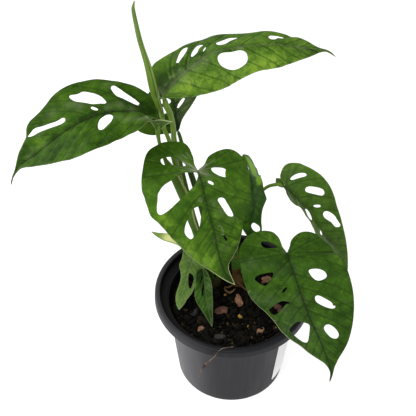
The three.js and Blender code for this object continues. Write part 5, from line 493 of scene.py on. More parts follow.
# soft lighter, darker and greyer patches of the upper sides: (along, across, radius, amount); some darker ones are
# painted shade along the midribs and at shaded leaf bases, the strong lighter ones on leaf_5 are painted light, and the
# grey ones are painted sheen, with pale grey veins at the joint of leaf_4
PATCHES = {
    "leaf_1": {"tone_and_painted_light": [[65.1,29.2,6.7,0.5],[94.6,3.8,5.8,0.5],[112.2,-3,6.5,0.45],[67.9,-12.8,8.6,0.3],[41.2,29.2,6,0.35],[86.3,-19.5,7.1,0.2],[54.1,-29.2,6.3,0.15],[25.5,9,7.4,-0.5],[17.2,6.8,6.6,-0.6],[11.7,3,5.2,-0.5],[32.9,21.8,4.5,-0.3],[50.4,27,3.7,0.3],[90.9,23.2,4.4,-0.2],[51.3,1.5,2.9,-0.5],[41.2,-1.5,2.9,-0.6],[30.1,-2.2,2.9,-0.6],[61.4,1.5,2.9,-0.5],[73.4,0.8,2.9,-0.4],[84.5,0.8,2.9,-0.4]],
               "grey_and_sheen": [[59.6,15,4.4,0.5],[65.1,20.2,3.7,0.4],[50.4,15,3.7,0.25],[32.9,6,3.7,0.5],[24.6,0,3.7,0.45],[41.2,4.5,3.6,0.3],[16.3,-18,3.6,0.6],[21.8,-15.8,3.6,0.45],[29.2,-14.2,3.6,0.4],[35.6,-9,3.6,0.3],[78,20.2,4.4,0.3],[92.8,13.5,3.7,0.4],[94.6,0.8,3.6,0.25],[103.9,3.8,3.6,0.2],[109.4,0.8,2.9,0.3],[37.5,29.2,4.5,0.25]]},
    "leaf_2": {"tone_and_painted_light": [[35.1,20.2,10.1,0.35],[92.1,15.8,10.2,0.5],[60.3,26.2,7.2,0.35],[15.8,16.5,7.2,0.15],[77.6,21,8.7,0.4],[107.6,11.2,7.3,0.2],[28.4,-9.8,6.6,-0.1],[39,-6,4.4,-0.35],[18.7,-7.5,5.1,0.2],[12.9,-6,3.6,-0.35],[3.3,-4.5,3.6,-0.5],[20.7,-7.5,2.9,-0.2],[81.5,-9.8,5.9,0.1],[64.1,-0.8,3.6,-0.25],[50.6,-2.2,3.6,-0.2]],
               "grey_and_sheen": [[40.9,2.2,4.3,0.5],[32.3,1.5,3.6,0.45],[51.6,0,2.9,0.4],[70.9,0.8,2.9,0.5],[23.6,0.8,2.9,0.5],[12,1.5,3.6,0.4],[3.3,-1.5,3.6,0.4],[21.6,5.2,5.1,0.25],[62.2,-9.8,2.9,0.3],[27.4,-15.8,3.7,0.25],[117.2,0.8,4.4,0.2]]},
    "leaf_3": {"tone_and_painted_light": [[1.2,-21.8,7.7,0.75],[6.8,-29.2,6.2,0.6],[0.7,-12.8,6.1,0.6],[32.8,13.5,6.3,0.15],[12.9,1.5,4.7,-0.6],[23.4,1.5,3.9,-0.4],[4,-1.5,3.9,-0.6]],
               "grey_and_sheen": [[26.7,11.2,4.7,0.55],[18.4,7.5,3.9,0.6],[36.2,16.5,4,0.5],[11.2,3.8,3.1,0.45],[42.8,0,4,0.2]]},
    "leaf_4": {"tone_and_painted_light": [[9.8,39.8,6.6,0.4],[24.9,36,6.6,0.2],[31.1,33,5.9,0.35],[48,26.2,6.7,0.25],[66.7,15,8.3,0.55],[73.8,6.8,6.8,0.45],[57.8,21,6,0.35],[87.1,2.2,6.1,0.3],[68.4,-14.2,6.8,0.35],[56.9,-21,6,0.2],[33.8,-30,6,0.25],[10.6,-28.5,6,0.15],[-21.4,23.2,6,-0.05],[-18.7,4.5,6,-0.1],[12.4,0,3,-0.7],[22.2,0,2.9,-0.7],[31.1,0,2.9,-0.7],[40.9,0,2.6,-0.6],[50.6,0.8,2.6,-0.5],[5.3,0,3,-0.6],[1.7,-5.2,3.7,-0.3],[17.8,-14.2,4.5,-0.25],[-9.8,34.5,4.4,-0.05],[45.3,-9.8,5.2,-0.1]],
               "grey_and_sheen": [[0.9,0,3,0.8],[-0.9,3,3,0.55],[2.6,-4.5,3,0.6],[6.2,-5.2,3,0.4],[-6.3,7.5,3,0.35],[-9.8,13.5,3,0.25],[4.4,3.8,2.2,0.3],[-13.4,6.8,3.7,0.2],[36.4,-9.8,3.7,0.3],[27.5,-5.2,3,0.3],[44.4,-16.5,3,0.3],[61.3,23.2,3.7,0.35],[50.6,28.5,3.7,0.25],[56,0,2.2,0.35],[75.5,13.5,3.8,0.3],[66.7,-6,3.8,0.25]]},
    "leaf_5": {"tone_and_painted_light": [[-2,-13.5,6.5,1.2],[-8.9,-6.8,5.6,1],[10.7,-12.8,4.9,1],[8.1,4.5,4,0.4]],
               "grey_and_sheen": []},
    "leaf_6": {"tone_and_painted_light": [[-0.7,-18.8,6.4,0.1],[33.1,-21.8,7.2,0.1],[69.2,-8.2,6.6,0.1],[7.5,-9,5.6,-0.05],[42.1,0,3.2,-0.3],[64.7,2.2,3.3,-0.3],[22.6,0,3.2,-0.3],[8.3,0,3.2,-0.3],[15.1,-24.8,6.4,0.1]],
               "grey_and_sheen": [[40.6,7.5,3.2,0.35],[57.2,6.8,3.3,0.35],[18.8,3,3.2,0.25],[78.2,3.8,3.3,0.3],[-3.7,-10.5,4,0.15]]},
    "leaf_7": {"tone_and_painted_light": [[16.8,-33,6.7,0.35],[50,-30,6.7,0.3],[-1.2,-24.8,5.3,0.2],[35.6,-30.8,5.9,0.2],[88.6,-5.2,6.1,0.25],[83.2,6,6.2,0.25],[-1.2,-9.8,4.5,0.1],[-20,14.2,5.3,0.1],[-3.9,27.8,6,-0.1],[4.2,20.2,6,-0.2],[8.7,8.2,5.9,-0.25],[16.8,0.8,3,-0.6],[32,0.8,3,-0.6],[47.3,0,3,-0.5],[66.1,0.8,3,-0.4],[3.3,1.5,3.7,-0.4],[25.7,17.2,6,-0.15],[49.1,8.2,4.5,-0.1],[99.3,1.5,4.6,-0.05],[67.9,-28.5,5.2,0.15]],
               "grey_and_sheen": [[30.2,35.2,3.8,0.2],[32.9,24,4.5,0.2],[46.4,18,3.8,0.2],[38.3,1.5,4.5,0.15],[2.4,27.8,3.7,0.15],[-1.2,1.5,2.2,0.4],[68.8,-3.8,3.8,0.15]]},
    "leaf_8": {"tone_and_painted_light": [[6.9,7.5,5,0.1],[9.5,1.5,5,-0.2],[30.3,1.5,5,0.1],[43.6,1.5,4.2,0.3]],
               "grey_and_sheen": [[6.9,2.2,5,0.3],[6.2,-6,4.1,0.3]]},
    "leaf_9": {"tone_and_painted_light": [[5.5,5.2,4.1,-0.5],[22.4,4.5,4.1,-0.1],[27,-1.5,3.3,0.3],[13,-1.5,3.3,0.2]],
               "grey_and_sheen": [[14.9,-3,2.5,0.35],[31.4,-1.5,2.5,0.3]]},
}

STALKS = {
    "petiole_1": [[-57.12,29.23,245.82,1.08,0.93],[-57.83,28.64,243.03,1.75,1.5],[-57.7,28.67,237.3,1.5,1.4],[-57.23,30.6,228.48,1.35,1.35],[-55.57,30.99,218.79,1.45,1.4],[-53.23,30.55,211.13,1.7,1.4],[-50.59,29.34,205.55,3,1.4],[-47.72,28.21,199.33,3.5,1.45],[-44.82,26.77,192.78,3.8,1.5],[-40.42,25.07,180.92,4.1,1.5],[-37.04,23.89,169.6,3.9,1.55],[-33.64,21.58,152.77,3.3,1.6],[-28.91,21.05,137.08,2.7,1.7],[-25.51,19.49,126.8,2.3,1.7],[-17.9,16.9,98,1.9,1.9],[-17.4,17.2,88.4,1.9,1.9]],
    "new_leaf_roll": [[-68.66,28.21,350.03,0.35],[-69.64,28.6,346.11,0.9],[-69.84,28.97,342.16,1.35],[-68.68,30.19,330.45,1.6],[-67.25,30.82,319.57,1.85],[-65.54,31.66,310.35,1.95],[-63.91,32.27,302.33,2.2],[-62.59,32.54,295.4,2.5],[-61.31,32.98,287.2,2.9],[-60.42,34.74,278.94,3.2],[-59.17,36.22,269.66,3.2],[-56.95,37.52,258.47,2.35],[-55.56,38.78,251.98,2.1],[-54.85,39.46,244.9,1.95],[-54.03,38.77,237.84,1.8],[-52.93,38.71,232.58,1.7],[-50.17,38.09,223.29,1.75],[-46.77,35.55,204.78,2],[-44.39,34.95,193.35,1.95],[-42.64,33.83,186.41,1.85],[-40,32.4,174.11,1.8],[-37.46,31.48,162.34,1.8],[-34.16,28.67,145.72,1.8],[-28.22,23.28,122.81,1.8],[-20.9,21.9,98,1.8],[-20.7,21.8,88.4,1.8]],
    "petiole_2": [[-53.15,33.47,268.13,0.99],[-51.81,33.6,265.49,1.6],[-51.26,34.15,261.01,2.1],[-49.01,36.19,253.04,2.1],[-47.87,37.87,246.14,2.1],[-46.99,38.97,238.63,2.1],[-46.59,39.75,232.23,2.1],[-46.34,41.19,220.75,2.1],[-43.28,40.43,202.64,2.25],[-39.65,38.65,182.05,2.3],[-34.99,35.82,158.2,2.3],[-31.13,32.57,141.84,2.3],[-24.49,27.42,118.46,2.2],[-15.5,22.4,98,2.2],[-15.2,22.1,88.4,2.2]],
    "petiole_3": [[-43.42,47.43,225.68,0.78],[-43.11,47.69,223.89,1.25],[-42.24,46.98,220.99,1.3],[-41.21,45.84,216.92,1.4],[-37.21,41.94,201.34,2],[-34.23,40.84,188.65,2.35],[-30.44,38.45,174.63,2.45],[-26.02,35.77,155.98,2.4],[-22.94,33.28,141.14,2.3],[-19.01,29.49,116.28,2.1],[-11.7,26.3,98,1.9],[-11.9,26.2,88.4,1.9]],
    "petiole_4": [[-27.75,9.24,218.35,0.87],[-27.03,10.08,216.11,1.4],[-25.37,12.44,206.74,1.5],[-22.38,15.14,190.79,1.6],[-20.45,17.02,173.99,1.65],[-19.01,16.62,157.71,1.7],[-18.41,16.34,137.23,1.75],[-12.4,17.8,98,1.8],[-12.4,17.6,88.4,1.8]],
    "petiole_8": [[-30.3,17.98,121.1,0.62],[-30.64,19.63,119.02,1],[-31.35,19.53,114.59,1.05],[-31.1,19.77,106.9,1.1],[-28.98,19.43,97.18,1.1],[-24.2,15.8,95,1.1],[-22.2,16.6,88.4,1.1]],
    "petiole_9": [[-23.88,5.59,114.25,0.45],[-22.28,8.69,111,0.75],[-24.48,13.3,107.39,0.9],[-23.57,15.83,104.97,0.95],[-22.15,18.3,100.34,1],[-19.9,11.9,95.5,1],[-19.5,13,88.4,1]],
    "petiole_5": [[12.49,41.33,185.55,0.9],[10.31,41.79,173.77,0.9],[8.17,39.02,160.8,0.95],[6.31,34.95,146.47,1],[4.74,30.69,131.95,1],[4.03,26.73,119.19,1],[4.7,26.9,107.2,1]],
    "petiole_6": [[39.34,39.94,175.02,1.1],[37.17,40.47,176.72,1.35],[32.97,42.46,174.47,1.4],[28.49,45.42,169.9,1.4],[23.93,46.88,163.78,1.4],[19.14,44.93,158.28,1.4],[14.39,42.26,149.75,1.4],[10.27,39.14,140.02,1.4],[6.43,34.19,128.38,1.45],[3.72,30.73,114.98,1.5],[1,28.4,106.2,1.5]],
    "petiole_7": [[38.69,-30.43,170.78,0.87],[38.48,-29.66,168.03,1.4],[33.93,-24.04,158.73,1.55],[27.2,-16.29,148.03,1.7],[19.43,-8.19,136.26,1.7],[12.98,-0.31,122.81,1.75],[9.12,7.17,108.96,1.75],[9,19,95.4,1.8]],
}

STEM_MAIN = [[-16.3, 20.6, 60, 6.6], [-16.3, 20.6, 74, 7.4], [-16.3, 20.6, 82, 7.6], [-16.3, 20.6, 88, 6.9]]
STEM_SIDE = [[6.2, 17.0, 64, 5.0], [5.8, 17.6, 76, 5.0], [4.6, 20.4, 89, 4.5], [3.6, 23.8, 98, 4.1], [2.9, 26.8, 105.8, 3.8]]
SHEATH = [[-24.4,25.0,88.6,1.4,0.8],[-25.8,25.4,96.0,1.4,0.8],[-28.9,26.0,103.0,1.6,0.8],[-33.2,27.2,109.0,2.2,0.8],[-38.5,29.6,114.5,3.0,0.8],[-44.5,32.6,118.3,3.7,0.8],[-51.0,35.6,119.0,3.9,0.75],[-57.9,38.4,118.3,3.3,0.65],[-63.1,40.2,118.8,2.0,0.5],[-68.4,42.5,119.9,0.45,0.35]]
ROOT = [[-0.9, -60.4, 95.9, 0.5], [-5, -61.1, 96.1, 0.5], [-9.5, -62.5, 96.2, 0.5], [-12.6, -65.3, 96.0, 0.5], [-15.1, -66.9, 92.4, 0.5], [-18.4, -67.0, 87.6, 0.6], [-21.6, -66.9, 82.8, 1.1], [-24.4, -66.6, 76.6, 1.1], [-26.4, -66.2, 70.2, 0.5], [-27.6, -65.9, 63.4, 0.4]]
CHIPS = [ [5.4, -2.2, 9, 13, 4.2, 8], [-8.6, -12.6, 15, 8, 3.4, 12], [-31.4, -14.6, 9, 6, 3, 40], [-11.5, -39.2, 12, 6, 2.8, -14], [28.4, 21.0, 14, 9, 3.8, 25], [38.2, -8.4, 11, 8, 3.6, -35], [22.0, -33.5, 10, 6, 2.8, 60], [-36.5, 8.5, 9, 6, 3, 75], [24.5, 2.5, 9, 6, 3, -15], [14.5, 38.5, 12, 7, 3.2, 15], [-31.0, 36.0, 10, 6.5, 3, -40], [-25.5, -30.5, 9, 5.5, 2.6, 22]]
PELLETS = [[6.6, -19.1, 2.1], [-5.9, 4.2, 1.4], [12.2, -28.5, 1.3]]

# ------------------------------------------------------------------ set-up
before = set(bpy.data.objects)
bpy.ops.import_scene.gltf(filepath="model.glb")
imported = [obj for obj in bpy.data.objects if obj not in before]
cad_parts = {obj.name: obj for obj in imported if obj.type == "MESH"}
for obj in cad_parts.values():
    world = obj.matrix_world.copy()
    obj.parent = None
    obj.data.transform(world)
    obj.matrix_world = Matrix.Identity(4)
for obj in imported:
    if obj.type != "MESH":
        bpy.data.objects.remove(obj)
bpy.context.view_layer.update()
rng = np.random.RandomState(11)
MM = 0.001


def unit(a):
    a = np.asarray(a, float)
    return a / np.maximum(np.linalg.norm(a, axis=-1, keepdims=True), 1e-12)


def smoothstep(a, b, x):
    t = np.clip((x - a) / (b - a), 0, 1)
    return t * t * (3 - 2 * t)


# smooth value noise in numpy, seeded by a fixed table
_tab = np.random.RandomState(5).rand(4096)


def vnoise(p, scale, seed=0):
    """Smooth noise in -1..1 at points p (n, 2 or 3), one cell per scale."""
    p = np.asarray(p, float) / scale + seed * 17.31
    if p.shape[1] == 2:
        p = np.c_[p, np.full(len(p), 0.5 + seed)]
    i = np.floor(p).astype(int)
    f = p - i
    f = f * f * (3 - 2 * f)
    out = 0
    for dx in (0, 1):
        for dy in (0, 1):
            for dz in (0, 1):
                h = ((i[:, 0] + dx) * 73856093) ^ ((i[:, 1] + dy) * 19349663) ^ ((i[:, 2] + dz) * 83492791)
                w = (f[:, 0] if dx else 1 - f[:, 0]) * (f[:, 1] if dy else 1 - f[:, 1]) * (f[:, 2] if dz else 1 - f[:, 2])
                out = out + w * _tab[h & 4095]
    return out * 2 - 1


def cat_rom(A, x):
    """Catmull-Rom through equally spaced rows A at positions x."""
    A = np.asarray(A, float)
    n = len(A)
    i = np.clip(np.floor(x).astype(int), 0, n - 2)
    t = np.clip(x - i, 0, 1)[:, None]
    E = np.vstack([2 * A[0] - A[1], A, 2 * A[-1] - A[-2]])
    p0, p1, p2, p3 = E[i], E[i + 1], E[i + 2], E[i + 3]
    return 0.5 * (2 * p1 + (p2 - p0) * t + (2 * p0 - 5 * p1 + 4 * p2 - p3) * t ** 2 + (3 * p1 - p0 - 3 * p2 + p3) * t ** 3)


def even(P, step, closed=False):
    """A smooth curve through P, resampled at an even step."""
    P = np.asarray(P, float)
    if closed:
        P = np.vstack([P[-2:], P, P[:3]])
        A = cat_rom(P, np.linspace(2, len(P) - 3, (len(P) - 5) * 12, endpoint=False))
        A = np.vstack([A, A[:1]])
    else:
        A = cat_rom(P, np.linspace(0, len(P) - 1, (len(P) - 1) * 12 + 1))
    d = np.r_[0, np.cumsum(np.linalg.norm(np.diff(A, axis=0), axis=1))]
    n = max(3 if not closed else 6, int(round(d[-1] / step)))
    x = np.linspace(0, d[-1], n + 1)
    B = np.stack([np.interp(x, d, A[:, k]) for k in range(A.shape[1])], 1)
    return B[:-1] if closed else B


def soften(P, k, closed=False):
    for _ in range(k):
        if closed:
            P = 0.25 * np.roll(P, 1, 0) + 0.5 * P + 0.25 * np.roll(P, -1, 0)
        else:
            Q = P.copy()
            Q[1:-1] = 0.25 * P[:-2] + 0.5 * P[1:-1] + 0.25 * P[2:]
            P = Q
    return P


def inside(P, poly):
    x, y = P[:, 0], P[:, 1]
    c = np.zeros(len(P), bool)
    for (x1, y1), (x2, y2) in zip(poly, np.roll(poly, -1, 0)):
        if y1 == y2:
            continue
        c ^= ((y1 > y) != (y2 > y)) & (x < (x2 - x1) * (y - y1) / (y2 - y1) + x1)
    return c


def seg_dist(P, A, B):
    """Distance from every point of P to the nearest of the segments A-B."""
    best = np.full(len(P), 1e9)
    for a, b in zip(A, B):
        d = b - a
        t = np.clip(((P - a) @ d) / max(d @ d, 1e-12), 0, 1)
        best = np.minimum(best, np.linalg.norm(P - a - t[:, None] * d, axis=1))
    return best


def build(name, V, F, mat, node=None, smooth=True, attrs=None, uv=None, rim=None, body="root"):
    """A mesh piece from vertices in mm and triangles or quads of one size; attrs are numbers a vertex."""
    V = np.asarray(V, np.float64) * MM
    F = np.asarray(F, np.int32)
    k = F.shape[1]
    me = bpy.data.meshes.new(name)
    me.vertices.add(len(V))
    me.vertices.foreach_set("co", V.astype(np.float32).ravel())
    me.loops.add(F.size)
    me.loops.foreach_set("vertex_index", F.ravel())
    me.polygons.add(len(F))
    me.polygons.foreach_set("loop_start", np.arange(0, F.size, k, dtype=np.int32))
    me.update(calc_edges=True)
    me.polygons.foreach_set("use_smooth", np.full(len(F), smooth))
    for a, v in (attrs or {}).items():
        me.attributes.new(a, "FLOAT", "POINT").data.foreach_set("value", np.asarray(v, np.float32).ravel())
    if uv is not None:
        me.uv_layers.new(name="UVMap").data.foreach_set("uv", np.asarray(uv, np.float32)[F.ravel()].ravel())
    if rim is not None:
        e = np.zeros(len(me.edges) * 2, np.int32)
        me.edges.foreach_get("vertices", e)
        e = e.reshape(-1, 2)
        sharp = (rim[e[:, 0]] > 0) & (rim[e[:, 0]] == rim[e[:, 1]])
        (me.attributes.get("sharp_edge") or me.attributes.new("sharp_edge", "BOOLEAN", "EDGE")).data.foreach_set("value", sharp)
    me.update()
    ob = bpy.data.objects.new(name, me)
    bpy.context.scene.collection.objects.link(ob)
    me.materials.append(mat)
    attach(ob, body)
    if node:
        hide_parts(*([node] if isinstance(node, str) else node))
    return ob


# ------------------------------------------------------------------ material helpers
class Mat:
    """Small helper for node materials."""

    def __init__(self, name, rough=0.5, spec=0.5, **extra):
        self.m = bpy.data.materials.new(name)
        self.m.use_nodes = True
        self.t = self.m.node_tree
        self.t.nodes.clear()
        self.out = self.t.nodes.new("ShaderNodeOutputMaterial")
        self.b = self.t.nodes.new("ShaderNodeBsdfPrincipled")
        self.t.links.new(self.b.outputs[0], self.out.inputs[0])
        self.b.inputs["Roughness"].default_value = rough
        self.b.inputs["Specular IOR Level"].default_value = spec
        for k, v in extra.items():
            self.b.inputs[k.replace("_", " ")].default_value = v
        self._o = None

    def new(self, kind, **kw):
        n = self.t.nodes.new(kind)
        for k, v in kw.items():
            setattr(n, k, v)
        return n

    def link(self, a, b):
        self.t.links.new(a, b)

    def put(self, sock, v):
        if hasattr(v, "is_output") or isinstance(v, bpy.types.NodeSocket):
            self.link(v, sock)
        elif isinstance(v, (tuple, list)) and len(v) == 3 and sock.type == "RGBA":
            sock.default_value = (*v, 1)
        else:
            sock.default_value = v

    def obj(self):
        if self._o is None:
            self._o = self.new("ShaderNodeTexCoord").outputs["Object"]
        return self._o

    def uv(self):
        return self.new("ShaderNodeTexCoord").outputs["UV"]

    def scaled(self, vec, s):
        n = self.new("ShaderNodeMapping")
        self.link(vec, n.inputs["Vector"])
        n.inputs["Scale"].default_value = s if isinstance(s, (tuple, list)) else (s, s, s)
        return n.outputs[0]

    def attr(self, name):
        return self.new("ShaderNodeAttribute", attribute_name=name).outputs["Fac"]

    def noise(self, vec, scale, detail=3, rough=0.55, dist=0.0):
        n = self.new("ShaderNodeTexNoise")
        self.link(vec, n.inputs["Vector"])
        n.inputs["Scale"].default_value = scale
        n.inputs["Detail"].default_value = detail
        n.inputs["Roughness"].default_value = rough
        n.inputs["Distortion"].default_value = dist
        return n.outputs["Fac"]

    def vor(self, vec, scale, feature="F1", out="Distance"):
        n = self.new("ShaderNodeTexVoronoi", feature=feature)
        self.link(vec, n.inputs["Vector"])
        n.inputs["Scale"].default_value = scale
        return n.outputs[out]

    def ramp(self, fac, *stops):
        n = self.new("ShaderNodeValToRGB")
        self.link(fac, n.inputs[0])
        e = n.color_ramp.elements
        while len(e) < len(stops):
            e.new(0.5)
        for el, (p, c) in zip(e, stops):
            el.position = p
            el.color = (*c, 1) if isinstance(c, (tuple, list)) else (c, c, c, 1)
        return n.outputs[0]

    def remap(self, v, a, b, c=0.0, d=1.0, smooth=True):
        n = self.new("ShaderNodeMapRange", interpolation_type="SMOOTHSTEP" if smooth else "LINEAR")
        self.put(n.inputs["Value"], v)
        for k, x in zip(("From Min", "From Max", "To Min", "To Max"), (a, b, c, d)):
            n.inputs[k].default_value = x
        return n.outputs[0]

    def math(self, op, a, b=0.0, clamp=False):
        n = self.new("ShaderNodeMath", operation=op, use_clamp=clamp)
        self.put(n.inputs[0], a)
        self.put(n.inputs[1], b)
        return n.outputs[0]

    def mix(self, fac, a, b, blend="MIX"):
        n = self.new("ShaderNodeMix", data_type="RGBA", blend_type=blend)
        self.put(n.inputs[0], fac)
        self.put(n.inputs[6], a)
        self.put(n.inputs[7], b)
        return n.outputs[2]

    def color(self, c):
        self.put(self.b.inputs["Base Color"], c)

    def rough(self, r):
        self.put(self.b.inputs["Roughness"], r)

    def bump(self, h, strength=0.3, dist=0.0005, prev=None):
        n = self.new("ShaderNodeBump")
        self.link(h, n.inputs["Height"])
        n.inputs["Strength"].default_value = strength
        n.inputs["Distance"].default_value = dist
        if prev is not None:
            self.link(prev, n.inputs["Normal"])
        self.link(n.outputs[0], self.b.inputs["Normal"])
        return n.outputs[0]


def srgb(r, g, b):
    return tuple(((c / 255) / 12.92 if c <= 10 else ((c / 255 + 0.055) / 1.055) ** 2.4) for c in (r, g, b))


# ------------------------------------------------------------------ leaves
def leaf_material(name, pal, under, ribcol, net=0.3, vein=0.4, panel=0.3, ribdark=0.6, spec=0.06, gloss=0.46):
    """pal: four greens of the upper side from shade to light."""
    m = Mat(name, rough=gloss, spec=spec)
    m.b.inputs["Subsurface Weight"].default_value = 0.05
    m.b.inputs["Subsurface Radius"].default_value = (0.0008, 0.0014, 0.0003)
    m.b.inputs["Subsurface Scale"].default_value = 1.0
    o, uv = m.obj(), m.uv()
    big = m.noise(o, 34, 3, 0.5)
    mid = m.noise(uv, 17, 4, 0.6, 0.5)
    fine = m.noise(uv, 90, 4, 0.65)
    vd, md = m.attr("vd"), m.attr("md")
    # how light the green is: patches (some of them painted light and shade), slow clouds, mottling, softly lighter
    # panels between the side veins (partly their own colour, partly painted light on the puffed panels), and painted
    # shade beside the midrib groove
    x = m.math("ADD", 0.42, m.math("MULTIPLY", m.math("SUBTRACT", big, 0.5), 1.1))
    x = m.math("ADD", x, m.math("MULTIPLY", m.math("SUBTRACT", mid, 0.5), 1.2))
    x = m.math("ADD", x, m.math("MULTIPLY", m.math("SUBTRACT", fine, 0.5), 0.35))
    x = m.math("ADD", x, m.math("MULTIPLY", m.math("SUBTRACT", m.remap(vd, 0.3, 3.8), 0.6), panel))
    x = m.math("ADD", x, m.math("MULTIPLY", m.remap(md, 0.4, 3.6, 1.0, 0.0), -0.22))
    x = m.math("ADD", x, m.math("MULTIPLY", m.attr("tone_and_painted_light"), 0.8), clamp=True)
    top = m.ramp(x, (0.0, pal[0]), (0.33, pal[1]), (0.62, pal[2]), (1.0, pal[3]))
    # net of small veins, thin side veins and the midrib
    cell = m.vor(m.scaled(uv, (0.9, 1.25, 1)), 17, "DISTANCE_TO_EDGE")
    line = m.remap(m.math("ADD", cell, m.math("MULTIPLY", m.math("SUBTRACT", fine, 0.5), 0.05)), 0.015, 0.085, 1.0, 0.0)
    line = m.math("MULTIPLY", line, m.remap(m.noise(uv, 9, 2), 0.32, 0.6, 0.2, 1.0))
    dark = tuple(c * 0.55 for c in pal[0])
    top = m.mix(m.math("MULTIPLY", m.math("MULTIPLY", line, net), m.attr("netw")), top, dark)
    wob = m.math("ADD", vd, m.math("MULTIPLY", m.math("SUBTRACT", fine, 0.5), 0.5))
    top = m.mix(m.remap(wob, 0.12, 0.72, min(1.0, vein * 1.5), 0.0), top, dark)
    # a lighter band along each side vein: painted light on the puffed blade beside it
    top = m.mix(m.math("MULTIPLY", m.remap(m.math("ABSOLUTE", m.math("SUBTRACT", wob, 1.6)), 0.1, 0.9, 0.7 * vein, 0.0), m.remap(mid, 0.4, 0.6)), top, pal[3])
    top = m.mix(m.math("MULTIPLY", m.remap(wob, 0.2, 0.8, 1.0, 0.0), m.attr("hub")), top, srgb(120, 120, 104))
    # grey patches: painted sheen, and on leaf_4 pale grey veins at its joint
    top = m.mix(m.math("MULTIPLY", m.attr("grey_and_sheen"), m.remap(fine, 0.3, 0.65, 0.35, 1.0)), top, srgb(104, 116, 82))
    # the midrib: its own colour where pale, painted shade of its groove where dark
    rib = m.remap(m.math("ADD", md, m.math("MULTIPLY", m.math("SUBTRACT", fine, 0.5), 0.7)), 0.32, 0.95, ribdark, 0.0)
    top = m.mix(rib, top, ribcol)
    # small pale flecks and a few scuffs
    fleck = m.remap(m.noise(uv, 170, 2, 0.5), 0.70, 0.80, 0.0, 0.30)
    top = m.mix(fleck, top, srgb(150, 168, 100))
    top = m.mix(m.attr("scar"), top, srgb(158, 160, 138))
    # underside: paler, with raised ribs
    und = m.mix(m.remap(mid, 0.3, 0.7, 0.0, 0.45), under, tuple(c * 1.22 for c in under))
    und = m.mix(m.math("MULTIPLY", line, 0.25), und, tuple(c * 0.7 for c in under))
    und = m.mix(m.remap(vd, 0.2, 0.8, 0.45, 0.0), und, tuple(c * 1.5 for c in under))
    und = m.mix(m.remap(md, 0.5, 1.2, 0.7, 0.0), und, srgb(122, 142, 86))
    # the underside takes the lighter patches too, painted light on leaf_5 among them
    und = m.mix(m.math("MULTIPLY", m.attr("tone_and_painted_light"), 0.7, clamp=True), und, pal[3])
    col = m.mix(m.attr("under"), top, und)
    # the cut edge and a hair of margin: darker above, pale where it turns under
    col = m.mix(m.math("MULTIPLY", m.remap(m.attr("ed"), 0.05, 0.5, 0.55, 0.0), m.math("SUBTRACT", 1.0, m.attr("pale"))), col, tuple(c * 0.8 for c in pal[0]))
    col = m.mix(m.math("MULTIPLY", m.remap(m.attr("ed"), 0.2, 0.85, 0.9, 0.0), m.attr("pale")), col, srgb(198, 206, 150))
    m.color(col)
    m.rough(m.remap(m.math("ADD", fine, m.math("MULTIPLY", m.attr("under"), 0.5)), 0.2, 1.2, gloss - 0.06, gloss + 0.2, smooth=False))
    h = m.math("ADD", m.math("MULTIPLY", m.remap(cell, 0.0, 0.2), 0.7), m.math("MULTIPLY", fine, 0.5))
    m.bump(h, 0.32, 0.0003)
    return m.m


def leaf_surface(L):
    rows = np.array(L["rows"], float)

    def at(s, q):
        s, q = np.asarray(s, float), np.asarray(q, float)
        x = (s - L["s0"]) / L["step"]
        r = cat_rom(rows, x)
        a, b = cat_rom(rows[:, :3], x - 0.05), cat_rom(rows[:, :3], x + 0.05)
        T = unit(b - a)
        N = unit(r[:, 3:6] - T * np.sum(r[:, 3:6] * T, 1, keepdims=True))
        B = np.cross(T, N)
        A = np.radians(np.where(q >= 0, r[:, 6], r[:, 7]))
        K = np.radians(np.where(q >= 0, r[:, 8], r[:, 9]))
        K = np.where(np.abs(K) < 1e-6, 1e-6, K)
        w = np.abs(q)
        X = (np.sin(A) - np.sin(A - K * w)) / K
        Z = (np.cos(A - K * w) - np.cos(A)) / K
        return r[:, :3] + B * (np.sign(q) * X)[:, None] + N * Z[:, None]

    def normal(s, q):
        ds = at(s + 1.0, q) - at(s - 1.0, q)
        dq = at(s, q + 1.0) - at(s, q - 1.0)
        return unit(np.cross(dq, ds))

    return at, normal


def patches(v, rows):
    t = np.zeros(len(v))
    for s, q, r, a in rows:
        t += a * np.exp(-((v[:, 0] - s) ** 2 + (v[:, 1] - q) ** 2) / r ** 2)
    return t


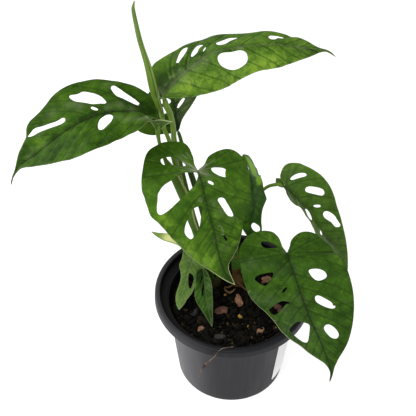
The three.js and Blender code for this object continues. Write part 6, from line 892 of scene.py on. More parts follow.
def make_leaf(name, L, veins, mat, spacing=1.05, relief=0.55, rib=1.0, wave=0.35, pale=0.15, scars=(), extra=None, hub=0.0, near_net=False, shift=((0, 0),), fade=None):
    O = np.array(L["outline"], float)
    tip = int(np.argmax(O[:, 0]))
    a = soften(even(O[: tip + 1], 0.95), 2)
    b = soften(even(np.vstack([O[tip:], O[:1]]), 0.95), 2)
    # the drip tip stays at least this wide, so that it doesn't fade out
    for c in (a, b):
        near = c[:, 0] > L["len"] - 9
        c[near, 1] = np.sign(c[near, 1] + 1e-9) * np.maximum(np.abs(c[near, 1]), 0.62 * np.clip((L["len"] - c[near, 0]) / 2.2, 0, 1))
    loop = np.vstack([a[:-1], b[:-1]])
    keep = [0]
    for i in range(1, len(loop)):
        if np.linalg.norm(loop[i] - loop[keep[-1]]) > 0.35:
            keep.append(i)
    loop = loop[keep]
    holes = []
    for h in L["holes"]:
        h = even(np.array(h, float), 0.9, closed=True)
        holes.append(soften(h, 1, True))
    rings = [loop] + holes
    # inner points on a slightly shaken triangular grid, with a row along the midrib
    lo, hi = loop.min(0), loop.max(0)
    r = np.random.RandomState(3)
    gs = np.arange(lo[0], hi[0], spacing)
    pts = []
    nq = int(max(-lo[1], hi[1]) / (spacing * 0.87)) + 2
    for j in range(-nq, nq + 1):
        off = 0.5 * spacing if j % 2 else 0.0
        row = np.c_[gs + off, np.full(len(gs), j * spacing * 0.87)]
        if j:
            row = row + (r.rand(len(row), 2) - 0.5) * 0.12 * spacing
        pts.append(row)
    pts = np.vstack(pts)
    A = np.vstack([x for x in rings])
    B = np.vstack([np.roll(x, -1, 0) for x in rings])
    ok = inside(pts, loop)
    for h in holes:
        ok &= ~inside(pts, h)
    pts = pts[ok]
    pts = pts[seg_dist(pts, A, B) > 0.5 * spacing]
    P = np.vstack(rings + [pts])
    edges, k = [], 0
    for x in rings:
        n = len(x)
        edges += [(k + i, k + (i + 1) % n) for i in range(n)]
        k += n
    nb = k
    v, e, f, ov, oe, of = geometry.delaunay_2d_cdt([Vector(p) for p in P], edges, [], 0, 1e-6)
    v = np.array([(p.x, p.y) for p in v])
    f = np.array([t for t in f if len(t) == 3])
    c = v[f].mean(1)
    ok = inside(c, loop)
    for h in holes:
        ok &= ~inside(c, h)
    f = f[ok]
    area = np.cross(v[f[:, 1]] - v[f[:, 0]], v[f[:, 2]] - v[f[:, 0]])
    f[area < 0] = f[area < 0][:, ::-1]
    f = f[np.abs(area) > 1e-7]
    used = np.unique(f)
    idx = -np.ones(len(v), int)
    idx[used] = np.arange(len(used))
    v, f = v[used], idx[f]
    # open edges of the sheet
    E = np.vstack([f[:, [0, 1]], f[:, [1, 2]], f[:, [2, 0]]])
    key = {}
    for x, y in E:
        key[(x, y)] = key.get((x, y), 0) + 1
    border = np.array([(x, y) for (x, y) in key if (y, x) not in key])
    s, q = v[:, 0], v[:, 1]
    vs = [np.array(t, float) for t in veins]
    vd = seg_dist(v, np.vstack([t[:-1] for t in vs]), np.vstack([t[1:] for t in vs]))
    if fade:
        # the side veins grow fainter towards the tip
        vd = vd + fade[2] * np.clip((s - fade[0]) / (fade[1] - fade[0]), 0, 1)
    sh = np.array(shift, float)
    md = np.abs(q - np.interp(s, sh[:, 0], sh[:, 1])) + np.maximum(0, -s) * 2.0
    ed = seg_dist(v, A, B)
    at, normal = leaf_surface(L)
    M, N = at(s, q), normal(s, q)
    ln, wd = L["len"], max(abs(lo[1]), hi[1])
    fade = smoothstep(0.0, 3.5, ed)
    d = np.minimum(vd, md * 1.0)
    height = relief * (1 - np.exp(-(d / 2.7) ** 2)) * fade
    height -= 0.30 * relief * np.exp(-(vd / 0.7) ** 2) * fade
    height -= 0.45 * np.exp(-(md / 1.1) ** 2) * smoothstep(-2, 4, s) * (1 - smoothstep(0.75 * ln, ln, s))
    height += wave * vnoise(v, 17, seed=len(name) + int(name[-1])) * smoothstep(0, 6, md)
    height += 0.5 * wave * vnoise(v, 7.5, seed=2) * smoothstep(0, 6, md)
    thick = 0.16 + 0.16 * smoothstep(0.0, 1.5, ed)
    taper = (1 - 0.75 * smoothstep(0.1 * ln, ln, s)) * smoothstep(-3, 1.0, s)
    under = thick + rib * 0.95 * np.exp(-(md / 0.95) ** 2) * taper * smoothstep(0.0, 1.2, ed)
    under += 0.28 * np.exp(-(vd / 0.55) ** 2) * (1 - smoothstep(0.3 * wd, wd, np.abs(q))) * fade
    top = M + N * (height + thick * 0.5)[:, None]
    bot = M + N * (height + thick * 0.5 - under)[:, None]
    n = len(v)
    V = np.vstack([top, bot])
    # the sheet's (s, q) plane turned over gives the upward side, tested on one face
    t = f[len(f) // 2]
    up = np.dot(np.cross(top[t[1]] - top[t[0]], top[t[2]] - top[t[0]]), N[t[0]]) > 0
    ft, fb = (f, f[:, ::-1]) if up else (f[:, ::-1], f)
    bo = border if up else border[:, ::-1]
    wall = np.vstack([np.c_[bo[:, 1], bo[:, 0], bo[:, 0] + n], np.c_[bo[:, 1], bo[:, 0] + n, bo[:, 1] + n]])
    F = np.vstack([ft, fb + n, wall])
    rim = np.zeros(2 * n, int)
    rim[np.unique(border)] = 1
    rim[np.unique(border) + n] = 2
    at2 = lambda x: np.r_[x, x]
    tone_and_painted_light, grey_and_sheen = patches(v, PATCHES[name]["tone_and_painted_light"]), np.clip(patches(v, PATCHES[name]["grey_and_sheen"]), 0, 0.85)
    scar = np.zeros(n)
    for (s0, q0, s1, q1, w, amp) in scars:
        scar = np.maximum(scar, amp * np.exp(-(seg_dist(v, np.array([[s0, q0]]), np.array([[s1, q1]])) / w) ** 2))
    pl = pale if np.ndim(pale) == 0 else np.clip(patches(v, pale), 0, 1)
    pl = pl * (seg_dist(v, loop, np.roll(loop, -1, 0)) < ed + 0.02)
    hb = hub * np.exp(-(np.hypot(s * 1.2, q * 0.8) / 13.0) ** 2)
    nw = 0.15 + 0.85 * smoothstep(-1.5, 2.5, q) if near_net else 1.0 + 0 * q
    at = {"vd": at2(vd), "md": at2(md), "ed": at2(ed), "under": np.r_[np.zeros(n), np.ones(n)], "tone_and_painted_light": at2(tone_and_painted_light), "grey_and_sheen": np.r_[grey_and_sheen, 0 * grey_and_sheen],
          "scar": np.r_[scar, 0 * scar], "pale": at2(pl + 0 * vd),
          "hub": np.r_[hb, 0 * hb], "netw": at2(nw)}
    UV = np.vstack([v, v + [0.3, 0.7]]) / 100.0
    if extra is not None:
        k, XV, XF, XA, XU = len(V), *extra
        V, F, UV, rim = np.vstack([V, XV]), np.vstack([F, XF + k]), np.vstack([UV, XU]), np.r_[rim, np.zeros(len(XV), int)]
        at = {c: np.r_[d, XA.get(c, np.zeros(len(XV)))] for c, d in at.items()}
    return build(name + "_blade", V, F, mat, node=name, rim=rim, attrs=at, uv=UV)


# ------------------------------------------------------------------ stalks
def sweep(rows, step, around, shape=None, start=(0.3, -1, 0.2), twist=0.0, round_ends=True):
    """A closed tube along rows of x, y, z, radius. shape(angle, share of length) scales the radius."""
    C = even(np.array(rows, float), step)
    P, R = C[:, :3], C[:, 3]
    R2 = C[:, 4] if C.shape[1] > 4 else None
    T = unit(np.gradient(P, axis=0))
    n = len(P)
    U = np.zeros((n, 3))
    u = np.array(start, float)
    for i in range(n):
        if R2 is not None:
            u = np.array(start, float)
        u = u - T[i] * np.dot(u, T[i])
        u = u / np.linalg.norm(u)
        U[i] = u
    W = np.cross(T, U)
    if R2 is not None:                    # oval: column 4 is half the thickness, along the start direction
        U = U * (R2 / R)[:, None]
    th = np.linspace(0, 2 * np.pi, around, endpoint=False)
    f = np.linspace(0, 1, n)
    A = th[None, :] + (twist * f)[:, None]
    sc = np.ones((n, around)) if shape is None else shape(np.broadcast_to(th, (n, around)), f[:, None] + 0 * th)
    r = R[:, None] * sc
    V = P[:, None, :] + r[..., None] * (np.cos(A)[..., None] * U[:, None, :] + np.sin(A)[..., None] * W[:, None, :])
    V = V.reshape(-1, 3)
    F = []
    for i in range(n - 1):
        for j in range(around):
            k = (j + 1) % around
            F.append((i * around + j, i * around + k, (i + 1) * around + k, (i + 1) * around + j))
    F = np.array(F)
    F = np.vstack([F[:, [0, 1, 2]], F[:, [0, 2, 3]]])
    # domed ends
    caps, add, ang, shr = [], [], [], []
    base = len(V)
    for end, sgn in ((0, -1), (n - 1, 1)):
        ring0 = end * around + np.arange(around)
        c = P[end]
        prev = ring0
        levels = (0.35, 0.7) if round_ends else ()
        for lv in levels:
            ring = base + len(add) + np.arange(around)
            rr = math.sqrt(1 - lv * lv)
            for j in range(around):
                add.append(c + (V[ring0[j]] - c) * rr + sgn * T[end] * R[end] * lv * 0.6)
                ang.append(th[j])
                shr.append(f[end])
            for j in range(around):
                k = (j + 1) % around
                if sgn < 0:
                    caps += [(prev[j], ring[k], prev[k]), (prev[j], ring[j], ring[k])]
                else:
                    caps += [(prev[j], prev[k], ring[k]), (prev[j], ring[k], ring[j])]
            prev = ring
        tip = base + len(add)
        add.append(c + sgn * T[end] * R[end] * (0.6 if round_ends else 0.0))
        ang.append(0)
        shr.append(f[end])
        for j in range(around):
            k = (j + 1) % around
            caps.append((prev[j], tip, prev[k]) if sgn < 0 else (prev[j], prev[k], tip))
    V = np.vstack([V, np.array(add)])
    F = np.vstack([F, np.array(caps)])
    angle = np.r_[np.broadcast_to(th, (n, around)).ravel(), ang]
    share = np.r_[np.repeat(f, around), shr]
    vol = np.sum(np.einsum("ij,ij->i", V[F[:, 0]], np.cross(V[F[:, 1]], V[F[:, 2]])))
    if vol < 0:
        F = F[:, ::-1]
    return V, F, angle, share


def wrap(a):
    return (a + np.pi) % (2 * np.pi) - np.pi


def stalk_shape(groove, upto):
    def f(th, s):
        a = np.abs(wrap(th - groove))
        on = smoothstep(1 - upto - 0.06, 1 - upto + 0.08, s)      # s runs from the blade down to the base
        g = 1 - 0.30 * on * np.exp(-(a / 0.42) ** 2) + 0.13 * on * np.exp(-((a - 0.80) / 0.20) ** 2)
        knee = 1 + 0.12 * np.exp(-((s - 0.045) / 0.045) ** 2)
        return g * knee
    return f


def stalk_material(name, low, high, pale, gloss=0.4):
    m = Mat(name, rough=gloss, spec=0.16)
    m.b.inputs["Subsurface Weight"].default_value = 0.08
    m.b.inputs["Subsurface Radius"].default_value = (0.001, 0.0015, 0.0005)
    m.b.inputs["Subsurface Scale"].default_value = 1.0
    o = m.obj()
    fleck = m.noise(m.scaled(o, (1, 1, 0.25)), 900, 4, 0.6)
    broad = m.noise(o, 60, 3, 0.5)
    c = m.mix(m.remap(m.attr("share"), 0.0, 1.0, smooth=False), high, low)
    c = m.mix(m.remap(broad, 0.35, 0.65, 0.0, 0.35), c, (low[0] * 0.6, low[1] * 0.7, low[2] * 0.6))
    c = m.mix(m.remap(fleck, 0.55, 0.75, 0.0, 0.4), c, (high[0] * 1.35, high[1] * 1.25, high[2] * 1.4))
    # cream sheath edges, and on the wide sheath a painted highlight along its left side
    c = m.mix(m.attr("wing_and_highlight"), c, pale)
    m.color(c)
    m.rough(m.remap(fleck, 0.3, 0.7, gloss - 0.06, gloss + 0.14))
    m.bump(fleck, 0.25, 0.0002)
    return m.m


def make_stalk(name, rows, mat, groove=1.2, upto=0.62, around=26, step=1.6, start=(0.3, -1, 0.2), wing_and_highlight=0.75):
    V, F, a, s = sweep(rows, step, around, stalk_shape(groove, upto), start)
    x = np.abs(wrap(a - groove))
    on = smoothstep(1 - upto - 0.06, 1 - upto + 0.08, s)
    w = wing_and_highlight * on * np.exp(-((x - 0.80) / 0.17) ** 2)
    if name == "petiole_2":               # remnant of a sheath edge on the left, cream
        z = V[:, 2]
        k = np.argmin(np.linalg.norm(V[:, None] - even(np.array(rows, float), 1.0)[None, :, :3], axis=2), 1)
        C = even(np.array(rows, float), 1.0)[k]
        w = np.maximum(w, 0.8 * np.exp(-(((V[:, 0] - C[:, 0]) / C[:, 3] + 0.9) / 0.22) ** 2) * np.exp(-((z - 232) / 9.0) ** 2))
    if len(rows[0]) > 4:                  # wide sheath: cream free edge on the right, and a painted highlight as a lighter edge on the left
        k = np.argmin(np.linalg.norm(V[:, None] - even(np.array(rows, float), 1.0)[None, :, :3], axis=2), 1)
        C = even(np.array(rows, float), 1.0)[k]
        X = (V[:, 0] - C[:, 0]) / np.maximum(C[:, 3], 1.2)
        wide = smoothstep(2.2, 3.4, C[:, 3])
        w = np.clip(wide * (1.0 * np.exp(-((X - 0.78) / 0.13) ** 2) + 0.35 * smoothstep(-0.72, -0.92, X)), 0, 1)
    return build(name + "_stalk", V, F, mat, node=name, attrs={"share": s, "wing_and_highlight": w})


# ------------------------------------------------------------------ camera first
cam_data = bpy.data.cameras.new("camera")
cam_data.sensor_width = 36.0
cam_data.lens = 850.0 / 416.0 * 36.0
cam_data.clip_start, cam_data.clip_end = 0.05, 20.0
cam = bpy.data.objects.new("camera", cam_data)
bpy.context.scene.collection.objects.link(cam)
cam.location = (-0.02045, -0.4663, 0.638)
cam.rotation_euler = (math.radians(90 - 43.9), 0, 0)
bpy.context.scene.camera = cam
bpy.context.scene.view_settings.view_transform = "Standard"
bpy.context.scene.view_settings.look = "None"

# ------------------------------------------------------------------ leaf pieces
LEAF_LOOK = {
    # four greens from shade to light, underside, midrib (sRGB; the darker midribs are painted shade in the groove),
    # then net, side veins, panels, midrib strength
    "leaf_1": ((40, 64, 20), (60, 92, 28), (78, 112, 38), (112, 146, 52), (84, 108, 62), (30, 40, 18), 0.24, 0.24, 0.06, 0.6, 0.03),
    "leaf_2": ((50, 78, 26), (74, 108, 36), (96, 132, 46), (136, 168, 62), (92, 116, 70), (120, 124, 92), 0.45, 0.4, 0.08, 0.35),
    "leaf_3": ((30, 46, 18), (46, 70, 26), (70, 96, 38), (100, 130, 52), (66, 88, 50), (30, 42, 20), 0.15, 0.5, 0.08, 0.6),
    "leaf_4": ((46, 76, 18), (60, 94, 24), (76, 114, 32), (116, 154, 52), (88, 112, 62), (34, 54, 20), 0.22, 0.29, 0.08, 0.7),
    "leaf_5": ((38, 64, 14), (50, 82, 20), (74, 110, 28), (150, 182, 54), (44, 68, 22), (40, 62, 22), 0.1, 0.06, 0.08, 0.25),
    "leaf_6": ((44, 66, 20), (60, 88, 30), (70, 102, 38), (92, 124, 50), (78, 102, 60), (84, 104, 62), 0.15, 0.26, 0.08, 0.35),
    "leaf_7": ((38, 62, 18), (52, 82, 24), (66, 100, 32), (102, 138, 48), (86, 110, 62), (26, 44, 16), 0.2, 0.26, 0.08, 0.75),
    "leaf_8": ((62, 90, 34), (84, 114, 50), (98, 128, 62), (122, 150, 80), (100, 126, 78), (122, 144, 92), 0.15, 0.2, 0.08, 0.4),
    "leaf_9": ((26, 50, 10), (44, 76, 20), (66, 98, 40), (96, 124, 70), (84, 108, 62), (88, 112, 58), 0.12, 0.25, 0.08, 0.45),
}
SHADE = {"leaf_1": (0.70, 0.76, 0.46), "leaf_2": (0.83, 0.85, 0.72), "leaf_3": (0.80, 0.87, 0.54), "leaf_4": (0.84, 0.86, 0.66), "leaf_5": (0.76, 0.87, 0.50),
         "leaf_6": (0.86, 0.88, 0.70), "leaf_7": (0.82, 0.86, 0.64), "leaf_8": (0.92, 0.93, 0.86), "leaf_9": (0.93, 0.97, 0.78)}
RELIEF = {"leaf_1": 0.62, "leaf_2": 0.6, "leaf_4": 0.5, "leaf_7": 0.5}
PALE = {"leaf_1": 0.12, "leaf_2": 0.12, "leaf_3": 0.05, "leaf_4": [(100, -5, 22, 1.0), (85, -20, 16, .5), (105, 12, 14, .7), (60, 30, 20, .25)], "leaf_5": 0.2,
        "leaf_6": 0.1, "leaf_7": [(60, 42, 16, .7), (85, 30, 20, .7), (40, 50, 14, .6)], "leaf_8": 0.2, "leaf_9": 0.1}
RING = [(23.0 + 1.35 * math.cos(t), 4.2 + 1.35 * math.sin(t)) for t in np.linspace(0, 2 * math.pi, 9)]
SCARS = {"leaf_4": [(-15.0, 7.8, -11.4, 5.0, .34, .42), (-16.6, 4.2, -9.8, 2.2, .3, .3)]
         + [(0.4, 0, x, y, .34, a) for x, y, a in ((-9.8, 9.0, .42), (-6.6, 5.0, .42), (-16, 13.4, .2), (-5.0, -9.4, .32), (-7.8, -17.4, .25), (5.4, -5.4, .32), (8.2, -11.4, .2), (-1.8, 5.8, .36), (-3.0, 13.4, .2))]
         + [(*RING[i], *RING[i + 1], .3, .3) for i in range(8)]
         + [(45.8, -3.8, 46.2, -5.8, .35, .36), (46.2, -5.8, 51.4, -7.2, .35, .4), (51.4, -7.2, 54.2, -5.6, .35, .3)],
         "leaf_7": [(20, 36, 22, 38, .6, .3), (58, 30, 60, 34, .5, .3)], "leaf_1": [(16, -12, 15, -15, .8, .8), (3, -8, 5, -9, .6, .8)],
         "leaf_2": [(8.5, -3.2, 10, -2.8, .7, .2), (15, -3.4, 17.4, -2.8, .8, .24), (22.5, -2.8, 24, -2.6, .6, .2), (4.5, -5, 5.5, -5.4, .6, .16)]}
SHIFT = {"leaf_2": ((-5, 0.5), (3.4, -0.6), (9.8, 0.9), (23, 1.4), (35, 0.5), (50, 0))}
# further patches: on leaf_5 painted light on its lit lobe and on the part seen through a hole of leaf_4, on leaf_1
# darker and lighter patches near the tip, on leaf_2 painted shade along the far side of the midrib with lighter patches
# on the near half, and on leaf_6 painted light on its shaded folded half
for nm, more in {"leaf_5": [(-4, -18, 7, -0.22), (-13, -13, 7, -0.05), (13, -18, 8, 0.55), (-0.5, -7, 3.5, 0.4), (-2, 22, 5, 2.2)],
                 "leaf_1": [(72, -18, 12, -0.3), (92, -19, 9, -0.25), (86, -14, 8, -0.3), (110, 1, 9, -0.2), (98, 5, 7, 0.35), (97, -6, 5, 0.35), (78, 31, 8, -0.2), (60, -5, 8, 0.15)],
                 "leaf_2": [(2, -5, 5, -0.5), (11, -4.5, 5, -0.7), (21, -4.5, 5, -0.65), (31, -5, 5, -0.5), (42, -5, 5, -0.35), (7, 8, 6, 0.45), (20, 9, 8, 0.4), (34, 8, 7, 0.2)],
                 "leaf_6": [(8, 15, 8, 0.9), (20, 14, 8, 1.0), (33, 12, 8, 1.1), (46, 12, 8, 1.2), (60, 12, 9, 1.2), (74, 10, 9, 1.2), (88, 8, 9, 1.0)]}.items():
    PATCHES[nm]["tone_and_painted_light"] = list(PATCHES[nm]["tone_and_painted_light"]) + more

# underside of the base of leaf_1, a thin web that runs down into its stalk
def fan():
    top = np.array([[-64.1, 12.6, 262.0], [-60.6, 22.5, 255.6], [-58.2, 26.6, 253.2], [-55.2, 28.2, 252.1], [-52.0, 29.3, 250.8], [-49.0, 29.7, 249.8], [-45.6, 30.0, 249.0]])
    low = np.array(STALKS["petiole_1"], float)[1, :3]
    n, rows = 25, 15
    A = even(top, np.linalg.norm(np.diff(top, axis=0), axis=1).sum() / (n - 1))
    n = len(A)
    f = np.linspace(0, 1, n)
    B = low + np.array([1.0, 0, 0])[None] * (f[:, None] - 0.5) * 3.0 + np.array([0, 0, -1.2])
    P = []
    for i in range(rows):
        t = i / (rows - 1)
        w = t ** 0.62
        c = A * (1 - w) + B * w
        c[:, 2] = A[:, 2] * (1 - t) + B[:, 2] * t
        c = c + np.array([0, -0.72, 0.69]) * (-1.6 * math.sin(math.pi * t) * (1 - (2 * f - 1) ** 2))[:, None]
        P.append(c)
    P = np.array(P)
    N = unit(np.cross(np.gradient(P, axis=1), np.gradient(P, axis=0)))
    V = np.vstack([(P + 0.16 * N).reshape(-1, 3), (P - 0.16 * N).reshape(-1, 3)])
    k = rows * n
    F = []
    for i in range(rows - 1):
        for j in range(n - 1):
            a, b, c, d = i * n + j, i * n + j + 1, (i + 1) * n + j + 1, (i + 1) * n + j
            F += [(a, b, c), (a, c, d), (k + a, k + c, k + b), (k + a, k + d, k + c)]
    ring = [j for j in range(n)] + [i * n + n - 1 for i in range(1, rows)] + [(rows - 1) * n + j for j in range(n - 2, -1, -1)] + [i * n for i in range(rows - 2, 0, -1)]
    for a, b in zip(ring, ring[1:] + ring[:1]):
        F += [(b, a, k + a), (b, k + a, k + b)]
    F = np.array(F)
    if np.sum(np.einsum("ij,ij->i", V[F[:, 0]], np.cross(V[F[:, 1]], V[F[:, 2]]))) < 0:
        F = F[:, ::-1]
    ed = np.tile(np.minimum(np.arange(rows)[:, None] * 0.7, np.minimum(np.arange(n), n - 1 - np.arange(n))[None] * 0.8).ravel(), 2)
    one = np.ones(len(V))
    return V, F, {"under": one, "md": 9 * one, "vd": 6 * one, "ed": ed, "pale": 0.55 * one}, V[:, :2] / 100.0


# curled basal lobe of leaf_6, next to its joint
EAR = [[34.6, 45.0, 179.1, 0.5, 0.3], [35.8, 44.0, 178.3, 2.2, 0.6], [37.3, 42.5, 177.3, 3.0, 0.8], [38.8, 41.1, 176.2, 2.7, 0.9], [40.4, 39.7, 175.0, 1.2, 0.8]]
V6, F6, _, s6 = sweep(EAR, 0.6, 22, lambda th, s: 1 + 0.06 * np.cos(2 * th + 5 * s), (0, -0.72, 0.69))
one6 = np.ones(len(V6))
ear = (V6, F6, {"vd": 3 * one6, "md": 9 * one6, "ed": 2.2 * (1 - np.abs(2 * s6 - 1)), "netw": one6, "tone_and_painted_light": 0.1 * one6}, V6[:, :2] / 100.0)

# the lower margin of leaf_4 swells a little where it covers leaf_5, and one hole of leaf_7 stays clear of the rim behind it
def nudge(pts, s0, q0, r, ds, dq):
    out = np.array(pts, float)
    w = np.exp(-((out[:, 0] - s0) ** 2 + (out[:, 1] - q0) ** 2) / (r * r))
    return out + w[:, None] * np.array([[ds, dq]])


LEAVES["leaf_4"]["outline"] = nudge(LEAVES["leaf_4"]["outline"], 0.0, -43.5, 9.0, 0.0, -1.3)
LEAVES["leaf_7"]["holes"][0] = nudge(LEAVES["leaf_7"]["holes"][0], -12.8, 10.0, 2.6, 1.2, 0.5)

for nm, L in LEAVES.items():
    lk = LEAF_LOOK[nm]
    mt = leaf_material(nm + "_green", [srgb(*(np.array(c) * SHADE[nm])) for c in lk[:4]], srgb(*(np.array(lk[4]) * (0.84, 0.88, 0.74))), srgb(*(np.array(lk[5]) * 0.86)), *lk[6:])
    small = nm in ("leaf_8", "leaf_9", "leaf_5")
    make_leaf(nm, L, VEINS[nm], mt, spacing=0.8, relief=0.12 if small else RELIEF.get(nm, 0.42),
              rib=0.6 if small else 1.0, wave=0.15 if small else 0.5, pale=PALE[nm], scars=SCARS.get(nm, ()), hub={"leaf_4": 0.55, "leaf_2": 0.3, "leaf_1": 0.3}.get(nm, 0.0),
              near_net=nm == "leaf_2", fade={"leaf_4": (58, 88, 0.42), "leaf_1": (50, 100, 0.22)}.get(nm), shift=SHIFT.get(nm, ((0, 0),)), extra=fan() if nm == "leaf_1" else ear if nm == "leaf_6" else None)

# ------------------------------------------------------------------ stalks
STALK_LOOK = {
    # groove angle, share that is grooved, frame start, greens low and high, wing colour
    "petiole_1": (1.57, 0.5, (0, -0.72, 0.69), 0),
    "petiole_2": (0.5, 0.8, (-0.6, -1, 0.3), 1),
    "petiole_3": (2.9, 0.9, (0, -1, 0.3), 2),
    "petiole_4": (2.6, 0.45, (0.3, -1, 0.3), 1),
    "petiole_5": (1.2, 0.5, (0.3, -1, 0.2), 1),
    "petiole_6": (1.6, 0.5, (-0.3, -1, 0.4), 1),
    "petiole_7": (0.4, 0.55, (0.2, -0.4, 1), 1),
    "petiole_8": (1.0, 0.5, (0.3, -1, 0.4), 1),
    "petiole_9": (1.0, 0.5, (0.3, -1, 0.4), 1),
}
stalk_mats = [stalk_material("stalk_green_a", srgb(58, 92, 22), srgb(96, 130, 42), srgb(196, 202, 132)),
              stalk_material("stalk_green_b", srgb(64, 92, 24), srgb(108, 136, 50), srgb(150, 172, 84)),
              stalk_material("stalk_green_c", srgb(42, 72, 18), srgb(64, 96, 28), srgb(214, 212, 150))]
for nm, (gr, up, st, mi) in STALK_LOOK.items():
    make_stalk(nm, STALKS[nm], stalk_mats[mi], groove=gr, upto=up, start=st)

# rolled young leaf on its stalk: the blade wraps round itself, so its section steps out at the free edge
roll = np.array(STALKS["new_leaf_roll"], float)


def roll_shape(th, s):
    t = (th % (2 * np.pi)) / (2 * np.pi)
    on = 1 - smoothstep(0.34, 0.42, s)
    lip = 0.20 * t + 0.10 * np.exp(-((t - 0.985) / 0.03) ** 2)
    ribs = 0.02 * np.sin(9 * th)
    stalk = 1 - 0.16 * np.exp(-(wrap(th - 1.4) / 0.5) ** 2)
    return on * (0.86 + lip + ribs) + (1 - on) * stalk


V, F, a, s = sweep(roll, 1.4, 44, roll_shape, (1, -0.35, 0.1), twist=2.1)
m = Mat("rolled_leaf", rough=0.45, spec=0.2)
m.b.inputs["Subsurface Weight"].default_value = 0.08
m.b.inputs["Subsurface Radius"].default_value = (0.001, 0.0015, 0.0005)
o = m.obj()
c = m.mix(m.remap(m.attr("share"), 0.02, 0.40), srgb(98, 122, 54), srgb(104, 136, 40))
c = m.mix(m.remap(m.noise(m.scaled(o, (1, 1, 0.2)), 700, 3), 0.5, 0.72, 0.0, 0.4), c, srgb(118, 150, 70))
c = m.mix(m.remap(m.noise(m.scaled(o, (1, 1, 0.1)), 260, 3), 0.5, 0.7, 0.0, 0.35), c, srgb(58, 92, 26))
# painted shade along the seam under the overlapping free edge
c = m.mix(m.attr("seam_shade"), c, srgb(44, 76, 22))
c = m.mix(m.attr("lip"), c, srgb(150, 176, 92))
m.color(c)
m.bump(m.noise(m.scaled(o, (1, 1, 0.15)), 1200, 3), 0.25, 0.0002)
t = (a % (2 * np.pi)) / (2 * np.pi)
on = 1 - smoothstep(0.34, 0.42, s)
build("new_leaf_roll_leaf", V, F, m.m, node="new_leaf_roll",
      attrs={"share": s, "seam_shade": on * np.exp(-(t / 0.045) ** 2) * 0.75, "lip": on * np.exp(-((t - 0.96) / 0.03) ** 2) * 0.8})

# pale sheath leaf
S = np.array(SHEATH, float)
C = even(S, 0.9)
n, around = len(C), 36
P, W0, T0 = C[:, :3], C[:, 3], C[:, 4]
T = unit(np.gradient(P, axis=0))
Un = np.array([0.1, -0.45, 0.89])
U = unit(Un - T * (T @ Un)[:, None])
W = np.cross(T, U)
th = np.linspace(0, 2 * np.pi, around, endpoint=False)
keel = 0.35 * np.exp(-(np.cos(th) / 0.16) ** 2) * (np.sin(th) < 0)
ca, sa = np.cos(th), np.sin(th)
X = np.sign(ca) * np.abs(ca) ** 0.9
V = P[:, None] + (W0[:, None] * X)[..., None] * W[:, None] + (T0[:, None] * (sa * 0.8 + 0.35 * X ** 2 - keel))[..., None] * U[:, None]
V = V.reshape(-1, 3)
F = [(i * around + j, i * around + (j + 1) % around, (i + 1) * around + (j + 1) % around, (i + 1) * around + j) for i in range(n - 1) for j in range(around)]
F = np.array(F)
F = np.vstack([F[:, [0, 1, 2]], F[:, [0, 2, 3]]])
V = np.vstack([V, P[:1] - T[:1] * 0.3, P[-1:] + T[-1:] * 0.5])
k0, k1 = n * around, n * around + 1
F = np.vstack([F, [(k0, (j + 1) % around, j) for j in range(around)], [(k1, (n - 1) * around + j, (n - 1) * around + (j + 1) % around) for j in range(around)]])
if np.sum(np.einsum("ij,ij->i", V[F[:, 0]], np.cross(V[F[:, 1]], V[F[:, 2]]))) < 0:
    F = F[:, ::-1]
m = Mat("sheath_pale", rough=0.5, spec=0.2)
m.b.inputs["Subsurface Weight"].default_value = 0.15
m.b.inputs["Subsurface Radius"].default_value = (0.0015, 0.0018, 0.0006)
o = m.obj()
c = m.mix(m.remap(m.attr("share"), 0.25, 0.6), srgb(96, 130, 50), srgb(214, 214, 140))
c = m.mix(m.remap(m.noise(m.scaled(o, (0.3, 1, 1)), 700, 4), 0.45, 0.7, 0.0, 0.45), c, srgb(228, 226, 168))
c = m.mix(m.remap(m.math("ADD", m.math("ABSOLUTE", m.attr("across")), m.math("MULTIPLY", m.noise(o, 500, 3), 0.2)), 0.72, 1.0, 0.0, 0.85), c, srgb(96, 140, 44))
c = m.mix(m.remap(m.attr("share"), 0.74, 0.90, 0.0, 0.85), c, srgb(92, 138, 42))
c = m.mix(m.remap(m.attr("share"), 0.965, 1.0, 0.0, 0.7), c, srgb(120, 92, 52))
m.color(c)
m.bump(m.noise(m.scaled(o, (0.2, 1, 1)), 900, 3), 0.3, 0.0002)
sh = np.r_[np.repeat(np.linspace(0, 1, n), around), 0, 1]
build("sheath_leaf_scale", V, F, m.m, node="sheath_leaf", attrs={"share": sh, "across": np.r_[np.tile(np.cos(th), n), 0, 0]})


# ------------------------------------------------------------------ stem bases
def stump(name, node, rows, cols, rings=6, seed=1, rim=None, waist=0.0):
    def shape(th, s):
        f = 1 + 0.035 * np.sin(s * rings * 2 * np.pi + 0.6 * np.sin(th * 2 + seed)) + 0.03 * np.sin(3 * th + seed) + 0.02 * np.sin(7 * th + 11 * s)
        f = f * (1 - waist * np.exp(-((s - 0.62) / 0.1) ** 2) * (0.55 + 0.45 * np.cos(th)))
        return f * 0.97
    V, F, a, s = sweep(rows, 0.7, 48, shape, (1, 0, 0.1))
    V = V + 0.18 * unit(V - np.array([V[:, 0].mean(), V[:, 1].mean(), 0])[None] * [1, 1, 0])[:, :3] * vnoise(V, 1.6, seed)[:, None]
    m = Mat(name + "_skin", rough=0.6, spec=0.12)
    o = m.obj()
    c = m.mix(m.remap(m.attr("share"), *cols[3]), srgb(*cols[0]), srgb(*cols[1]))
    c = m.mix(m.remap(m.noise(m.scaled(o, (1, 1, 2.5)), 420, 4, 0.6), 0.45, 0.7, 0.0, 0.75), c, srgb(*cols[2]))
    if rim:
        c = m.mix(m.remap(m.attr("share"), rim[0], rim[1], 0.0, 0.85), c, srgb(*rim[2]))
    m.color(c)
    m.bump(m.noise(m.scaled(o, (1, 1, 3)), 900, 4), 0.6, 0.0004)
    return build(name, V, F, m.m, node=node, attrs={"share": s})


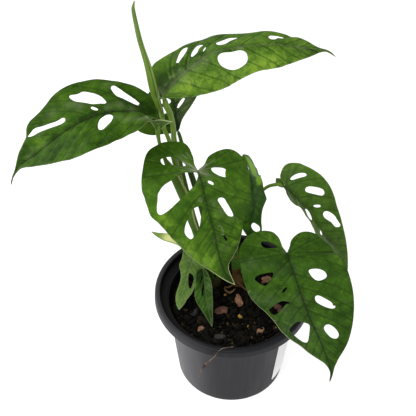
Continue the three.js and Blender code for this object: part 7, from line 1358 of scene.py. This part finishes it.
stump("stem_base_main_ringed", "stem_base_main", STEM_MAIN, ((52, 38, 20), (54, 56, 24), (34, 25, 14), (0.5, 0.9)), rings=7)
stump("stem_base_side_ringed", "stem_base_side", STEM_SIDE, ((82, 58, 30), (62, 98, 26), (40, 28, 16), (0.735, 0.775)), rings=9, seed=3,
      rim=(0.982, 0.999, (78, 82, 36)), waist=0.34)

# dry root over the rim
V, F, a, s = sweep(ROOT, 0.8, 14, lambda th, s: (0.72 + 0.5 * np.exp(-((s - 0.66) / 0.05) ** 2)) * (1 + 0.14 * np.sin(s * 70 + th) + 0.1 * np.sin(3 * th + s * 40)), (0, -1, 0.2))
m = Mat("dry_root_skin", rough=0.75, spec=0.2)
o = m.obj()
c = m.mix(m.remap(m.noise(o, 260, 4), 0.4, 0.65), srgb(62, 50, 44), srgb(112, 96, 86))
c = m.mix(m.remap(m.math("ABSOLUTE", m.math("SUBTRACT", m.attr("share"), 0.66)), 0.03, 0.08, 0.8, 0.0), c, srgb(48, 32, 26))
m.color(c)
m.bump(m.noise(o, 1500, 3), 0.5, 0.0002)
build("aerial_root_thread", V, F, m.m, node="aerial_root", attrs={"share": s})


# ------------------------------------------------------------------ pot
def body_r(z):
    return 47.0 + (54.6 - 47.0) * z / 86.6


def fillet(profile, radii, n=5):
    """Rounds each corner of a profile by its radius."""
    P = np.array(profile, float)
    out = [P[0]]
    for i in range(1, len(P) - 1):
        r = radii.get(i, 0)
        a, b, c = P[i - 1], P[i], P[i + 1]
        if r <= 0:
            out.append(b)
            continue
        u, w = unit(a - b), unit(c - b)
        ang = math.acos(float(np.clip(u @ w, -1, 1)))
        d = min(r / math.tan(ang / 2), 0.45 * np.linalg.norm(a - b), 0.45 * np.linalg.norm(c - b))
        p, q = b + u * d, b + w * d
        for t in np.linspace(0, 1, n + 1):
            out.append((1 - t) ** 2 * p + 2 * t * (1 - t) * b + t * t * q)
    out.append(P[-1])
    return np.array(out)


def lathe(profile, seg):
    P = np.asarray(profile, float)
    th = np.linspace(0, 2 * np.pi, seg, endpoint=False)
    V, idx = [], []
    for r, z in P:
        if r < 1e-6:
            idx.append([len(V)] * seg)
            V.append((0, 0, z))
        else:
            idx.append(list(range(len(V), len(V) + seg)))
            V += [(r * math.cos(t), r * math.sin(t), z) for t in th]
    F = []
    for i in range(len(P) - 1):
        for j in range(seg):
            k = (j + 1) % seg
            a, b, c, d = idx[i][j], idx[i][k], idx[i + 1][k], idx[i + 1][j]
            if a != b:
                F.append((a, b, c))
            if c != d:
                F.append((a, c, d))
    return np.array(V), np.array(F)


prof = [(0, 1.0), (38, 1.0), (39.2, 0), (44.8, 0), (46.9, 1.2), (body_r(30), 30), (body_r(60), 60), (54.5, 86.1), (55.6, 86.6), (64.4, 86.7), (65.35, 87.7),
        (65.0, 93.9), (64.0, 95.0), (61.5, 95.0), (60.5, 94.1), (59.9, 88.7), (59.0, 88.1), (54.7, 87.9), (53.4, 86.2), (body_r(40) - 1.2, 40), (46.1, 3.0), (44.3, 2.0), (0, 2.0)]
pp = fillet(prof, {1: .3, 2: .4, 3: 1.0, 4: 1.2, 7: .4, 8: .4, 9: .8, 10: .8, 11: .8, 12: 1.0, 13: .9, 14: 1.0, 15: .8, 16: .5, 17: .7, 18: .8, 20: .8, 21: .8}, 4)
# more rings up the wall, so that the surface can carry a faint unevenness
dense = [pp[0]]
for p in pp[1:]:
    k = max(1, int(np.linalg.norm(p - dense[-1]) / 6.0))
    q0 = dense[-1]
    for t in range(1, k + 1):
        dense.append(q0 + (p - q0) * t / k)
V, F = lathe(dense, 192)
if np.sum(np.einsum("ij,ij->i", V[F[:, 0]], np.cross(V[F[:, 1]], V[F[:, 2]]))) < 0:
    F = F[:, ::-1]
m = Mat("pot_charcoal", rough=0.5, spec=0.22)
o = m.obj()
cloud = m.noise(o, 26, 4, 0.6)
grain = m.noise(o, 2600, 2, 0.5)
streak = m.noise(m.scaled(o, (1, 1, 0.06)), 220, 3, 0.5)
c = m.mix(m.remap(cloud, 0.3, 0.7), srgb(19, 18, 24), srgb(29, 27, 34))
c = m.mix(m.remap(streak, 0.5, 0.78, 0.0, 0.3), c, srgb(40, 40, 44))
xyz = m.new("ShaderNodeSeparateXYZ")
m.link(o, xyz.inputs[0])
rad = m.math("SQRT", m.math("ADD", m.math("MULTIPLY", xyz.outputs[0], xyz.outputs[0]), m.math("MULTIPLY", xyz.outputs[1], xyz.outputs[1])))
hgt = xyz.outputs[2]
# painted shade darkens the wall towards the bottom, and painted light lightens its upper part
c = m.mix(m.remap(hgt, 0.0, 0.085, 0.45, 0.0, smooth=False), c, srgb(13, 13, 15))
c = m.mix(m.remap(m.math("ADD", hgt, m.math("MULTIPLY", cloud, 0.01)), 0.060, 0.088, 0.0, 0.35), c, srgb(48, 45, 53))
lipm = m.remap(rad, 0.0552, 0.0575)
c = m.mix(m.math("MULTIPLY", lipm, 0.85), c, srgb(11, 13, 17))
# painted highlight: a lighter line along the top of the rim
c = m.mix(m.remap(hgt, 0.0941, 0.0949, 0.0, 0.7), c, srgb(21, 23, 27))
# painted reflection: a lighter sheen on the left side of the wall, fainter on the lip
painted_left_sheen = m.math("MULTIPLY", m.remap(xyz.outputs[0], -0.012, -0.046), m.math("SUBTRACT", 0.85, m.math("MULTIPLY", lipm, 0.62)))
c = m.mix(m.math("MULTIPLY", painted_left_sheen, m.remap(cloud, 0.2, 0.6, 0.85, 1.0)), c, srgb(92, 90, 94))
# painted shade: the inside of the pot above the soil is darkened almost to black
inside_shade = m.math("MULTIPLY", m.remap(rad, 0.0612, 0.0604), m.remap(hgt, 0.0868, 0.0874))
inside_shade = m.math("MAXIMUM", inside_shade, m.remap(m.math("SUBTRACT", rad, m.math("MULTIPLY", hgt, 0.0878)), 0.0467, 0.0461))
c = m.mix(m.math("MULTIPLY", inside_shade, 0.97), c, srgb(4, 4, 5))
c = m.mix(m.remap(m.noise(o, 420, 5, 0.7), 0.68, 0.82, 0.0, 0.30), c, srgb(84, 80, 76))
m.color(c)
m.rough(m.remap(m.math("ADD", cloud, streak), 0.6, 1.4, 0.44, 0.60, smooth=False))
nb = m.bump(grain, 0.12, 0.00012)
m.bump(m.noise(m.scaled(o, (1, 1, 0.3)), 90, 2), 0.12, 0.0006, prev=nb)
pot = build("pot_shell", V, F, m.m, node="pot")
# drainage notches round the base edge, cut through the outer corner
cut = bpy.data.meshes.new("notches")
bm = bmesh.new()
for k in range(8):
    g = bmesh.ops.create_cube(bm, size=1.0)
    a = (k + 0.5) * math.pi / 4
    for v in g["verts"]:
        x, y, z = v.co.x * 9 + 44.5, v.co.y * 7, v.co.z * 2.4 + 0.5
        v.co = Vector((x * math.cos(a) - y * math.sin(a), x * math.sin(a) + y * math.cos(a), z)) * MM
bm.to_mesh(cut)
bm.free()
cutter = bpy.data.objects.new("notches", cut)
bpy.context.scene.collection.objects.link(cutter)
md = pot.modifiers.new("notch", "BOOLEAN")
md.operation, md.object, md.solver = "DIFFERENCE", cutter, "EXACT"
bpy.context.view_layer.update()
ev = pot.evaluated_get(bpy.context.evaluated_depsgraph_get())
done = bpy.data.meshes.new_from_object(ev)
pot.modifiers.clear()
old = pot.data
pot.data = done
bpy.data.meshes.remove(old)
bpy.data.objects.remove(cutter)
for p in pot.data.polygons:
    p.use_smooth = True
try:
    bm = bmesh.new()
    bm.from_mesh(pot.data)
    for e in bm.edges:
        if len(e.link_faces) == 2 and e.calc_face_angle(0) > math.radians(38):
            e.smooth = False
    bm.to_mesh(pot.data)
finally:
    bm.free()

# ------------------------------------------------------------------ blank label
t0, t1, z0, z1, rc = math.radians(-43.0), math.radians(14.0), 11.0, 80.0, 2.2
nt, nz = 60, 60
V, idx = [], {}
width = 50.0 * (t1 - t0)
for side, off in ((0, 0.34), (1, 0.14)):
    for i in range(nt + 1):
        for j in range(nz + 1):
            u, w = i / nt * width, z0 + (z1 - z0) * j / nz
            # rounded corners: points past the corner arc are drawn in to it
            cx, cy = min(max(u, rc), width - rc), min(max(w, z0 + rc), z1 - rc)
            dx, dy = u - cx, w - cy
            dd = math.hypot(dx, dy)
            if dx and dy and dd > rc:
                u, w = cx + dx * rc / dd, cy + dy * rc / dd
            edge = min(u, width - u, w - z0, z1 - w)
            lift = off - (0.08 * math.exp(-edge / 0.5) if side == 0 else 0.0)
            a = t0 + (t1 - t0) * u / width
            rr = body_r(w) + lift
            idx[(side, i, j)] = len(V)
            V.append((rr * math.cos(a), rr * math.sin(a), w))
F = []
for side in (0, 1):
    for i in range(nt):
        for j in range(nz):
            a, b, c, d = idx[(side, i, j)], idx[(side, i + 1, j)], idx[(side, i + 1, j + 1)], idx[(side, i, j + 1)]
            F += [(a, b, c), (a, c, d)] if side == 0 else [(a, c, b), (a, d, c)]
ringij = [(i, 0) for i in range(nt)] + [(nt, j) for j in range(nz)] + [(i, nz) for i in range(nt, 0, -1)] + [(0, j) for j in range(nz, 0, -1)]
for (i, j), (k, l) in zip(ringij, ringij[1:] + ringij[:1]):
    a, b, c, d = idx[(0, i, j)], idx[(0, k, l)], idx[(1, k, l)], idx[(1, i, j)]
    F += [(b, a, d), (b, d, c)]
m = Mat("label_white", rough=0.42, spec=0.3)
o = m.obj()
c = m.mix(m.remap(m.noise(o, 30, 3), 0.3, 0.7), srgb(214, 212, 214), srgb(226, 224, 225))
m.color(m.mix(m.remap(m.noise(o, 1400, 2), 0.62, 0.75, 0.0, 0.15), c, srgb(196, 194, 196)))
m.bump(m.noise(o, 120, 3), 0.15, 0.0003)
build("pot_label_blank", V, np.array(F), m.m, node="pot_label")


# ------------------------------------------------------------------ soil
def soil_z(x, y):
    r = np.hypot(x, y)
    return 78.6 + 2.2 * np.maximum(0, 1 - (r / 52.0) ** 2)


nr, seg = 60, 200
V = [(0, 0, 0)]
rr = np.linspace(52.2 / nr, 52.2, nr)
for r in rr:
    for t in np.linspace(0, 2 * np.pi, seg, endpoint=False):
        V.append((r * math.cos(t), r * math.sin(t), 0))
V = np.array(V)
xy = V[:, :2]
lump = 0.55 * vnoise(xy, 7, 1) + 0.55 * vnoise(xy, 3.1, 2) + 0.5 * vnoise(xy, 1.5, 3) + 0.3 * vnoise(xy, 0.8, 4)
edge = smoothstep(52.3, 49, np.hypot(V[:, 0], V[:, 1]))
V[:, 2] = soil_z(V[:, 0], V[:, 1]) - 0.5 + lump * (0.35 + 0.65 * edge)
# the soil rises a little round the stems
for cx, cy, h, wd in ((-16.3, 20.6, 1.6, 10.5), (6.0, 17.5, 1.3, 8.0)):
    V[:, 2] += h * np.exp(-((V[:, 0] - cx) ** 2 + (V[:, 1] - cy) ** 2) / wd ** 2)
F = []
for j in range(seg):
    F.append((0, 1 + j, 1 + (j + 1) % seg))
for i in range(nr - 1):
    for j in range(seg):
        a, b = 1 + i * seg + j, 1 + i * seg + (j + 1) % seg
        F += [(a, a + seg, b + seg), (a, b + seg, b)]
low = [(52.2, 77.0), (50.4, 40.0 + 1e-3), (45.6, 3.6), (43.8, 2.3)]
base = 1 + (nr - 1) * seg
prev = base + np.arange(seg)
ths = np.linspace(0, 2 * np.pi, seg, endpoint=False)
V = V.tolist()
for r, z in low:
    r = min(r, body_r(z) - 1.65)
    ring = len(V) + np.arange(seg)
    V += [(r * math.cos(t), r * math.sin(t), z) for t in ths]
    for j in range(seg):
        k = (j + 1) % seg
        F += [(prev[j], ring[j], ring[k]), (prev[j], ring[k], prev[k])]
    prev = ring
V.append((0, 0, 2.3))
F += [(prev[(j)], len(V) - 1, prev[(j + 1) % seg]) for j in range(seg)]
V = np.array(V)
m = Mat("soil_dark", rough=0.9, spec=0.07)
o = m.obj()
n1 = m.noise(o, 160, 5, 0.65)
n2 = m.noise(o, 700, 4, 0.65)
c = m.mix(m.remap(n1, 0.35, 0.68), srgb(6, 6, 4), srgb(16, 14, 10))
c = m.mix(m.remap(n2, 0.60, 0.78, 0.0, 0.5), c, srgb(42, 35, 25))
m.color(c)
m.bump(m.math("ADD", n1, n2), 0.8, 0.001)
build("soil_bed", V, np.array(F), m.m, node="soil")

# crumbs: small broken grains pressed into the surface
ico = bpy.data.meshes.new("ico")
bm = bmesh.new()
bmesh.ops.create_icosphere(bm, subdivisions=2, radius=1.0)
IV = np.array([v.co[:] for v in bm.verts])
IF = np.array([[v.index for v in f.verts] for f in bm.faces])
bm.free()
bm = bmesh.new()
bmesh.ops.create_icosphere(bm, subdivisions=1, radius=1.0)
IV1 = np.array([v.co[:] for v in bm.verts])
IF1 = np.array([[v.index for v in f.verts] for f in bm.faces])
bm.free()
bm = bmesh.new()
bmesh.ops.create_icosphere(bm, subdivisions=4, radius=1.0)
IV4 = np.array([v.co[:] for v in bm.verts])
IF4 = np.array([[v.index for v in f.verts] for f in bm.faces])
bm.free()
bpy.data.meshes.remove(ico)


def rot(r):
    q = r.randn(4)
    w, x, y, z = q / np.linalg.norm(q)
    return np.array([[1 - 2 * (y * y + z * z), 2 * (x * y - z * w), 2 * (x * z + y * w)], [2 * (x * y + z * w), 1 - 2 * (x * x + z * z), 2 * (y * z - x * w)],
                     [2 * (x * z - y * w), 2 * (y * z + x * w), 1 - 2 * (x * x + y * y)]])


STANDS = [(-16.3, 20.6, 8.2), (6.0, 17.8, 6.0)]


def scatter(name, count, size, mat, flat=(0.45, 1.0), seed=1, fine=False, rmax=51.0, sink=0.3, shade=None, long=1.0):
    r = np.random.RandomState(seed)
    iv, jf = (IV, IF) if fine else (IV1, IF1)
    V, F, T = [], [], []
    k = 0
    while len(T) < count:
        rad, a = rmax * math.sqrt(r.rand()), r.rand() * 2 * math.pi
        x, y = rad * math.cos(a), rad * math.sin(a)
        sz = size[0] + (size[1] - size[0]) * r.rand() ** 2.2
        if any(math.hypot(x - cx, y - cy) < cr + sz for cx, cy, cr in STANDS) or rad + sz > 51.6:
            continue
        dims = np.array([long * (0.8 + 0.5 * r.rand()), 0.7 + 0.4 * r.rand(), flat[0] + (flat[1] - flat[0]) * r.rand()]) * sz
        P = iv * (1 + 0.28 * (r.rand(len(iv), 1) - 0.5) * 2)
        P = P * dims
        tilt = rot(r) if flat[0] > 0.4 else np.eye(3)
        yaw = r.rand() * 2 * math.pi
        Y = np.array([[math.cos(yaw), -math.sin(yaw), 0], [math.sin(yaw), math.cos(yaw), 0], [0, 0, 1]])
        sl = (r.rand(2) - 0.5) * 0.6
        X = np.array([[1, 0, 0], [0, 1, 0], [sl[0], sl[1], 1]])
        P = P @ (X @ Y @ tilt).T
        lz = P[:, 2].min()
        P = P + [x, y, float(soil_z(x, y)) - lz - sink * sz - 0.15]
        V.append(P)
        F.append(jf + k)
        k += len(P)
        T.append(np.full(len(P), r.rand() if shade is None else shade(r)))
    return build(name, np.vstack(V), np.vstack(F), mat, smooth=fine, attrs={"tint": np.concatenate(T)})


m = Mat("crumb_mix", rough=0.85, spec=0.07)
o = m.obj()
tint = m.attr("tint")
c = m.ramp(tint, (0.0, srgb(5, 5, 4)), (0.62, srgb(12, 11, 8)), (0.84, srgb(22, 19, 13)), (0.94, srgb(42, 34, 23)), (0.985, srgb(92, 72, 44)), (1.0, srgb(122, 98, 66)))
c = m.mix(m.remap(m.noise(o, 900, 4, 0.6), 0.4, 0.7, 0.0, 0.5), c, srgb(11, 10, 8))
m.color(c)
m.bump(m.noise(o, 1800, 3), 0.6, 0.0003)
crumb = m.m
scatter("soil_crumbs_fine", 5200, (0.45, 1.5), crumb, seed=21)
scatter("soil_crumbs_coarse", 420, (1.3, 3.2), crumb, seed=22, fine=True, flat=(0.5, 0.9), shade=lambda r: 0.92 * r.rand() ** 1.2)
scatter("soil_bark_flakes", 190, (1.4, 3.4), crumb, seed=23, fine=True, flat=(0.18, 0.3), sink=0.05, long=1.6, shade=lambda r: 0.55 + 0.4 * r.rand())

# fibres and fine dead roots on the soil
r = np.random.RandomState(31)
V, F, k, T = [], [], 0, []
for i in range(46):
    a, rad = r.rand() * 6.283, 47 * math.sqrt(r.rand())
    p = np.array([rad * math.cos(a), rad * math.sin(a)])
    h = r.rand() * 6.283
    pts = []
    for j in range(7):
        q = p.copy()
        pts.append([q[0], q[1], float(soil_z(*q)) + 0.5 + 0.9 * r.rand(), 0.13 + 0.16 * r.rand()])
        h += (r.rand() - 0.5) * 1.3
        p = p + (1.0 + 1.6 * r.rand()) * np.array([math.cos(h), math.sin(h)])
        if math.hypot(*p) > 50.5 or any(math.hypot(p[0] - cx, p[1] - cy) < cr for cx, cy, cr in STANDS):
            break
    if len(pts) < 4:
        continue
    v, f, _, s = sweep(pts, 0.7, 7, None, (0, 0.1, 1))
    V.append(v)
    F.append(f + k)
    k += len(v)
    T.append(np.full(len(v), 0.4 + 0.6 * r.rand()))
# curled dry scale, a side root with its bulge, and thin roots running forward
LITTER = [([[-6.3, 11.4, 84.0, .75], [-2.9, 10.6, 85.2, .85], [1.2, 12.9, 85.4, .5]], .985),
          ([[-6.5, 11.7, 83.0, .6], [-5.1, 7.8, 83.6, .9], [-1.7, 5.3, 84.2, 1.0], [2.6, 8.9, 84.2, .5]], .995),
          ([[-5.1, 6.6, 82.2, .5], [-2.6, 2.5, 82.6, .5], [1.7, 3.6, 82.8, .3]], .5),
          ([[4.8, 13.9, 88.0, 1.0], [7.8, 12.1, 85.5, .85], [10.8, 10.0, 83.8, .75], [13.2, 9.0, 82.0, .6]], .982),
          ([[12.0, 3.4, 81.4, .8], [12.2, -0.4, 82.0, 1.7], [12.4, -5.8, 81.4, 1.0]], .84),
          ([[12.4, -5.9, 82.0, .45], [13.8, -16.4, 82.4, .3], [14.7, -24.7, 82.0, .25], [15.7, -32.6, 81.2, .2]], .9)]
for rows, tn in LITTER:
    v, f, _, s = sweep(rows, 0.6, 10, lambda th, s: 1 + 0.10 * np.sin(3 * th + s * 30), (0, 0.1, 1))
    V.append(v)
    F.append(f + k)
    k += len(v)
    T.append(np.full(len(v), tn))
build("soil_fibres", np.vstack(V), np.vstack(F), crumb, attrs={"tint": np.concatenate(T)})


# ------------------------------------------------------------------ bark chips and pellets
def bark_material(name, a, b, cdark):
    m = Mat(name, rough=0.85, spec=0.22)
    o = m.obj()
    layer = m.noise(m.scaled(o, (1, 1, 5)), 160, 5, 0.65, 0.6)
    c = m.mix(m.remap(layer, 0.35, 0.65), a, b)
    c = m.mix(m.remap(m.noise(o, 620, 4, 0.7), 0.5, 0.7, 0.0, 0.75), c, cdark)
    m.color(c)
    m.bump(m.math("ADD", layer, m.noise(o, 900, 4)), 0.8, 0.0008)
    return m.m


bark_pink = bark_material("bark_pinkish", srgb(78, 52, 44), srgb(108, 76, 62), srgb(34, 23, 18))
bark_brown = bark_material("bark_brown", srgb(92, 66, 48), srgb(138, 106, 80), srgb(46, 32, 22))
bark_light = bark_material("bark_light", srgb(122, 84, 62), srgb(168, 126, 98), srgb(64, 40, 28))
bark_grey = bark_material("bark_grey", srgb(34, 34, 32), srgb(54, 54, 50), srgb(20, 19, 18))
KIND = [bark_light, bark_pink, bark_grey, bark_grey, bark_brown, bark_pink, bark_brown, bark_brown, bark_grey, bark_brown, bark_brown, bark_brown]
for i, (x, y, l, w, t, deg) in enumerate(CHIPS):
    r = np.random.RandomState(50 + i)
    P = IV4.copy()
    # a broken slab: blunt superellipsoid cut by a few random planes, with torn layers
    P = np.sign(P) * np.abs(P) ** np.array([0.62, 0.62, 0.75])
    for _ in range(9):
        nrm = unit(r.randn(3) * [1, 1, 0.55])
        d = 0.58 + 0.27 * r.rand()
        over = P @ nrm - d
        P = P - np.maximum(over, 0)[:, None] * nrm
    P = P * (1 + 0.04 * vnoise(P, 0.35, i)[:, None] + 0.03 * vnoise(P * [1, 1, 3], 0.12, i + 5)[:, None])
    P = P * np.array([l, w, t]) * 0.5
    a = math.radians(deg)
    Y = np.array([[math.cos(a), -math.sin(a), 0], [math.sin(a), math.cos(a), 0], [0, 0, 1]])
    P = P @ Y.T
    P = P + [x, y, float(soil_z(x, y)) - P[:, 2].min() + 0.05]
    build("bark_chip_%d_piece" % (i + 1), P, IF4, KIND[i], node="bark_chip_%d" % (i + 1))

m = Mat("pellet_coat", rough=0.5, spec=0.15)
o = m.obj()
c = m.mix(m.remap(m.noise(o, 260, 3), 0.3, 0.7), srgb(140, 112, 40), srgb(178, 150, 70))
c = m.mix(m.remap(m.noise(o, 1100, 3), 0.6, 0.75, 0.0, 0.5), c, srgb(132, 100, 44))
m.color(m.mix(m.attr("dull"), c, srgb(96, 72, 28)))
m.bump(m.noise(o, 700, 2), 0.2, 0.0002)
for i, (x, y, rad) in enumerate(PELLETS):
    P = IV4 * (1 + 0.035 * vnoise(IV4, 0.9, 70 + i)[:, None]) * rad
    P = P + [x, y, float(soil_z(x, y)) - P[:, 2].min() + 0.05]
    build("feed_pellet_%d_bead" % (i + 1), P, IF4, m.m, node="feed_pellet_%d" % (i + 1), attrs={"dull": np.full(len(P), 0.0 if i == 0 else 0.75)})

# ------------------------------------------------------------------ stage, lights
floor_me = bpy.data.meshes.new("floor")
floor_me.from_pydata([(-4, -4, 0), (4, -4, 0), (4, 4, 0), (-4, 4, 0)], [], [(0, 1, 2, 3)])
floor = bpy.data.objects.new("floor", floor_me)
bpy.context.scene.collection.objects.link(floor)
m = Mat("floor_white", rough=0.9, spec=0.1)
m.color(m.mix(m.remap(m.noise(m.obj(), 3, 2), 0.3, 0.7), (0.30, 0.30, 0.30), (0.33, 0.33, 0.33)))
m.b.inputs["Emission Color"].default_value = (1, 1, 1, 1)
m.b.inputs["Emission Strength"].default_value = 0.84
floor_me.materials.append(m.m)

world = bpy.data.worlds.new("studio")
bpy.context.scene.world = world
world.use_nodes = True
world.node_tree.nodes["Background"].inputs[0].default_value = (1, 1, 1, 1)
world.node_tree.nodes["Background"].inputs[1].default_value = 0.42


def area(name, loc, target, size, power, col=(1, 1, 1)):
    d = bpy.data.lights.new(name, "AREA")
    d.shape, d.size, d.size_y, d.energy, d.color = "RECTANGLE", size[0], size[1], power, col
    ob = bpy.data.objects.new(name, d)
    bpy.context.scene.collection.objects.link(ob)
    ob.location = loc
    ob.rotation_euler = (Vector(target) - Vector(loc)).to_track_quat("-Z", "Y").to_euler()
    return ob


area("key_soft", (-0.55, -0.55, 1.35), (0, 0, 0.15), (0.9, 0.9), 17)
area("fill_right", (1.1, -0.5, 0.8), (0, 0, 0.12), (0.9, 0.9), 5)
area("back_left", (-1.0, 0.55, 0.6), (0, 0, 0.08), (0.7, 0.9), 8)
